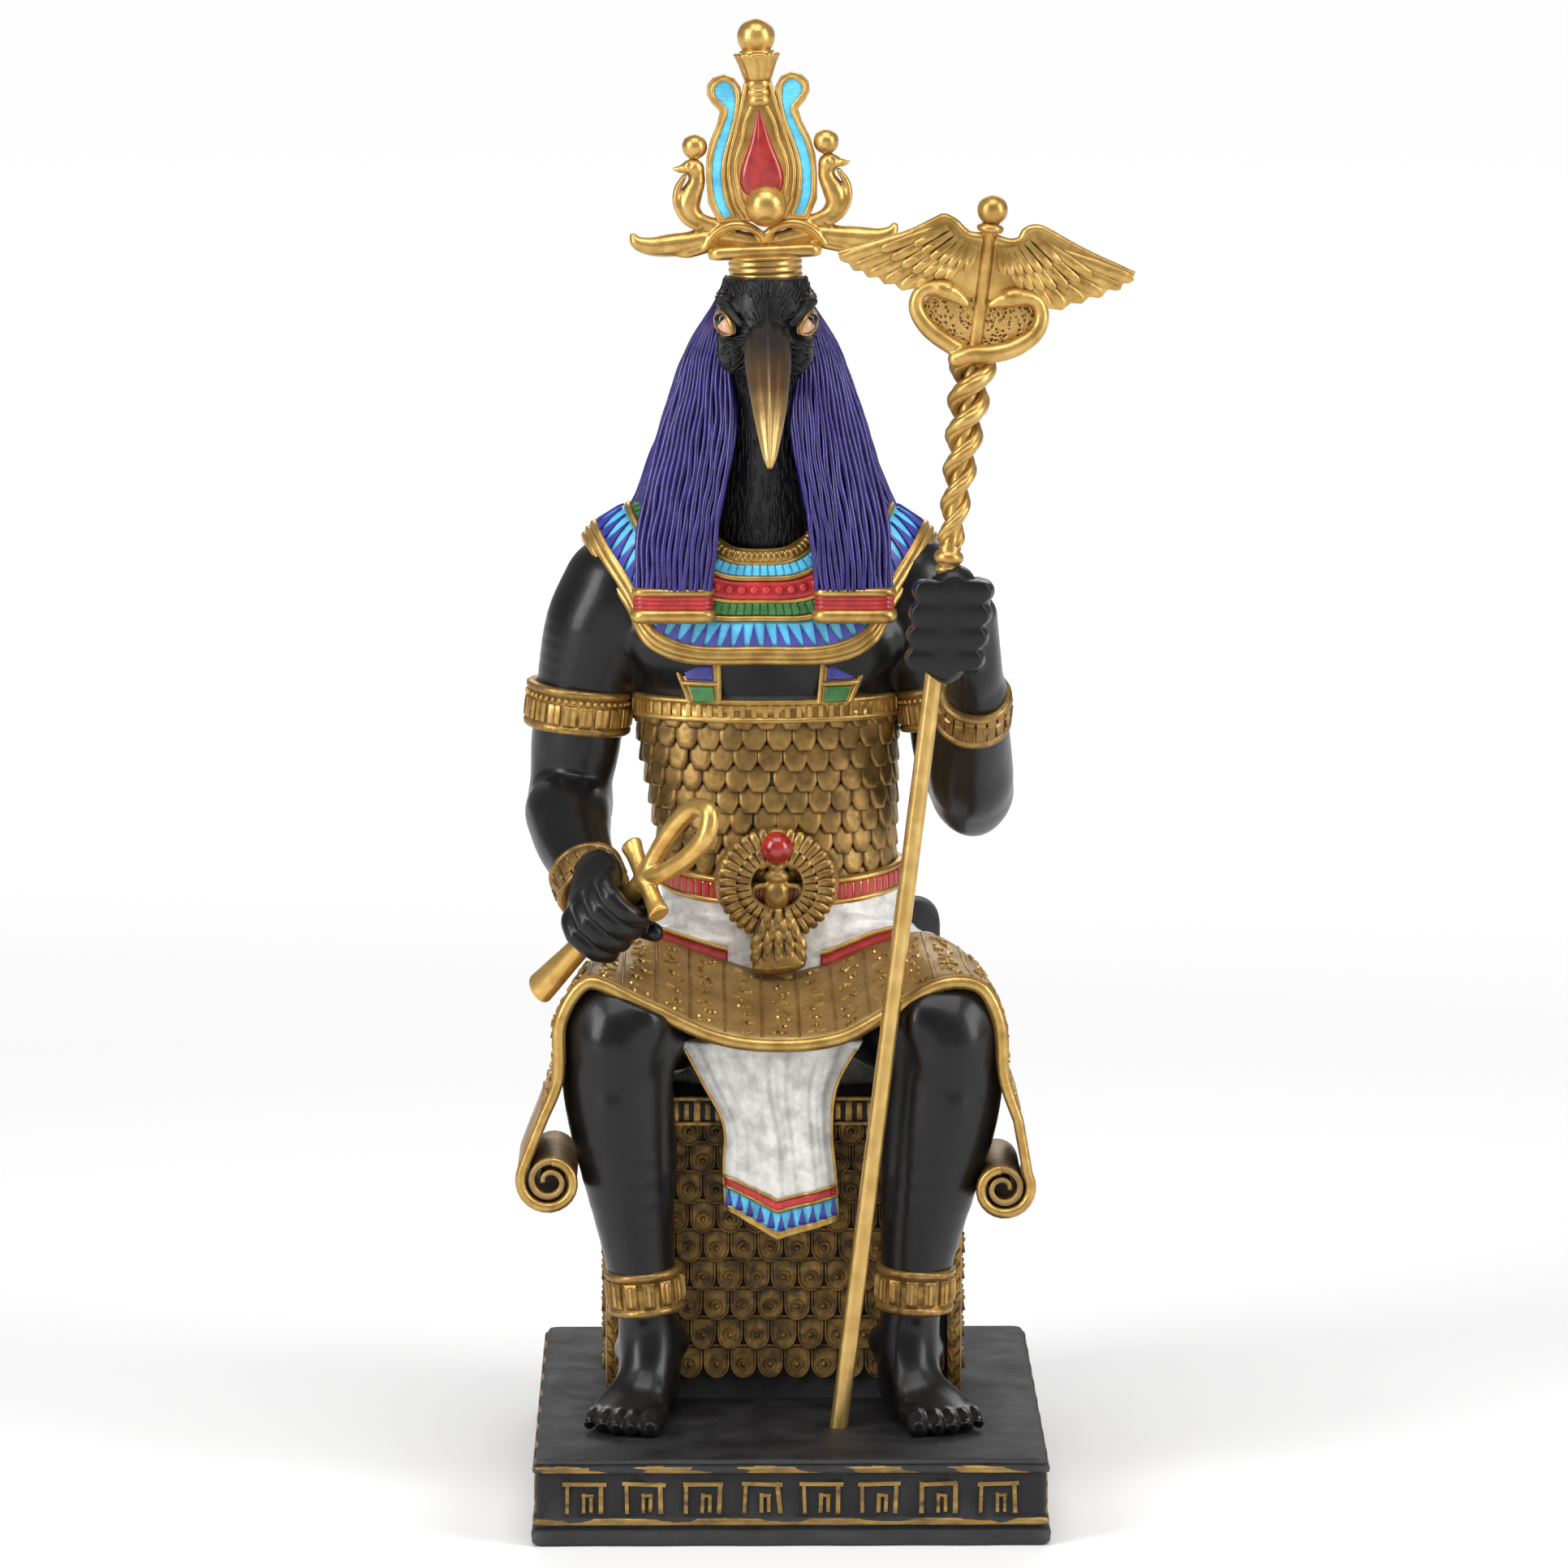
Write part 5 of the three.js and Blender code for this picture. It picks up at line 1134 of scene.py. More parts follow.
def makeHead(s):
    x = s["x"]
    clay = Clay([x - 14, -8, 182], [x + 13, 29, 243], 0.3)
    clay.limb([[-4.6, 16, 184, 11, 10.5], [-4.6, 13.5, 193, 8.8, 9.4], [-4.5, 11.5, 203, 6.8, 8.6], [-4.2, 9.8, 214, 5.9, 8.6],
               [-4.2, 9.4, 221, 6.8, 9.8], [x, 9.2, 227, 8.6, 11], [x, 9.4, 232, 9.4, 11.4], [x, 9.8, 237, 8.5, 10.6],
               [x, 10, 243, 6.2, 9]], 1.2, front, count=30)
    clay.ball([x, 1.2, 226], [6, 5, 6], 3)                                   # around the beak's root
    for turn in (-1, 1):
        clay.ball([x + turn * 6.6, 2.4, 225.4], [2.8, 4.4, 3.6], 2)          # cheek
        clay.limb([[x + turn * 8.6, 8, 236, 1.1], [x + turn * 8.4, 2.6, 234.9, 1.3], [x + turn * 6.8, -0.8, 233.4, 0.9],
                   [x + turn * 5, -2.6, 231.4, 0.6]], 1.2)                   # brow
        clay.limb([[x + turn * 8.6, 5, 228.6, 0.9], [x + turn * 7.8, 0, 227.4, 1.1], [x + turn * 6.4, -2, 225.8, 1],
                   [x + turn * 6.6, -1.4, 222.8, 0.9]], 1.2)                 # fold under the eye
    seatX, seatY, seatRadius, seatZ = s["seat"]
    clay.cut(lambda px, py, pz: pz - s["top"] + 0 * px + 0 * py)
    clay.cut(lambda px, py, pz: np.minimum(pz - seatZ, seatRadius - np.sqrt((px - seatX) ** 2 + (py - seatY) ** 2)))
    return clay.skin("head", plumage)


def makeFeathers(s, head):
    # short barbs lie on the head, away from the beak, and hang down the neck
    rng = np.random.default_rng(21)
    mesh = head.data
    points = np.empty(len(mesh.vertices) * 3, np.float32)
    mesh.vertices.foreach_get("co", points)
    points = points.reshape(-1, 3) / mm
    tree = BVHTree.FromPolygons(points.tolist(), [list(p.vertices) for p in mesh.polygons])
    lines = []
    eyeSpots = [np.array([s["x"] + turn * s["eye"][0], s["eye"][1], s["eye"][2]]) for turn in (-1, 1)]
    for index in rng.choice(len(points), s["feathers"] * 2, replace=False):
        spot = points[index]
        if min(np.linalg.norm(spot - eyeSpot) for eyeSpot in eyeSpots) < 4.6:
            continue
        if spot[2] < 188 or spot[2] > s["top"] - 0.3 or np.hypot(spot[0] - s["x"], spot[2] - 227) < 4 and spot[1] < 0:
            continue
        if spot[2] > s["seat"][3] - 0.2 and np.hypot(spot[0] + 4.2, spot[1] - 14) < 8:
            continue
        if len(lines) >= s["feathers"]:
            break
        away = unit([spot[0] - s["x"], (spot[1] + 4) * 0.5, (spot[2] - 228) * 0.8])
        low = min(1, max(0, (226 - spot[2]) / 12))
        flow = unit(away * (1 - low) + np.array([0, 0.1, -1]) * low + rng.normal(0, 0.1, 3))
        line = []
        length = rng.uniform(2.4, 4.6)
        for k in range(4):
            near, normal, _, _ = tree.find_nearest(Vector((spot + flow * length * k / 3).tolist()))
            if near is None:
                break
            line.append([*(np.array(near) + np.array(normal) * 0.05), (0.9, 1.2, 0.8, 0.12)[k]])
        if len(line) == 4:
            lines.append(line)
    wires("head_feathers", lines, 0.3, plumage, sides=4)


def makeEyes(s):
    dx, y, z = s["eye"]
    whites, pupils, lids = [], [], []
    for turn in (-1, 1):
        middle = np.array([s["x"] + turn * dx, y, z])
        facing = unit([turn * 0.74, -0.65, 0.16])
        long = np.array([-turn * 0.55, -0.5, -0.5])
        long = unit(long - facing * long.dot(facing))
        upward = unit(np.cross(facing, long) * turn * -1)
        upward = upward if upward[2] > 0 else -upward
        whites.append([middle, facing, upward])
        pupils.append([middle - long * 0.8 + upward * 0.2 + facing * 0.75, facing, upward])
        for sign, radius in ((1, 1.0), (-1, 0.55)):
            lids.append([[*(middle + long * 3.2 * math.cos(a) + upward * sign * 1.7 * math.sin(a) + facing * 0.7 * math.sin(a)), radius]
                         for a in np.linspace(0.05, math.pi - 0.05, 11)])
    setOut("eye_whites", whites, almond, (6.2, 3.2, 1.4), peach)
    setOut("eye_pupils", pupils, dome, (2.9, 2.9, 0.9), glossBlack)
    wires("eye_lids", lids, 0.42, wornGold, sides=6)


beakSet = dict(line=[[-4.2, 3, 229.8, 3.6, 4.4], [-4.1, -3, 227.6, 4.5, 4.4], [-4.0, -8, 224.6, 4.6, 3.9], [-3.9, -13.6, 220.4, 4.0, 3.3],
                     [-3.8, -18.6, 215.6, 3.2, 2.7], [-3.8, -22, 211, 2.2, 2.1], [-3.8, -24.2, 207.6, 1.35, 1.4],
                     [-3.8, -25.2, 205.6, 0.5, 0.6]])


def makeBeakColor():
    material, tree, shader = newMaterial("beak_bronze", (0.3, 0.17, 0.05), 0.33, metallic=0.5, coat=0.2)
    height = place(tree, "ShaderNodeSeparateXYZ", Vector=objectPlace(tree)).outputs["Z"]
    height = combine(tree, "ADD", height, combine(tree, "MULTIPLY", grain(tree, 260, 4), 0.006, False), False)
    dark = between(tree, height, 0.2235, 0.2318)
    tone = blendColors(tree, between(tree, height, 0.2145, 0.224), (0.50, 0.33, 0.11, 1), (0.16, 0.085, 0.03, 1))
    tone = blendColors(tree, dark, tone, (0.012, 0.010, 0.010, 1))
    # painted shade: near black in the hollows
    tone = blendColors(tree, between(tree, hollows(tree, 0.0012), 0.4, 0.9), (0.02, 0.014, 0.01, 1), tone)
    tree.links.new(tone, shader.inputs["Base Color"])
    tree.links.new(between(tree, dark, 0, 1, (0.62, 0.05)), shader.inputs["Metallic"])
    tree.links.new(between(tree, grain(tree, 300, 4), 0.3, 0.7, (0.26, 0.42)), shader.inputs["Roughness"])
    addBump(tree, shader, grain(tree, 900, 4), 0.15, 0.0003)
    return material


def makeBeak(s):
    line = smoothPath(s["line"], 60)
    tangents = unit(np.gradient(line[:, :3], axis=0))
    rings = []
    for i, (station, tangent) in enumerate(zip(line, tangents)):
        over = unit(np.cross(side, tangent))
        over = over if over[2] > 0 else -over
        t = i / 59
        ring = []
        for a in np.linspace(-math.pi, math.pi, 49)[:-1]:
            ridge = 0.16 * math.exp(-(a / 0.16) ** 2) * (1 - t * 0.3) - 0.07 * math.exp(-((abs(a) - 0.42) / 0.16) ** 2)
            mouth = -0.1 * math.exp(-((abs(a) - 1.72) / 0.1) ** 2)
            fine = -0.025 * math.exp(-((abs(a) - 1.15) / 0.08) ** 2)
            flat = 1 - 0.1 * max(0, math.cos(a)) ** 2 * abs(math.sin(a))
            r = (1 + ridge + mouth + fine) * flat
            ring.append(station[:3] + side * station[3] * math.sin(a) * r + over * station[4] * math.cos(a) * r)
        rings.append(ring)
    loft("beak", rings, makeBeakColor())


plumage = makePlumage()
almond = unitShape("almond", [(0.5 * math.cos(a), 0.5 * math.sin(a) * (0.55 + 0.45 * abs(math.sin(a)))) for a in np.linspace(0, 2 * math.pi, 21)[:-1]],
                   [(1, -0.6), (1, 0.2), (0.8, 0.62), (0.5, 0.9), (0.2, 1)])
peach = makeEnamel("eye_white", (0.62, 0.36, 0.2), rough=0.3)
glossBlack = makeEnamel("eye_black", (0.004, 0.004, 0.004), rough=0.1, bump=0.02)
head = makeHead(headSet)
makeFeathers(headSet, head)
makeEyes(headSet)
makeBeak(beakSet)


# The wig: two lappets in front and a curtain of strands behind
print("wig")
wigSet = dict(
    middle=-4.8, strands=15, curtainStrands=31,
    # each guide runs from the top down; numbers are the distance from the middle, y and z
    lappet=[[(6.2, 12, 231), (6.8, 6, 222), (6.2, 2.5, 211), (8.1, 0.5, 198.7), (9.5, -0.5, 190), (10.6, -1, 178.6)],
            [(8, 15, 233), (10, 8, 224), (11, 4, 212), (12.5, 1, 200), (14.3, -0.8, 190), (15.3, -1.4, 178.6)],
            [(8.6, 18, 234), (12.6, 11, 225), (15, 7, 213), (17.4, 3.2, 201), (19.6, 0.2, 190), (20.2, -1, 178.6)],
            [(9, 20, 234), (14.5, 15, 225), (18.2, 12, 214), (21.5, 8, 203), (24.2, 3.5, 191), (25, 0.8, 178.6)]],
    curtain=[[(9, 18, 234), (14, 13.5, 224), (17, 11.5, 214), (18.5, 11, 205), (21.5, 12, 196), (23.5, 12.5, 191)],
             [(9, 20, 234.5), (14.6, 18, 225), (17.8, 17, 216.5), (20.6, 17, 207), (24.2, 18, 197), (27, 19, 190)],
             [(7.8, 23, 235), (12.5, 25, 225), (15.5, 27, 214), (18, 29.5, 203), (20.6, 32, 193), (22, 33.5, 187)],
             [(4.4, 25.4, 236), (7, 29, 225), (9, 32.4, 213), (10.8, 35.4, 201), (12.2, 37.4, 191), (12.8, 38.2, 186)],
             [(0, 26.4, 236.4), (0, 30.8, 225), (0, 34.4, 213), (0, 37.4, 200), (0, 39.4, 190), (0, 40, 185.6)]])


def guideSurface(guides, across, down, middle, turn):
    # a grid of places, rows going down and columns across
    guides = np.array(guides, float)
    columns = np.stack([smoothPath(guides[:, i], across) for i in range(guides.shape[1])], axis=1)
    grid = np.stack([smoothPath(column, down) for column in columns], axis=1)
    grid[..., 0] = middle + turn * grid[..., 0]
    return grid


def outwardOf(grid, axisY):
    # directions that point away from the neck's upright axis and square to the grid
    du = np.gradient(grid, axis=1)
    dv = np.gradient(grid, axis=0)
    normal = unit(np.cross(du, dv))
    away = grid - np.array([wigSet["middle"], axisY, 0])
    away[..., 2] = 0
    flip = np.sign((normal * away).sum(-1, keepdims=True))
    return normal * np.where(flip == 0, 1, flip)


def makeStrands(grid, outward, rng, depth):
    lines = []
    rows, cols = grid.shape[:2]
    for c in range(cols):
        near = grid[:, min(c + 1, cols - 1)] - grid[:, max(c - 1, 0)]
        width = np.linalg.norm(near, axis=1) / (min(c + 1, cols - 1) - max(c - 1, 0))
        phase, beat = rng.uniform(0, 6.28), rng.uniform(1.5, 3)
        line = []
        for r in range(rows):
            wave = 0.16 * math.sin(phase + beat * r / 3) * width[r]
            spot = grid[r, c] + outward[r, c] * (depth + 0.15 * math.sin(phase * 3 + r / 2)) + unit(near[r]) * wave
            line.append([*spot, width[r] * (0.56 + 0.05 * math.sin(phase + r))])
        lines.append(line)
    return lines


def makeWig(s):
    rng = np.random.default_rng(9)
    lines = []
    for turn, label in ((-1, "right"), (1, "left")):
        grid = guideSurface(s["lappet"], 12, 30, s["middle"], turn)
        outward = outwardOf(grid, 14)
        slab("wig_lappet_" + label, grid - outward * 0.3, grid - outward * 4.6, violet)
        grid = guideSurface(s["lappet"], s["strands"], 34, s["middle"], turn)
        lines += makeStrands(grid, outwardOf(grid, 14), rng, 0.15)
        back = grid[:, [0, -1]] - outwardOf(grid, 14)[:, [0, -1]] * 1.6
        for c in (0, 1):
            lines.append([[*p, 0.75] for p in back[:, c]])
        makeLappetBand(label, s["middle"] + turn * 17.9)
    halves = [guideSurface(s["curtain"], 24, 30, s["middle"], turn) for turn in (-1, 1)]
    whole = np.concatenate([halves[0], halves[1][:, -2::-1]], axis=1)
    outward = outwardOf(whole, 12)
    slab("wig_curtain", whole - outward * 0.3, whole - outward * 4.2, violet)
    halves = [guideSurface(s["curtain"], s["curtainStrands"], 34, s["middle"], turn) for turn in (-1, 1)]
    whole = np.concatenate([halves[0], halves[1][:, -2::-1]], axis=1)
    lines += makeStrands(whole, outwardOf(whole, 12), rng, 0.15)
    wires("wig_strands", lines, 1.0, violet, sides=7)


def makeLappetBand(label, x):
    profiles = {"foot": ([(-3, 172.2), (-0.6, 172.1), (0.2, 172.6), (0.5, 173.4), (0.3, 174.4), (-0.4, 174.9), (-3, 174.9)], gold),
                "red": ([(-3, 174.8), (-0.35, 174.85), (-0.2, 175.2), (-0.2, 175.6), (-0.5, 175.75), (-0.2, 175.9), (-0.2, 176.5),
                         (-0.5, 176.65), (-0.2, 176.8), (-0.2, 177.3), (-0.4, 177.6), (-3, 177.6)], red),
                "top": ([(-3, 177.4), (-0.3, 177.5), (0.15, 177.9), (0.1, 178.7), (-0.4, 179.1), (-3, 179.1)], gold)}
    for part, (profile, paint) in profiles.items():
        rings = [[(px, py, z) for px, py in roundedLoop(8.1 + out, 3.9 + out, max(0.4, 2.4 + out), 8, (x, 2.1))]
                 for out, z in profile]
        loft("lappet_%s_%s" % (label, part), rings, paint)


makeWig(wigSet)


# Arm bands, bracelets and anklets
print("bands")


def cuffAt(cuff, t, angle, outset=0.0):
    # t runs along the limb from 0 to 1 and the angle runs round it, 0 to the outer side
    start, end = np.array(cuff["start"], float), np.array(cuff["end"], float)
    axis = unit((end - start)[:3])
    outer = unit(np.cross(np.cross(axis, cuff["outer"]), axis))
    other = np.cross(axis, outer)
    middle = start + (end - start) * t
    a = math.radians(angle)
    outward = outer * math.cos(a) + other * math.sin(a)
    wide, deep = cuff.get("shape", (1, 1))
    reach = outer * math.cos(a) * wide + other * math.sin(a) * deep
    return middle[:3] + reach * middle[3] + outward * outset, outward, axis


def makeCuff(cuff):
    name, sides = cuff["name"], 64
    rings = [[cuffAt(cuff, t, 360 * i / sides, out)[0] for i in range(sides)] for t, out in cuff["profile"]]
    ringBand(name, rings, cuff["metal"])
    for label, t, wide, high, depth, shape, paint, lift, spread in cuff["rows"]:
        count = int(2 * math.pi * cuff["start"][3] / (wide * spread))
        spots = []
        for i in range(count):
            spot, outward, axis = cuffAt(cuff, t, 360 * (i + 0.5) / count, lift)
            spots.append([spot, outward, axis])
        setOut(name + "_" + label, spots, shape, (wide, high, depth), paint)


rimProfile = [(0, -2), (0, -0.1), (0.04, 0.35), (0.12, 0.42), (0.17, 0.1), (0.2, -0.2), (0.8, -0.2), (0.83, 0.1),
              (0.88, 0.42), (0.96, 0.35), (1, -0.1), (1, -2)]
armletRows = [("panels", 0.42, 2.6, 3.9, 0.5, bar, gold, -0.15, 1.25), ("ribs", 0.42, 0.5, 3.9, 0.75, bar, wornGold, -0.15, 6.5),
              ("beads", 0.74, 1.1, 1.1, 0.6, dome, gold, -0.1, 1.3)]
braceletRows = [("panels", 0.5, 1.9, 5.6, 0.45, bar, bronze, -0.2, 1.12), ("leaves", 0.5, 1.5, 3.4, 0.7, petal, bronze, -0.1, 1.7)]
ankletRows = [("panels", 0.5, 2.5, 5.0, 0.6, bar, wornGold, -0.2, 1.34), ("ribs", 0.5, 0.7, 4.4, 0.9, bar, gold, -0.2, 4.8)]
cuffs = [
    dict(name="armlet_right", start=(-42.2, 19.6, 148.4, 10.4), end=(-41.2, 19.4, 157.4, 10.6), outer=-side, metal=wornGold,
         profile=rimProfile, rows=armletRows),
    dict(name="armlet_left", start=(33.4, 18.0, 149.2, 10.4), end=(32.2, 18.6, 157.6, 10.6), outer=side, metal=wornGold,
         profile=rimProfile, rows=armletRows),
    dict(name="bracelet_right", start=(-38.2, -11.6, 119.6, 6.9), end=(-40.2, -5.4, 123.6, 7.2), outer=-side, metal=bronze,
         profile=rimProfile, rows=braceletRows),
    dict(name="bracelet_left", start=(36.6, -13, 160, 6.9), end=(36.4, -7.4, 153.6, 7.2), outer=side, metal=bronze,
         profile=rimProfile, rows=braceletRows),
    dict(name="anklet_right", start=(-28.1, -17.8, 37.4, 7.2), end=(-28.9, -17.8, 46.2, 7.4), outer=-side, metal=wornGold,
         shape=(1, 1.13), profile=rimProfile, rows=ankletRows),
    dict(name="anklet_left", start=(24.8, -17.8, 37.6, 7.3), end=(25.2, -17.8, 46.6, 7.5), outer=side, metal=wornGold,
         shape=(1, 1.13), profile=rimProfile, rows=ankletRows),
]
for cuff in cuffs:
    makeCuff(cuff)


# White wraps over the hips, the kilt's panel and the red sash
print("cloths")


def rippled(piece, height):
    # moves each point of a finished mesh along its normal by height(places) in millimetres
    mesh = piece.data
    count = len(mesh.vertices)
    places, normals = np.empty(count * 3), np.empty(count * 3)
    mesh.vertices.foreach_get("co", places)
    mesh.vertex_normals.foreach_get("vector", normals)
    places, normals = places.reshape(-1, 3), normals.reshape(-1, 3)
    places += normals * height(places / mm)[:, None] * mm
    mesh.vertices.foreach_set("co", places.ravel())
    mesh.update()


def wrinkles(p):
    slant = p[:, 2] * 1.5 + p[:, 1] * 0.5 + 1.2 * np.sin(p[:, 0] * 0.35) + 0.8 * np.sin(p[:, 1] * 0.6)
    fine = np.sin(slant * 2.1 + np.sin(p[:, 0] * 0.9) * 0.9)
    return 0.22 * np.sin(slant) + 0.13 * fine


def makeHips():
    clay = Clay([-35, -8, 76], [33, 46, 119], 0.5)
    clay.limb([[-1, 22, 82, 31, 20], [-1, 20.5, 96, 28, 20], [-1, 20, 108, 25, 18.4], [-1, 20.5, 117, 23.8, 16.4]], 1, front, count=12)
    for turn, x in ((-1, -16), (1, 14)):
        clay.limb([[x, 22, 95, 15.4], [x + turn * 9, 6, 95, 14.6], [x + turn * 12.6, -1, 94.6, 13.6]], 3)
    clay.cut(lambda x, y, z: np.maximum(np.maximum(z - 117.4, 77 - z), -3.4 - y) + 0 * x)
    clay.cut(aboveSheet)
    piece = clay.skin("hip_wraps", pearl, keep=0.35)
    rippled(piece, wrinkles)


kiltSet = dict(top=91.4, front=-17.2, back=-8.4, hem=[(-13.4, 57.6), (-10.4, 56.4), (-2.4, 51.5), (9.9, 55.0)],
               left=[(-21.8, 91.4), (-17.4, 79), (-13.2, 68), (-13.2, 61), (-12.8, 57.2)],
               right=[(14.6, 91.4), (9.8, 77), (8.8, 68), (9.6, 60), (10, 55)])


def kiltPoint(u, above, outset=0.0):
    # u runs across and above is the height over the hem, as a share of the panel's height there
    s = kiltSet
    left = smoothPath(s["left"], 60)
    right = smoothPath(s["right"], 60)
    i = (1 - above) * 59
    low = min(int(i), 58)
    edge = [line[low] + (line[low + 1] - line[low]) * (i - low) for line in (left, right)]
    x = edge[0][0] + (edge[1][0] - edge[0][0]) * u
    hem = np.interp(x, [h[0] for h in s["hem"]], [h[1] for h in s["hem"]])
    z = hem + (s["top"] - hem) * above
    fold = 0.55 * math.cos(u * 6.28 * 3 + 0.6) + 0.3 * math.cos(u * 6.28 * 7 + above * 3) + 0.12 * math.sin(u * 6.28 * 17 + above * 5)
    y = s["front"] - outset + fold * (0.35 + 0.65 * above) + 1.6 * (2 * u - 1) ** 4 - 2.2 * above ** 2
    return np.array([x, y, z])


def makeKilt(s):
    grid = np.array([[kiltPoint(u, v) for u in np.linspace(0, 1, 70)] for v in np.linspace(0, 1, 50)])
    back = grid.copy()
    back[..., 1] = s["back"]
    slab("kilt_panel", grid, back, pearl)
    bands = [("hem", 0.0, 0.028, 0.75, gold), ("blue", 0.032, 0.135, 0.4, skyBlue), ("red", 0.15, 0.19, 0.5, red)]
    for name, low, high, lift, paint in bands:
        grid = np.array([[kiltPoint(u, v, lift) for u in np.linspace(0.01, 0.99, 60)] for v in np.linspace(low, high, 6)])
        slab("kilt_" + name, grid, grid - front * 1.2, paint)
    rims = [[kiltPoint(u, v, 0.45) for u in np.linspace(0.01, 0.99, 50)] for v in (0.03, 0.142, 0.198)]
    rims += [[kiltPoint(u, v, 0.2) for v in np.linspace(0, 0.95, 40)] for u in (0.012, 0.988)]
    wires("kilt_rims", rims, 0.34, gold)
    spots = []
    for i in range(11):
        u = (i + 0.5) / 11
        spot = kiltPoint(u, 0.085, 0.45)
        spots.append([spot, front, up])
    setOut("kilt_triangles", spots, petal, (1.7, 3.4, 0.4), navy)


def makeSash():
    # two ends of the sash show behind the papyrus
    for label, low, high in (("right", -27, -12), ("left", 6.5, 21)):
        x = np.linspace(low, high, 20)
        z = np.interp(x, [p[0] for p in papyrusSet["edge"]], [p[1] for p in papyrusSet["edge"]]) - 1.4
        path = np.column_stack([x, 2.5 + 0 * x, z])
        grid = np.array([path + up * v * 3.6 + front * (0.5 - 1.2 * (v - 0.5) ** 2) for v in np.linspace(0, 1, 6)])
        slab("sash_" + label, grid, grid - front * 3, red)
        wires("sash_rim_" + label, [path + up * 3.6 + front * 0.5], 0.5, gold)


makeHips()
makeKilt(kiltSet)
makeSash()


# The papyrus over the knees
print("papyrus")
def papyrusCurls(s):
    # each roll as a line that winds inwards
    curls = []
    for x, z, radius, turn in s["rolls"]:
        curl = []
        for i in range(50):
            a = 2 * math.pi * 2.1 * i / 49
            r = (radius - 0.3) * (1 - 0.75 * i / 49)
            start = math.radians(150)
            curl.append([x + turn * -r * math.cos(start + a), z + r * math.sin(start + a)])
        curls.append(curl)
    return curls


def papyrusGrid(s, count=110, rows=16):
    curls = papyrusCurls(s)
    lines = []
    for points in (s["rim"], s["edge"]):
        middle = smoothPath(points[1:-1], count)
        lines.append(np.vstack([curls[0][::-1], middle, curls[1]]))
    share = np.concatenate([np.linspace(0.3, 0.6, 50), np.linspace(0.7, 1, 15), np.ones(count - 30), np.linspace(1, 0.7, 15),
                            np.linspace(0.6, 0.3, 50)])
    grid, normals = [], []
    for d in np.linspace(0, 1, rows):
        flat = lines[0] * (1 - d) + lines[1] * d
        y = s["front"] + (s["back"] - s["front"]) * d
        tangent = unit(np.gradient(flat, axis=0))
        sag = 0.35 * np.sin(np.arange(len(flat)) * 0.21 + d * 5) * np.sin(d * 3.1)
        normal = np.column_stack([-tangent[:, 1], tangent[:, 0]])
        flat = flat + normal * sag[:, None] * (share > 0.99)[:, None]
        grid.append(np.column_stack([flat[:, 0], np.full(len(flat), y), flat[:, 1]]))
        normals.append(np.column_stack([normal[:, 0], np.zeros(len(flat)), normal[:, 1]]))
    return np.array(grid), np.array(normals), share


def makePapyrusPaper():
    material, tree, shader = newMaterial("papyrus_gold", (0.42, 0.28, 0.10), 0.46, metallic=0.45)
    fibres = grain(tree, 500, 4, (0.15, 1, 1))
    cross = grain(tree, 420, 4, (1, 0.15, 0.4))
    patch = between(tree, grain(tree, 130, 6), 0.35, 0.7)
    tone = blendColors(tree, patch, (0.30, 0.18, 0.055, 1), (0.50, 0.33, 0.12, 1))
    tone = blendColors(tree, combine(tree, "MULTIPLY", fibres, 0.5), tone, (0.16, 0.085, 0.03, 1))
    # painted shade: near black in the hollows
    tone = blendColors(tree, between(tree, hollows(tree, 0.0011), 0.3, 0.85), (0.03, 0.016, 0.008, 1), tone)
    tree.links.new(tone, shader.inputs["Base Color"])
    tree.links.new(between(tree, patch, 0, 1, (0.55, 0.38)), shader.inputs["Roughness"])
    addBump(tree, shader, combine(tree, "ADD", fibres, cross, False), 0.35, 0.0003)
    return material


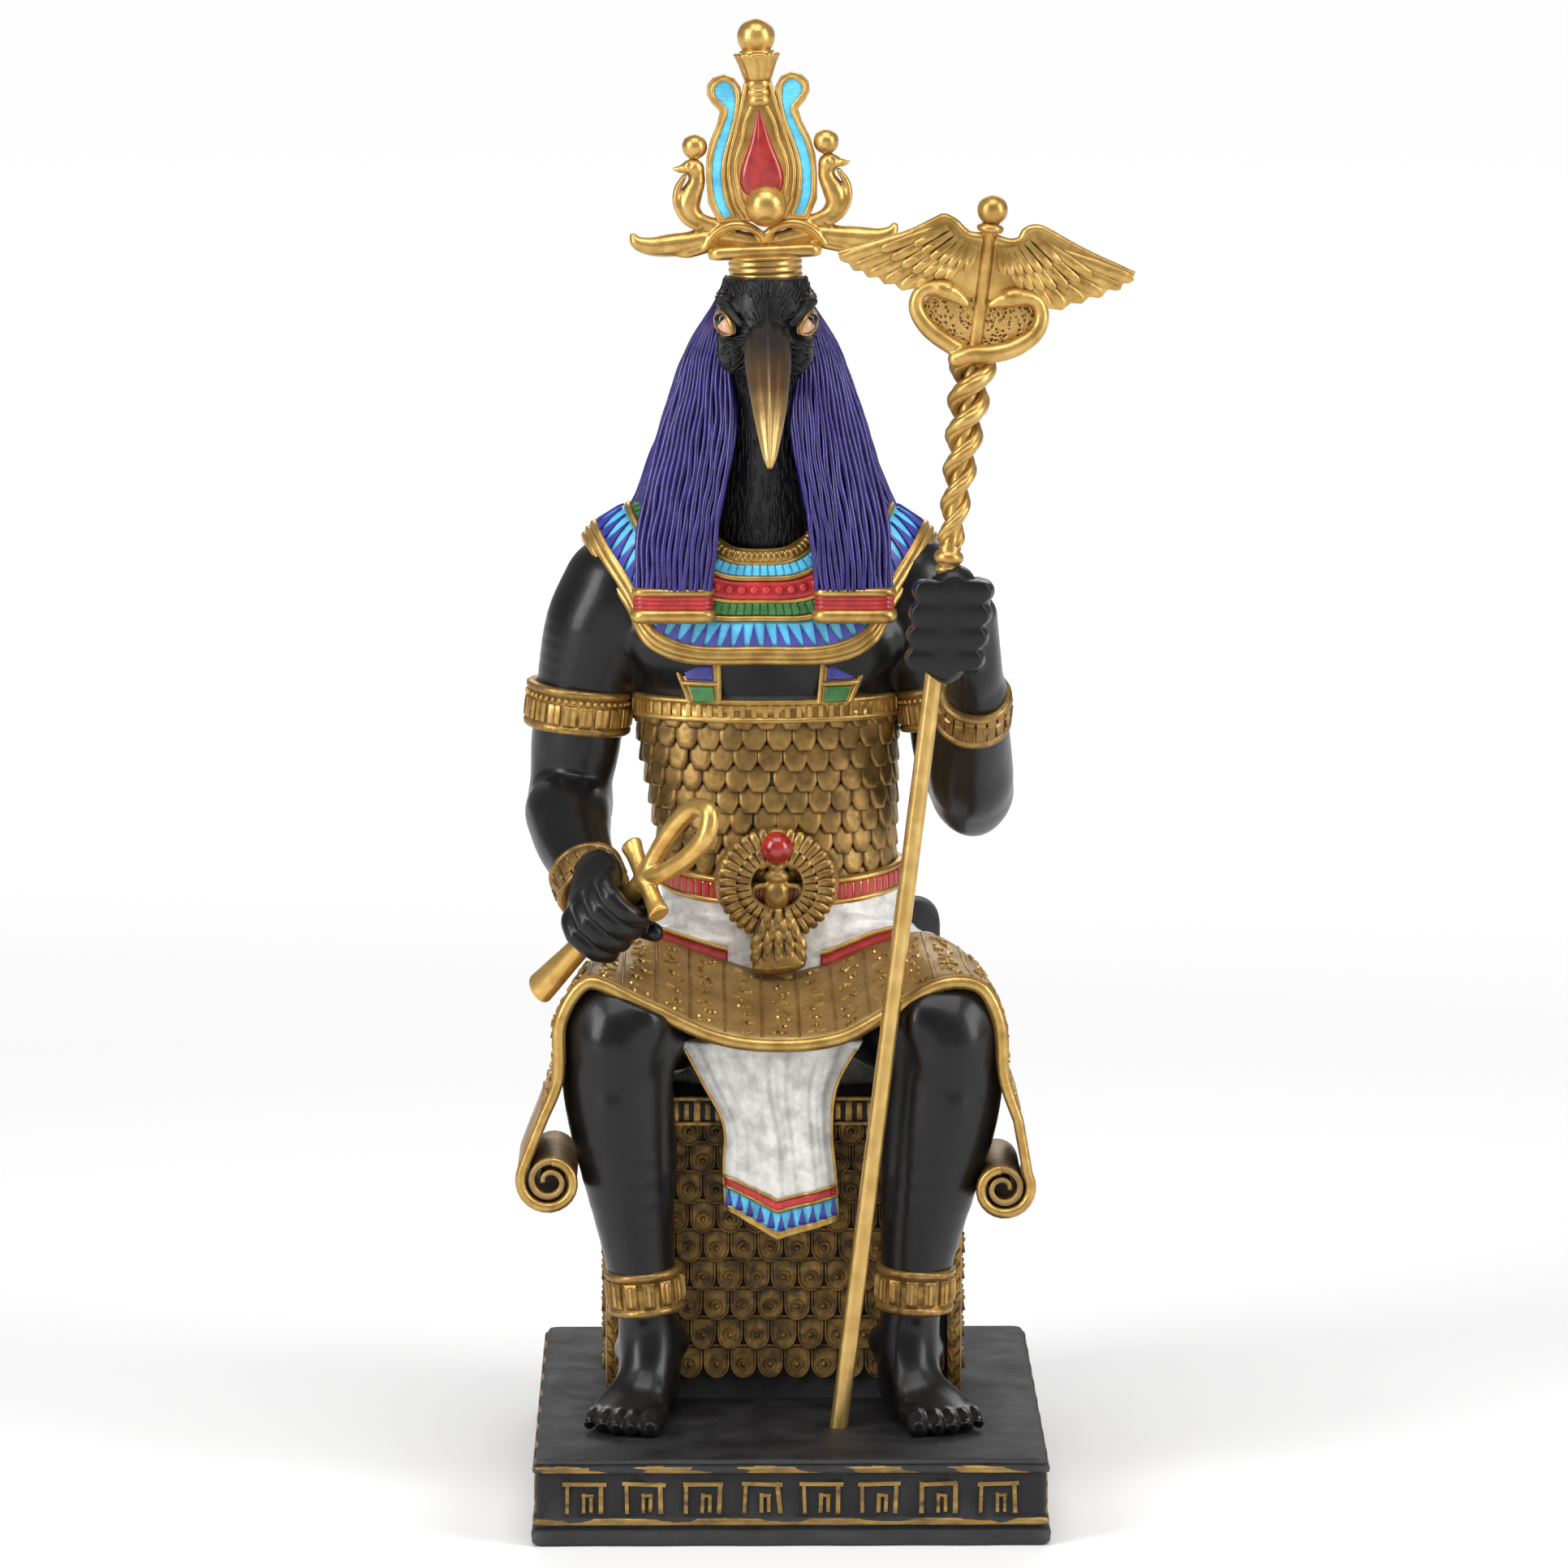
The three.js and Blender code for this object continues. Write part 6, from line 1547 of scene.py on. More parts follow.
def makePapyrus(s):
    paper = makePapyrusPaper()
    grid, normals, share = papyrusGrid(s)
    slab("papyrus", grid, grid - normals * (share * s["thick"])[None, :, None], paper)
    rim = grid[0] - normals[0] * (share * 0.5 * s["thick"])[:, None]
    middle = [[*(p + np.array([0, 0.4, 0])), 0.55 + 0.5 * k] for p, k in zip(rim[30:-30], share[30:-30])]
    wires("papyrus_rim", [middle], 1.25, gold, sides=10)
    back = grid[-1] - normals[-1] * (share * 0.5 * s["thick"])[:, None]
    wires("papyrus_back_rim", [back[48:-48]], 0.72, wornGold)
    # dividers and rows of plain strokes between them
    top = grid[:, 52:-52]
    normal = normals[:, 52:-52]
    far = np.concatenate([[0], np.cumsum(np.linalg.norm(np.diff(top[0], axis=0), axis=1))])
    rng = np.random.default_rng(17)
    dividers, strokes = [], []

    def sheetAt(along, deep, lift):
        i = np.interp(along, far, np.arange(len(far)))
        low = min(int(i), len(far) - 2)
        j = min(int(deep * 15), 14)
        f, g = i - low, deep * 15 - j
        mix = lambda a: ((a[j, low] * (1 - f) + a[j, low + 1] * f) * (1 - g) + (a[j + 1, low] * (1 - f) + a[j + 1, low + 1] * f) * g)
        facing = unit(mix(normal))
        return mix(top) + facing * lift, facing

    for column in range(s["columns"] + 1):
        along = far[-1] * (column + 0.02) / (s["columns"] + 0.04)
        dividers.append([sheetAt(along, d, 0.05)[0] for d in np.linspace(0.02, 0.98, 16)])
        if column == s["columns"]:
            break
        pitch = far[-1] / s["columns"]
        for row in range(8):
            deep = (row + 0.7) / 8.6
            for _ in range(3):
                x = along + pitch * (0.5 + rng.uniform(-0.24, 0.24))
                spot, facing = sheetAt(x, deep + rng.uniform(-0.03, 0.03), 0.05)
                turn = rng.choice([0, 90, 35, -35]) + rng.normal(0, 6)
                lean = math.cos(math.radians(turn)) * -front + math.sin(math.radians(turn)) * unit(np.cross(-front, facing))
                strokes.append([spot, facing, unit(lean), (1, rng.uniform(0.5, 1.1), 1)])
    wires("papyrus_dividers", dividers, 0.3, wornGold, sides=5)
    setOut("papyrus_strokes", strokes, bar, (0.55, 2.0, 0.4), gold)


makePapyrus(papyrusSet)


# The crown: drum, plate, horns, birds, plumes, vase and balls
print("crown")
crownSet = dict(place=np.array([-4.2, 14, 237.3]), turn=math.radians(2.3), drum=7.2)


def crownAt(x, y, z):
    # from the crown's own upright axis to the statue
    c, s = math.cos(crownSet["turn"]), math.sin(crownSet["turn"])
    return crownSet["place"] + np.array([x * c - z * s, y, x * s + z * c])


def turnedOn(name, profile, where, material, sides=48, centre=(0, 0), sharp=None, flute=None):
    # profile holds radius and height; flute(angle, height) may swell the radius
    rings = []
    for radius, z in profile:
        ring = []
        for a in np.linspace(0, 2 * math.pi, sides, endpoint=False):
            r = radius * (flute(a, z) if flute else 1)
            ring.append(where(centre[0] + r * math.cos(a), centre[1] + r * math.sin(a), z))
        rings.append(ring)
    return loft(name, rings, material, sharp=sharp)


def roundBall(name, x, y, z, radius, where, material, squash=1.0):
    rings = [[radius * math.sin(a), z - radius * squash * math.cos(a)] for a in np.linspace(0.06, math.pi - 0.06, 20)]
    return turnedOn(name, rings, where, material, 32, (x, y))


def inlayGrid(outer, inner, depth, turn, facing, hatch):
    # a strip between two lines with slanted hatching; facing is -1 on the front and 1 on the back
    outer = smoothPath(outer, 90)
    inner = smoothPath(inner, 90)
    grid = []
    for i in range(90):
        row = []
        for u in np.linspace(0, 1, 9):
            x, z = outer[i] * (1 - u) + inner[i] * u
            crown_ = 0.35 * (1 - (2 * u - 1) ** 4)
            relief = hatch * math.sin(i * 1.35 + u * 4)
            row.append(crownAt(turn * x, facing * (depth + crown_ + relief), z))
        grid.append(row)
    return np.array(grid)


def makeCrown(s):
    slot = "crown_gold"
    ribs = [(s["drum"] * 0.96, 0), (s["drum"], 0.1)]
    for i in range(4):
        ribs += [(s["drum"] - 0.1, 0.5 + i * 1.3), (s["drum"] + 0.12, 0.8 + i * 1.3), (s["drum"] + 0.12, 1.3 + i * 1.3),
                 (s["drum"] - 0.1, 1.6 + i * 1.3)]
    ribs += [(s["drum"] + 0.1, 5.8), (s["drum"] + 0.6, 6.3), (s["drum"] - 1, 6.6)]
    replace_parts(turnedOn("crown_drum", ribs, crownAt, crownGold, 72), "crown")
    plate = []
    for z, out in [(6.0, -0.8), (6.2, -0.2), (6.8, 0.05), (7.6, 0.05), (8.3, -0.15), (8.6, -0.8)]:
        plate.append([crownAt(x, y, z) for x, y in roundedLoop(11.2 + out, 4.4 + out, 2.2, 10)])
    loft("crown_plate", plate, crownGold)
    clay = Clay([-37, 3, 242], [29, 25, 268], 0.28)

    def at(x, z, radius, y=0.0, deep=None):
        return [*crownAt(x, y, z), radius] + ([deep] if deep else [])
    for turn in (-1, 1):
        clay.limb([at(turn * 25.9, 11.2, 0.75), at(turn * 25.1, 9.9, 1.35), at(turn * 22.4, 9.1, 1.9), at(turn * 18.4, 9.2, 2.35),
                   at(turn * 14.6, 9.6, 2.2), at(turn * 11, 10.2, 1.9), at(turn * 7.5, 10.4, 1.8), at(turn * 3, 9.4, 1.6)],
                  0.6, front, count=30)
        clay.limb([at(turn * 17.9, 7.4, 0.4, -1), at(turn * 15.4, 7.3, 0.8, -1), at(turn * 12.4, 8, 0.9, -1), at(turn * 10, 8.6, 0.8, -1)],
                  0.3, front)
        for y in (-1.6, 1.6):
            clay.limb([at(turn * 11.6, 8.6, 0.75, y), at(turn * 9.8, 11, 0.85, y), at(turn * 6.8, 12.5, 0.95, y), at(turn * 3.6, 12.4, 0.9, y),
                       at(turn * 0.9, 10.9, 0.75, y), at(0.2, 9.2, 0.6, y)], 0.25, front, count=20)
            clay.limb([at(turn * 8.8, 9.4, 0.85, y * 1.9), at(turn * 6.4, 10.6, 1.15, y * 1.9), at(turn * 3.4, 9.9, 0.95, y * 1.9)], 0.25, carve=True)
        clay.ball(crownAt(turn * 13.5, 0, 24.4), [2.1, 1.9, 1.8], 0.4)         # the bird's head
        clay.limb([at(turn * 14.6, 24.4, 1.1), at(turn * 16.2, 24.1, 0.75), at(turn * 17.4, 24.3, 0.35)], 0.5)
        clay.limb([at(turn * 12.9, 23.6, 1.6), at(turn * 12.9, 21.4, 1.7), at(turn * 14.1, 18.8, 2.2), at(turn * 14.7, 16.4, 2.3),
                   at(turn * 13.4, 14.2, 1.9), at(turn * 10.6, 12.9, 1.6), at(turn * 7.5, 12.5, 1.2)], 0.6, front, count=24)
        for y in (-1.9, 1.9):
            clay.limb([at(turn * 15.3, 22.6, 0.55, y * 0.7), at(turn * 16.8, 20, 0.75, y * 0.6), at(turn * 16.9, 17, 0.85, y * 0.6), at(turn * 15.4, 14.1, 0.8, y * 0.7),
                       at(turn * 13, 12.4, 0.7, y * 0.7)], 0.3, count=20)
            clay.limb([at(turn * 13.2, 21.6, 0.3, y * 1.1), at(turn * 12.2, 19.4, 0.35, y * 1.2), at(turn * 13.2, 16.4, 0.35, y * 1.2),
                       at(turn * 12.2, 14.6, 0.3, y * 1.1)], 0.1, carve=True)
            clay.ball(crownAt(turn * 14, y * 0.85, 24.9), 0.45, 0.1, carve=True)
    clay.limb([at(-9.5, 9.2, 2, 0, 1.3), at(0, 9, 2, 0, 1.3), at(9.5, 9.2, 2, 0, 1.3)], 0.4, front)
    clay.skin("crown_horns_and_birds", crownGold, slot, 0.7)
    for turn, label in ((-1, "right"), (1, "left")):
        roundBall("crown_ball_" + label, turn * 13, 0, 28.4, 2.5, crownAt, crownGold)
    backing = [(8.9, 13.2), (10.8, 17.2), (11, 22), (10.8, 26), (9.9, 29.4), (8.4, 32.6), (7.7, 35.2), (9.2, 36.8), (10.2, 38.6),
               (10, 40.4), (8.8, 41.9), (6.6, 42.5), (4.6, 41.6), (3.4, 39.6), (3.2, 36), (3.9, 32.2), (5.4, 28), (6.6, 24), (6.8, 20.4),
               (5.8, 16.4), (4, 13.2)]
    outer = [(8.2, 14.1), (9.7, 17.2), (10.2, 21.2), (10, 25.2), (9.1, 28.9), (7.6, 32.2), (6.6, 35.2), (7.8, 36.9), (9, 38.4),
             (8.9, 40.1), (7.6, 41.2), (6.4, 41.5)]
    inner = [(5.6, 14.4), (7, 17.4), (7.6, 21.4), (7.3, 25.4), (6.3, 28.9), (5.1, 32.4), (4.5, 35.2), (4.2, 37), (4.2, 38.6),
             (4.7, 40.2), (5.6, 41.1), (6.2, 41.4)]
    lines = []
    for turn, label in ((-1, "right"), (1, "left")):
        plateOf("crown_plume_" + label, [(turn * x, z) for x, z in backing], crownAt, -1.5, 1.5, crownGold, 0.4)
        for facing, face in ((-1, "front"), (1, "back")):
            grid = inlayGrid(outer, inner, 1.3, turn, facing, 0.07)
            slab("crown_inlay_%s_%s" % (label, face), grid, grid - np.array([0, facing * 0.9, 0]), skyBlue)
            edge = [*smoothPath(outer, 40), *smoothPath(inner, 40)[::-1]]
            lines.append([crownAt(turn * x, facing * 1.55, z) for x, z in edge + edge[:1]])
    heart = [(0, 13), (4.6, 13.4), (6.4, 16.6), (7.2, 21.8), (6.6, 26), (5, 31), (4, 36), (2.6, 40.2)]
    plateOf("crown_middle", heart + [(-x, z) for x, z in heart[:0:-1]], crownAt, -1.35, 1.35, crownGold, 0.3)
    for turn in (-1, 1):
        for facing in (-1, 1):
            for track in ([(2.3, 40.6), (3.5, 36), (4.7, 31.4), (6.2, 26), (6.5, 21.8), (5.5, 16.8), (3.8, 13.8)],
                          [(1.4, 36), (2.9, 32.8), (3.6, 29.2), (4.9, 25.6), (5.1, 21.8), (4.1, 17.4), (2.6, 14.8)]):
                lines.append([crownAt(turn * x, facing * 1.5, z) for x, z in smoothPath(track, 30)])
    wires("crown_lines", lines, 0.42, crownGold, sides=8)
    for facing, face in ((-1, "front"), (1, "back")):
        makeDrop("crown_drop_" + face, facing)
    vase = [(2.2, 36), (2.5, 36.4), (2.7, 37), (2.5, 37.7), (2.3, 37.9), (2.55, 38.2), (2.7, 38.7), (2.55, 39.2), (2.3, 39.4), (2.6, 39.8),
            (2.75, 40.3), (2.6, 40.8), (2.5, 41.2)]
    turnedOn("crown_rings", vase, crownAt, crownGold)
    cup = [(2.6, 40.9), (2.9, 41.8), (3.2, 43), (3.7, 44.4), (4.25, 45.6), (4.5, 46.1), (4.1, 46.5), (3.0, 46.5)]
    turnedOn("crown_lotus", cup, crownAt, crownGold, 96,
             flute=lambda a, z: 1 + 0.05 * math.cos(a * 12 + (z - 41) * 0.5) * min(1, max(0, (z - 41) / 1.5)) * (z < 46.2))
    turnedOn("crown_cap", [(2.4, 45.8), (3.3, 46.3), (3.4, 46.8), (2.6, 47.2)], crownAt, crownGold)
    roundBall("crown_top_ball", 0, 0, 49.5, 3.75, crownAt, crownGold)
    roundBall("crown_low_ball", 0.6, -2.2, 16.3, 4.15, crownAt, crownGold)


def makeDrop(name, facing):
    # the red stone, with a ridge down its middle
    rings = []
    outline = [(0.15, 35.2), (0.9, 33), (1.7, 30.6), (2.7, 27.6), (3.9, 24.4), (4.4, 21.8), (4.0, 19.6), (2.6, 18.2), (0.9, 17.6)]
    for x, z in smoothPath(outline, 40):
        ring = []
        for u in np.linspace(-1, 1, 13):
            bulge = 1.3 + 1.1 * math.sqrt(max(0, 1 - u * u)) * min(1, x / 2.2) + 0.25 * math.exp(-(u / 0.12) ** 2) * min(1, x / 2)
            ring.append(crownAt(u * x, facing * bulge, z))
        rings.append(ring)
    grid = np.array(rings)
    flat = grid.copy()
    flat[..., 1] = crownSet["place"][1] + facing * 0.9
    slab(name, grid, flat, redStone)


crownGold = makeGold("crown_gold_paint", (0.70, 0.45, 0.14), (0.48, 0.28, 0.075), wear=0.3, reach=0.0009, rough=0.3)
makeCrown(crownSet)


# The ankh held in the right fist
print("ankh")


def ankhAt(x, y, z):
    deep = -np.cross(ankhSet["across"], ankhSet["along"])
    return ankhSet["centre"] + ankhSet["across"] * x + deep * y + ankhSet["along"] * z


def makeAnkh():
    clay = Clay([-55, -38, 94], [-10, -1, 145], 0.3)
    deep = -np.cross(ankhSet["across"], ankhSet["along"])

    def line(points, soft, count, carve=False):
        clay.limb([[*ankhAt(x, y, z), wide, thick] for x, y, z, wide, thick in points], soft, deep, count, carve)
    line([(0, 0, -35, 3.4, 2.5), (0, 0, -33.5, 3.3, 2.4), (0, 0, -20, 2.4, 2), (0, 0, 0, 2.0, 1.9)], 0.4, 14)
    line([(-8.6, 0, 0, 2.4, 1.9), (-6, 0, 0, 1.9, 1.7), (0, 0, 0, 1.8, 1.8), (6, 0, 0, 1.9, 1.7), (8.6, 0, 0, 2.4, 1.9)], 0.5, 14)
    line([(0, 0, 0.5, 1.8, 1.8), (-2.3, 0, 5, 1.85, 1.8), (-4, 0, 12, 2, 1.8), (-3.6, 0, 18, 2, 1.8), (0, 0, 21, 2.05, 1.8),
          (3.6, 0, 18, 2, 1.8), (4, 0, 12, 2, 1.8), (2.3, 0, 5, 1.85, 1.8), (0, 0, 0.5, 1.8, 1.8)], 0.4, 44)
    clay.cut(lambda x, y, z: np.maximum.reduce([cutFace(x, y, z, face) for face in ankhFaces()]))
    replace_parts(clay.skin("ankh_figure", ankhGold, "ankh_gold"), "ankh")


def ankhFaces():
    # flat ends of the shaft and the two arms
    return [(ankhAt(0, 0, -36), -ankhSet["along"]), (ankhAt(9, 0, 0), ankhSet["across"]), (ankhAt(-9, 0, 0), -ankhSet["across"])]


def cutFace(x, y, z, face):
    place_, away = face
    beyond = (x - place_[0]) * away[0] + (y - place_[1]) * away[1] + (z - place_[2]) * away[2]
    return beyond


ankhGold = makeGold("ankh_gold_paint", (0.74, 0.47, 0.14), (0.54, 0.31, 0.08), wear=0.1, reach=0.0008, rough=0.3)
makeAnkh()


# The staff: its rod, the twisted serpents and the winged head
print("staff")
staffSide = unit(np.cross([0, 1, 0], rodAxis))
staffDepth = np.cross(rodAxis, staffSide)
staffFoot = rod["top"] + rodAxis * 2.6


def rodAt(x, y, z):
    return rod["foot"] + staffSide * x + staffDepth * y + rodAxis * z


def staffAt(x, y, z):
    # depth runs backwards from the viewer's side
    return staffFoot + staffSide * x + staffDepth * y + rodAxis * z


def makeRod():
    length = np.linalg.norm(rod["top"] - rod["foot"])
    r = rod["radius"]
    profile = [(r - 0.3, 0), (r, 0.3)] + [(r * (1 + 0.012 * math.sin(i * 2.1)), z) for i, z in enumerate(np.linspace(2, length - 2, 30))]
    profile += [(r, length - 0.3), (r - 0.3, length)]
    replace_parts(turnedOn("staff_shaft", profile, rodAt, rodMetal, 28), "staff_rod")


staffSet = dict(
    wings={
        "right": [(-1.2, 53.5), (-1.2, 65), (-3.9, 65.1), (-5.5, 66), (-7.1, 67.3), (-9, 68), (-10.6, 67.2), (-15.2, 64.3), (-20.4, 62), (-28.4, 58.6),
                  (-27.6, 57.4), (-26.2, 57.2), (-25.2, 55.9), (-23.4, 56.1), (-22.2, 54.9), (-20.2, 55.3), (-18.9, 54), (-17, 54.4), (-15.4, 53.2),
                  (-12.9, 54), (-8, 53)],
        "left": [(1.2, 53.5), (1.2, 65), (4.1, 64.6), (6.3, 65.4), (7.2, 67.4), (9.1, 68.1), (11.2, 67.6), (15.4, 65.9), (20.1, 64.2), (24.4, 62.9),
                 (28.6, 61.6), (28.1, 60), (26.8, 59.8), (25.8, 58.2), (24, 58.3), (22.6, 56.4), (20.6, 56.4), (19.2, 54.9), (17.2, 54.8), (15.6, 53.2),
                 (13.2, 53.2), (8, 53)]})


def makeWingFeathers(label, turn):
    # three layers, each fanning from the wing's elbow towards the tips
    feathers = []
    tips = {"right": [(-27.6, 57.9), (-24.9, 56.6), (-21.8, 55.6), (-18.6, 54.6), (-15.4, 53.8), (-12.6, 54.4)],
            "left": [(28.2, 60.8), (26, 58.9), (22.9, 57.2), (19.4, 55.5), (16.0, 54), (13.0, 53.6)]}[label]
    starts = [(turn * x, z) for x, z in [(14.5, 64), (13.2, 62.8), (12, 61.6), (10.8, 60.6), (9.6, 59.8), (8.4, 59.2)]]
    rows = [(tips, starts, 2.3, 0.0)]
    middle = [(turn * x, z) for x, z in [(20.2, 60.6), (18, 59.2), (15.8, 58), (13.6, 57.2), (11.4, 56.8), (9.2, 56.6), (7.2, 56.6)]]
    rows.append((middle, [(turn * x, z) for x, z in [(11, 65.4), (9.8, 64.6), (8.6, 63.8), (7.4, 63.2), (6.2, 62.6), (5.2, 62.4), (4.2, 62)]], 2.0, 0.55))
    short = [(turn * x, z) for x, z in [(14, 62.4), (12.4, 61.2), (10.6, 60.2), (8.8, 59.6), (7, 59.2), (5.2, 59), (3.6, 58.8)]]
    rows.append((short, [(turn * x, z) for x, z in [(8.4, 66.4), (7.4, 65.4), (6.2, 64.6), (5, 64.2), (4, 63.8), (3, 63.6), (2.2, 63.4)]], 1.7, 1.05))
    for layer, (ends, begins, wide, lift) in enumerate(rows):
        for i, (end, begin) in enumerate(zip(ends, begins)):
            for facing in (-1, 1):
                depth = facing * (1.1 + lift)
                a, b = staffAt(begin[0], depth, begin[1]), staffAt(end[0], depth * 0.92, end[1])
                length = np.linalg.norm(b - a)
                feathers.append([(a + b) / 2, unit(staffDepth * facing), unit(a - b), (wide * 1.06, length * 1.06, 0.7)])
    return feathers


def makeStaffHead(s):
    slot = "staff_gold"
    clay = Clay([5, -38, 222], [52, -18, 252], 0.25)

    def at(x, z, radius, y=0.0):
        return [*staffAt(x, y, z), radius]
    rightNeck = [at(-3.4, 41.5, 1.7, -2.2), at(-0.6, 42.8, 1.8, -2.8), at(3.2, 43.4, 1.85, -2.9), at(7.4, 45, 1.8, -2.2), at(10.9, 47.9, 1.6, -1.4),
                 at(12, 51.2, 1.45, -1), at(10.9, 54, 1.4, -1.1), at(8.4, 54.8, 1.6, -1.4), at(5.6, 54.5, 1.95, -1.7), at(3.4, 53.5, 1.3, -1.9),
                 at(1.9, 52.6, 0.7, -1.9)]
    leftNeck = [at(2.6, 40.4, 1.5, -0.2), at(-1, 42.4, 1.6, -0.8), at(-5.6, 44.4, 1.75, -1.4), at(-9.6, 46.8, 1.7, -1.3), at(-12.2, 50, 1.5, -1),
                at(-12, 53, 1.4, -1.1), at(-9.6, 54.6, 1.45, -1.3), at(-7, 54.4, 1.9, -1.7), at(-4.6, 53.4, 1.4, -1.9), at(-2.9, 52.3, 0.8, -1.9)]
    clay.limb(leftNeck, 0.3, staffDepth, count=44)
    clay.limb(rightNeck, 0.3, staffDepth, count=44)
    for x, z in ((4.7, 54.6), (-6.4, 54.5)):
        turn = 1 if x > 0 else -1
        clay.ball(staffAt(x, -3.25, z), 0.75, 0.1)
        clay.ball(staffAt(x, -3.9, z), 0.42, 0.05, carve=True)
        clay.limb([at(x - turn * 3.2, z - 2.5, 0.22, -2.9), at(x - turn * 1, z - 1.3, 0.26, -3.4), at(x + turn * 1.4, z - 1.2, 0.2, -3.3)], 0.05,
                  carve=True)
    clay.skin("staff_serpents", staffGold, slot, 0.8)
    # shaft, rings and ball
    profile = [(1.5, 0), (2.2, 0.1), (2.4, 0.7), (2.1, 1.3), (1.7, 1.5), (2.3, 1.9), (2.9, 2.6), (2.95, 3.3), (2.6, 4), (2.1, 4.4), (2.3, 5),
               (1.7, 5.6), (1.6, 8), (1.5, 42), (1.55, 66.2), (2.3, 66.5), (2.6, 66.9), (2.6, 67.4), (2.2, 67.9), (1.7, 68.1)]
    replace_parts(turnedOn("staff_core", profile, staffAt, staffGold, 40, (0, 0)), "staff_head")
    spigot = [(rod["radius"] - 0.2, -2.3), (rod["radius"], -2.1), (rod["radius"], 0.4)]
    turnedOn("staff_spigot", spigot, staffAt, rodMetal, 28)
    roundBall("staff_ball", 0, 0, 70.7, 2.95, staffAt, staffGold)
    # two tails twisted round the shaft, each with fine grooves
    twist = []
    low, high, pitch = 4.8, 42.2, 13.4
    for strand in (0, 1):
        for part, offset in enumerate((-0.5, 0, 0.5)):
            line = []
            for z in np.linspace(low, high, 120):
                t = (z - low) / (high - low)
                core = 1.9 + 1.5 * t ** 1.3
                a = 2 * math.pi * z / pitch + math.pi * strand + offset
                reach = core * (0.86 if offset else 1.0)
                thick = core * (0.34 if offset else 0.42) * min(1, 0.3 + (z - low) / 3)
                line.append([*staffAt(reach * math.cos(a), reach * math.sin(a), z), thick])
            twist.append(line)
    wires("staff_twist", twist, 1.0, staffGold, sides=10)
    feathers = []
    for label, turn in (("right", -1), ("left", 1)):
        plateOf("staff_wing_" + label, s["wings"][label], staffAt, -1.1, 1.1, staffGold, 0.3)
        feathers += makeWingFeathers(label, turn)
    setOut("staff_feathers", feathers, feather, (1, 1, 1), staffGold)
    edges = []
    for label, end in (("right", 10), ("left", 11)):
        edges.append([[*staffAt(x, 0, z), 1.0 - 0.5 * k / end] for k, (x, z) in enumerate(s["wings"][label][1:end])])
    edges = [np.array(smoothPath(edge, 40)).tolist() for edge in edges]
    wires("staff_wing_edges", edges, 1.25, staffGold, sides=10)
    heart = [(0, 42), (6.5, 45), (10.5, 48.4), (11.4, 52), (9, 54.2), (3, 54.6), (0, 56), (-3, 54.6), (-9, 54.2), (-11.4, 51), (-9.6, 47), (-5, 44)]
    plateOf("staff_heart", heart, staffAt, -0.8, 0.8, stippledGold, 0.2)


def makeStippled():
    material, tree, shader = newMaterial("stippled_gold", (0.5, 0.3, 0.09), 0.42, metallic=0.7)
    dots = place(tree, "ShaderNodeTexVoronoi", Vector=objectPlace(tree), Scale=1300.0).outputs["Distance"]
    pit = between(tree, dots, 0.15, 0.55)
    tree.links.new(blendColors(tree, pit, (0.10, 0.05, 0.015, 1), (0.60, 0.38, 0.12, 1)), shader.inputs["Base Color"])
    addBump(tree, shader, pit, 0.8, 0.0004)
    return material


staffGold = makeGold("staff_gold_paint", (0.66, 0.42, 0.13), (0.42, 0.24, 0.06), wear=0.3, reach=0.0009, rough=0.33)
stippledGold = makeStippled()
makeRod()
makeStaffHead(staffSet)


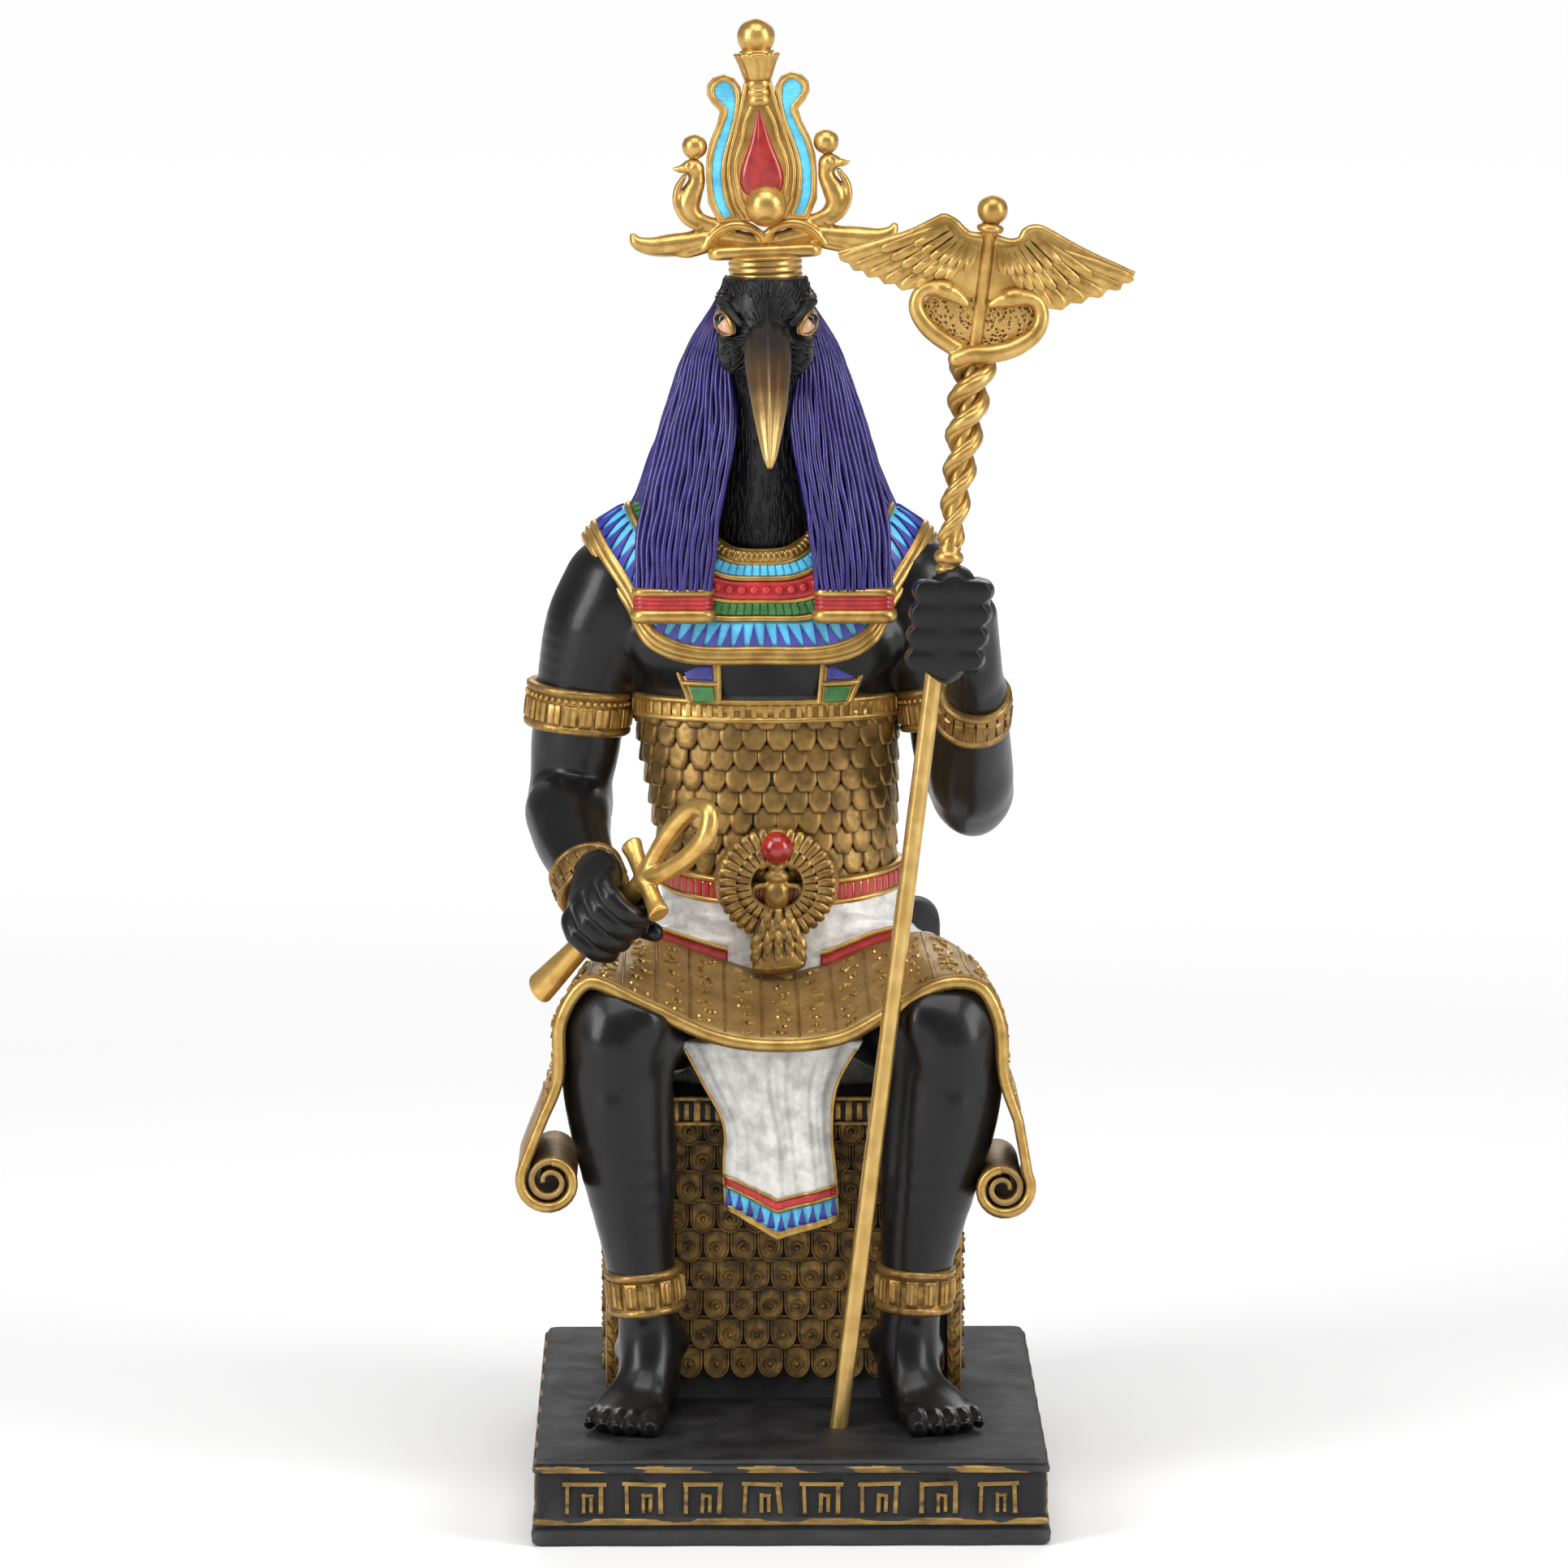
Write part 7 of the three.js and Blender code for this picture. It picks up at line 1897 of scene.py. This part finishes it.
# Camera, floor and light
cameraSet = dict(lens=175.97, place=(-15.80, -1502.10, 367.09), yaw=0.572, pitch=8.599)
camera = bpy.data.objects.new("camera", bpy.data.cameras.new("camera"))
bpy.context.collection.objects.link(camera)
camera.data.lens = cameraSet["lens"]
camera.data.sensor_width = 36
camera.data.clip_end = 20
camera.location = [v * mm for v in cameraSet["place"]]
camera.rotation_euler = (math.radians(90 - cameraSet["pitch"]), 0, -math.radians(cameraSet["yaw"]))
bpy.context.scene.camera = camera

floorMesh = bpy.data.meshes.new("floor")
floorMesh.from_pydata([(-14, -14, 0), (14, -14, 0), (14, 14, 0), (-14, 14, 0)], [], [(0, 1, 2, 3)])
floorMaterial, floorTree, floorShader = newMaterial("pale_floor", (0.86, 0.86, 0.86), 0.7)
# the lamps light the floor near the statue, and beyond them it glows as a lit studio floor does
floorPlace = place(floorTree, "ShaderNodeVectorMath", {"operation": "LENGTH"}, i0=objectPlace(floorTree)).outputs["Value"]
floorShader.inputs["Emission Color"].default_value = (1, 1, 1, 1)
floorTree.links.new(between(floorTree, floorPlace, 0.5, 2.2, (0.05, 0.75)), floorShader.inputs["Emission Strength"])
floorMesh.materials.append(floorMaterial)
floor = bpy.data.objects.new("floor", floorMesh)
bpy.context.collection.objects.link(floor)


def softLight(name, place_, target, size, power):
    light = bpy.data.lights.new(name, "AREA")
    light.shape = "RECTANGLE"
    light.size, light.size_y = size
    light.energy = power
    lamp = bpy.data.objects.new(name, light)
    bpy.context.collection.objects.link(lamp)
    lamp.location = place_
    aim = np.array(target) - np.array(place_)
    lamp.rotation_euler = (math.atan2(math.hypot(aim[0], aim[1]), -aim[2]), 0, math.atan2(-aim[0], aim[1]))


softLight("left_box", (-1.1, -0.75, 0.75), (0, 0, 0.14), (0.5, 1.1), 13)
softLight("right_box", (1.15, -0.6, 0.7), (0, 0, 0.14), (0.5, 1.1), 11)
softLight("top_box", (0, -0.5, 1.5), (0, 0, 0.12), (1.2, 0.8), 11)
softLight("back_box", (0.1, 1.5, 1.0), (0, 0, 0.14), (1.4, 0.8), 9)
world = bpy.data.worlds.new("studio")
bpy.context.scene.world = world
world.use_nodes = True
sky = world.node_tree.nodes["Background"]
sky.inputs[0].default_value = (1, 1, 1, 1)
seen = place(world.node_tree, "ShaderNodeLightPath").outputs["Is Camera Ray"]
world.node_tree.links.new(between(world.node_tree, seen, 0, 1, (0.26, 1.0)), sky.inputs[1])
bpy.context.scene.view_settings.view_transform = "Standard"
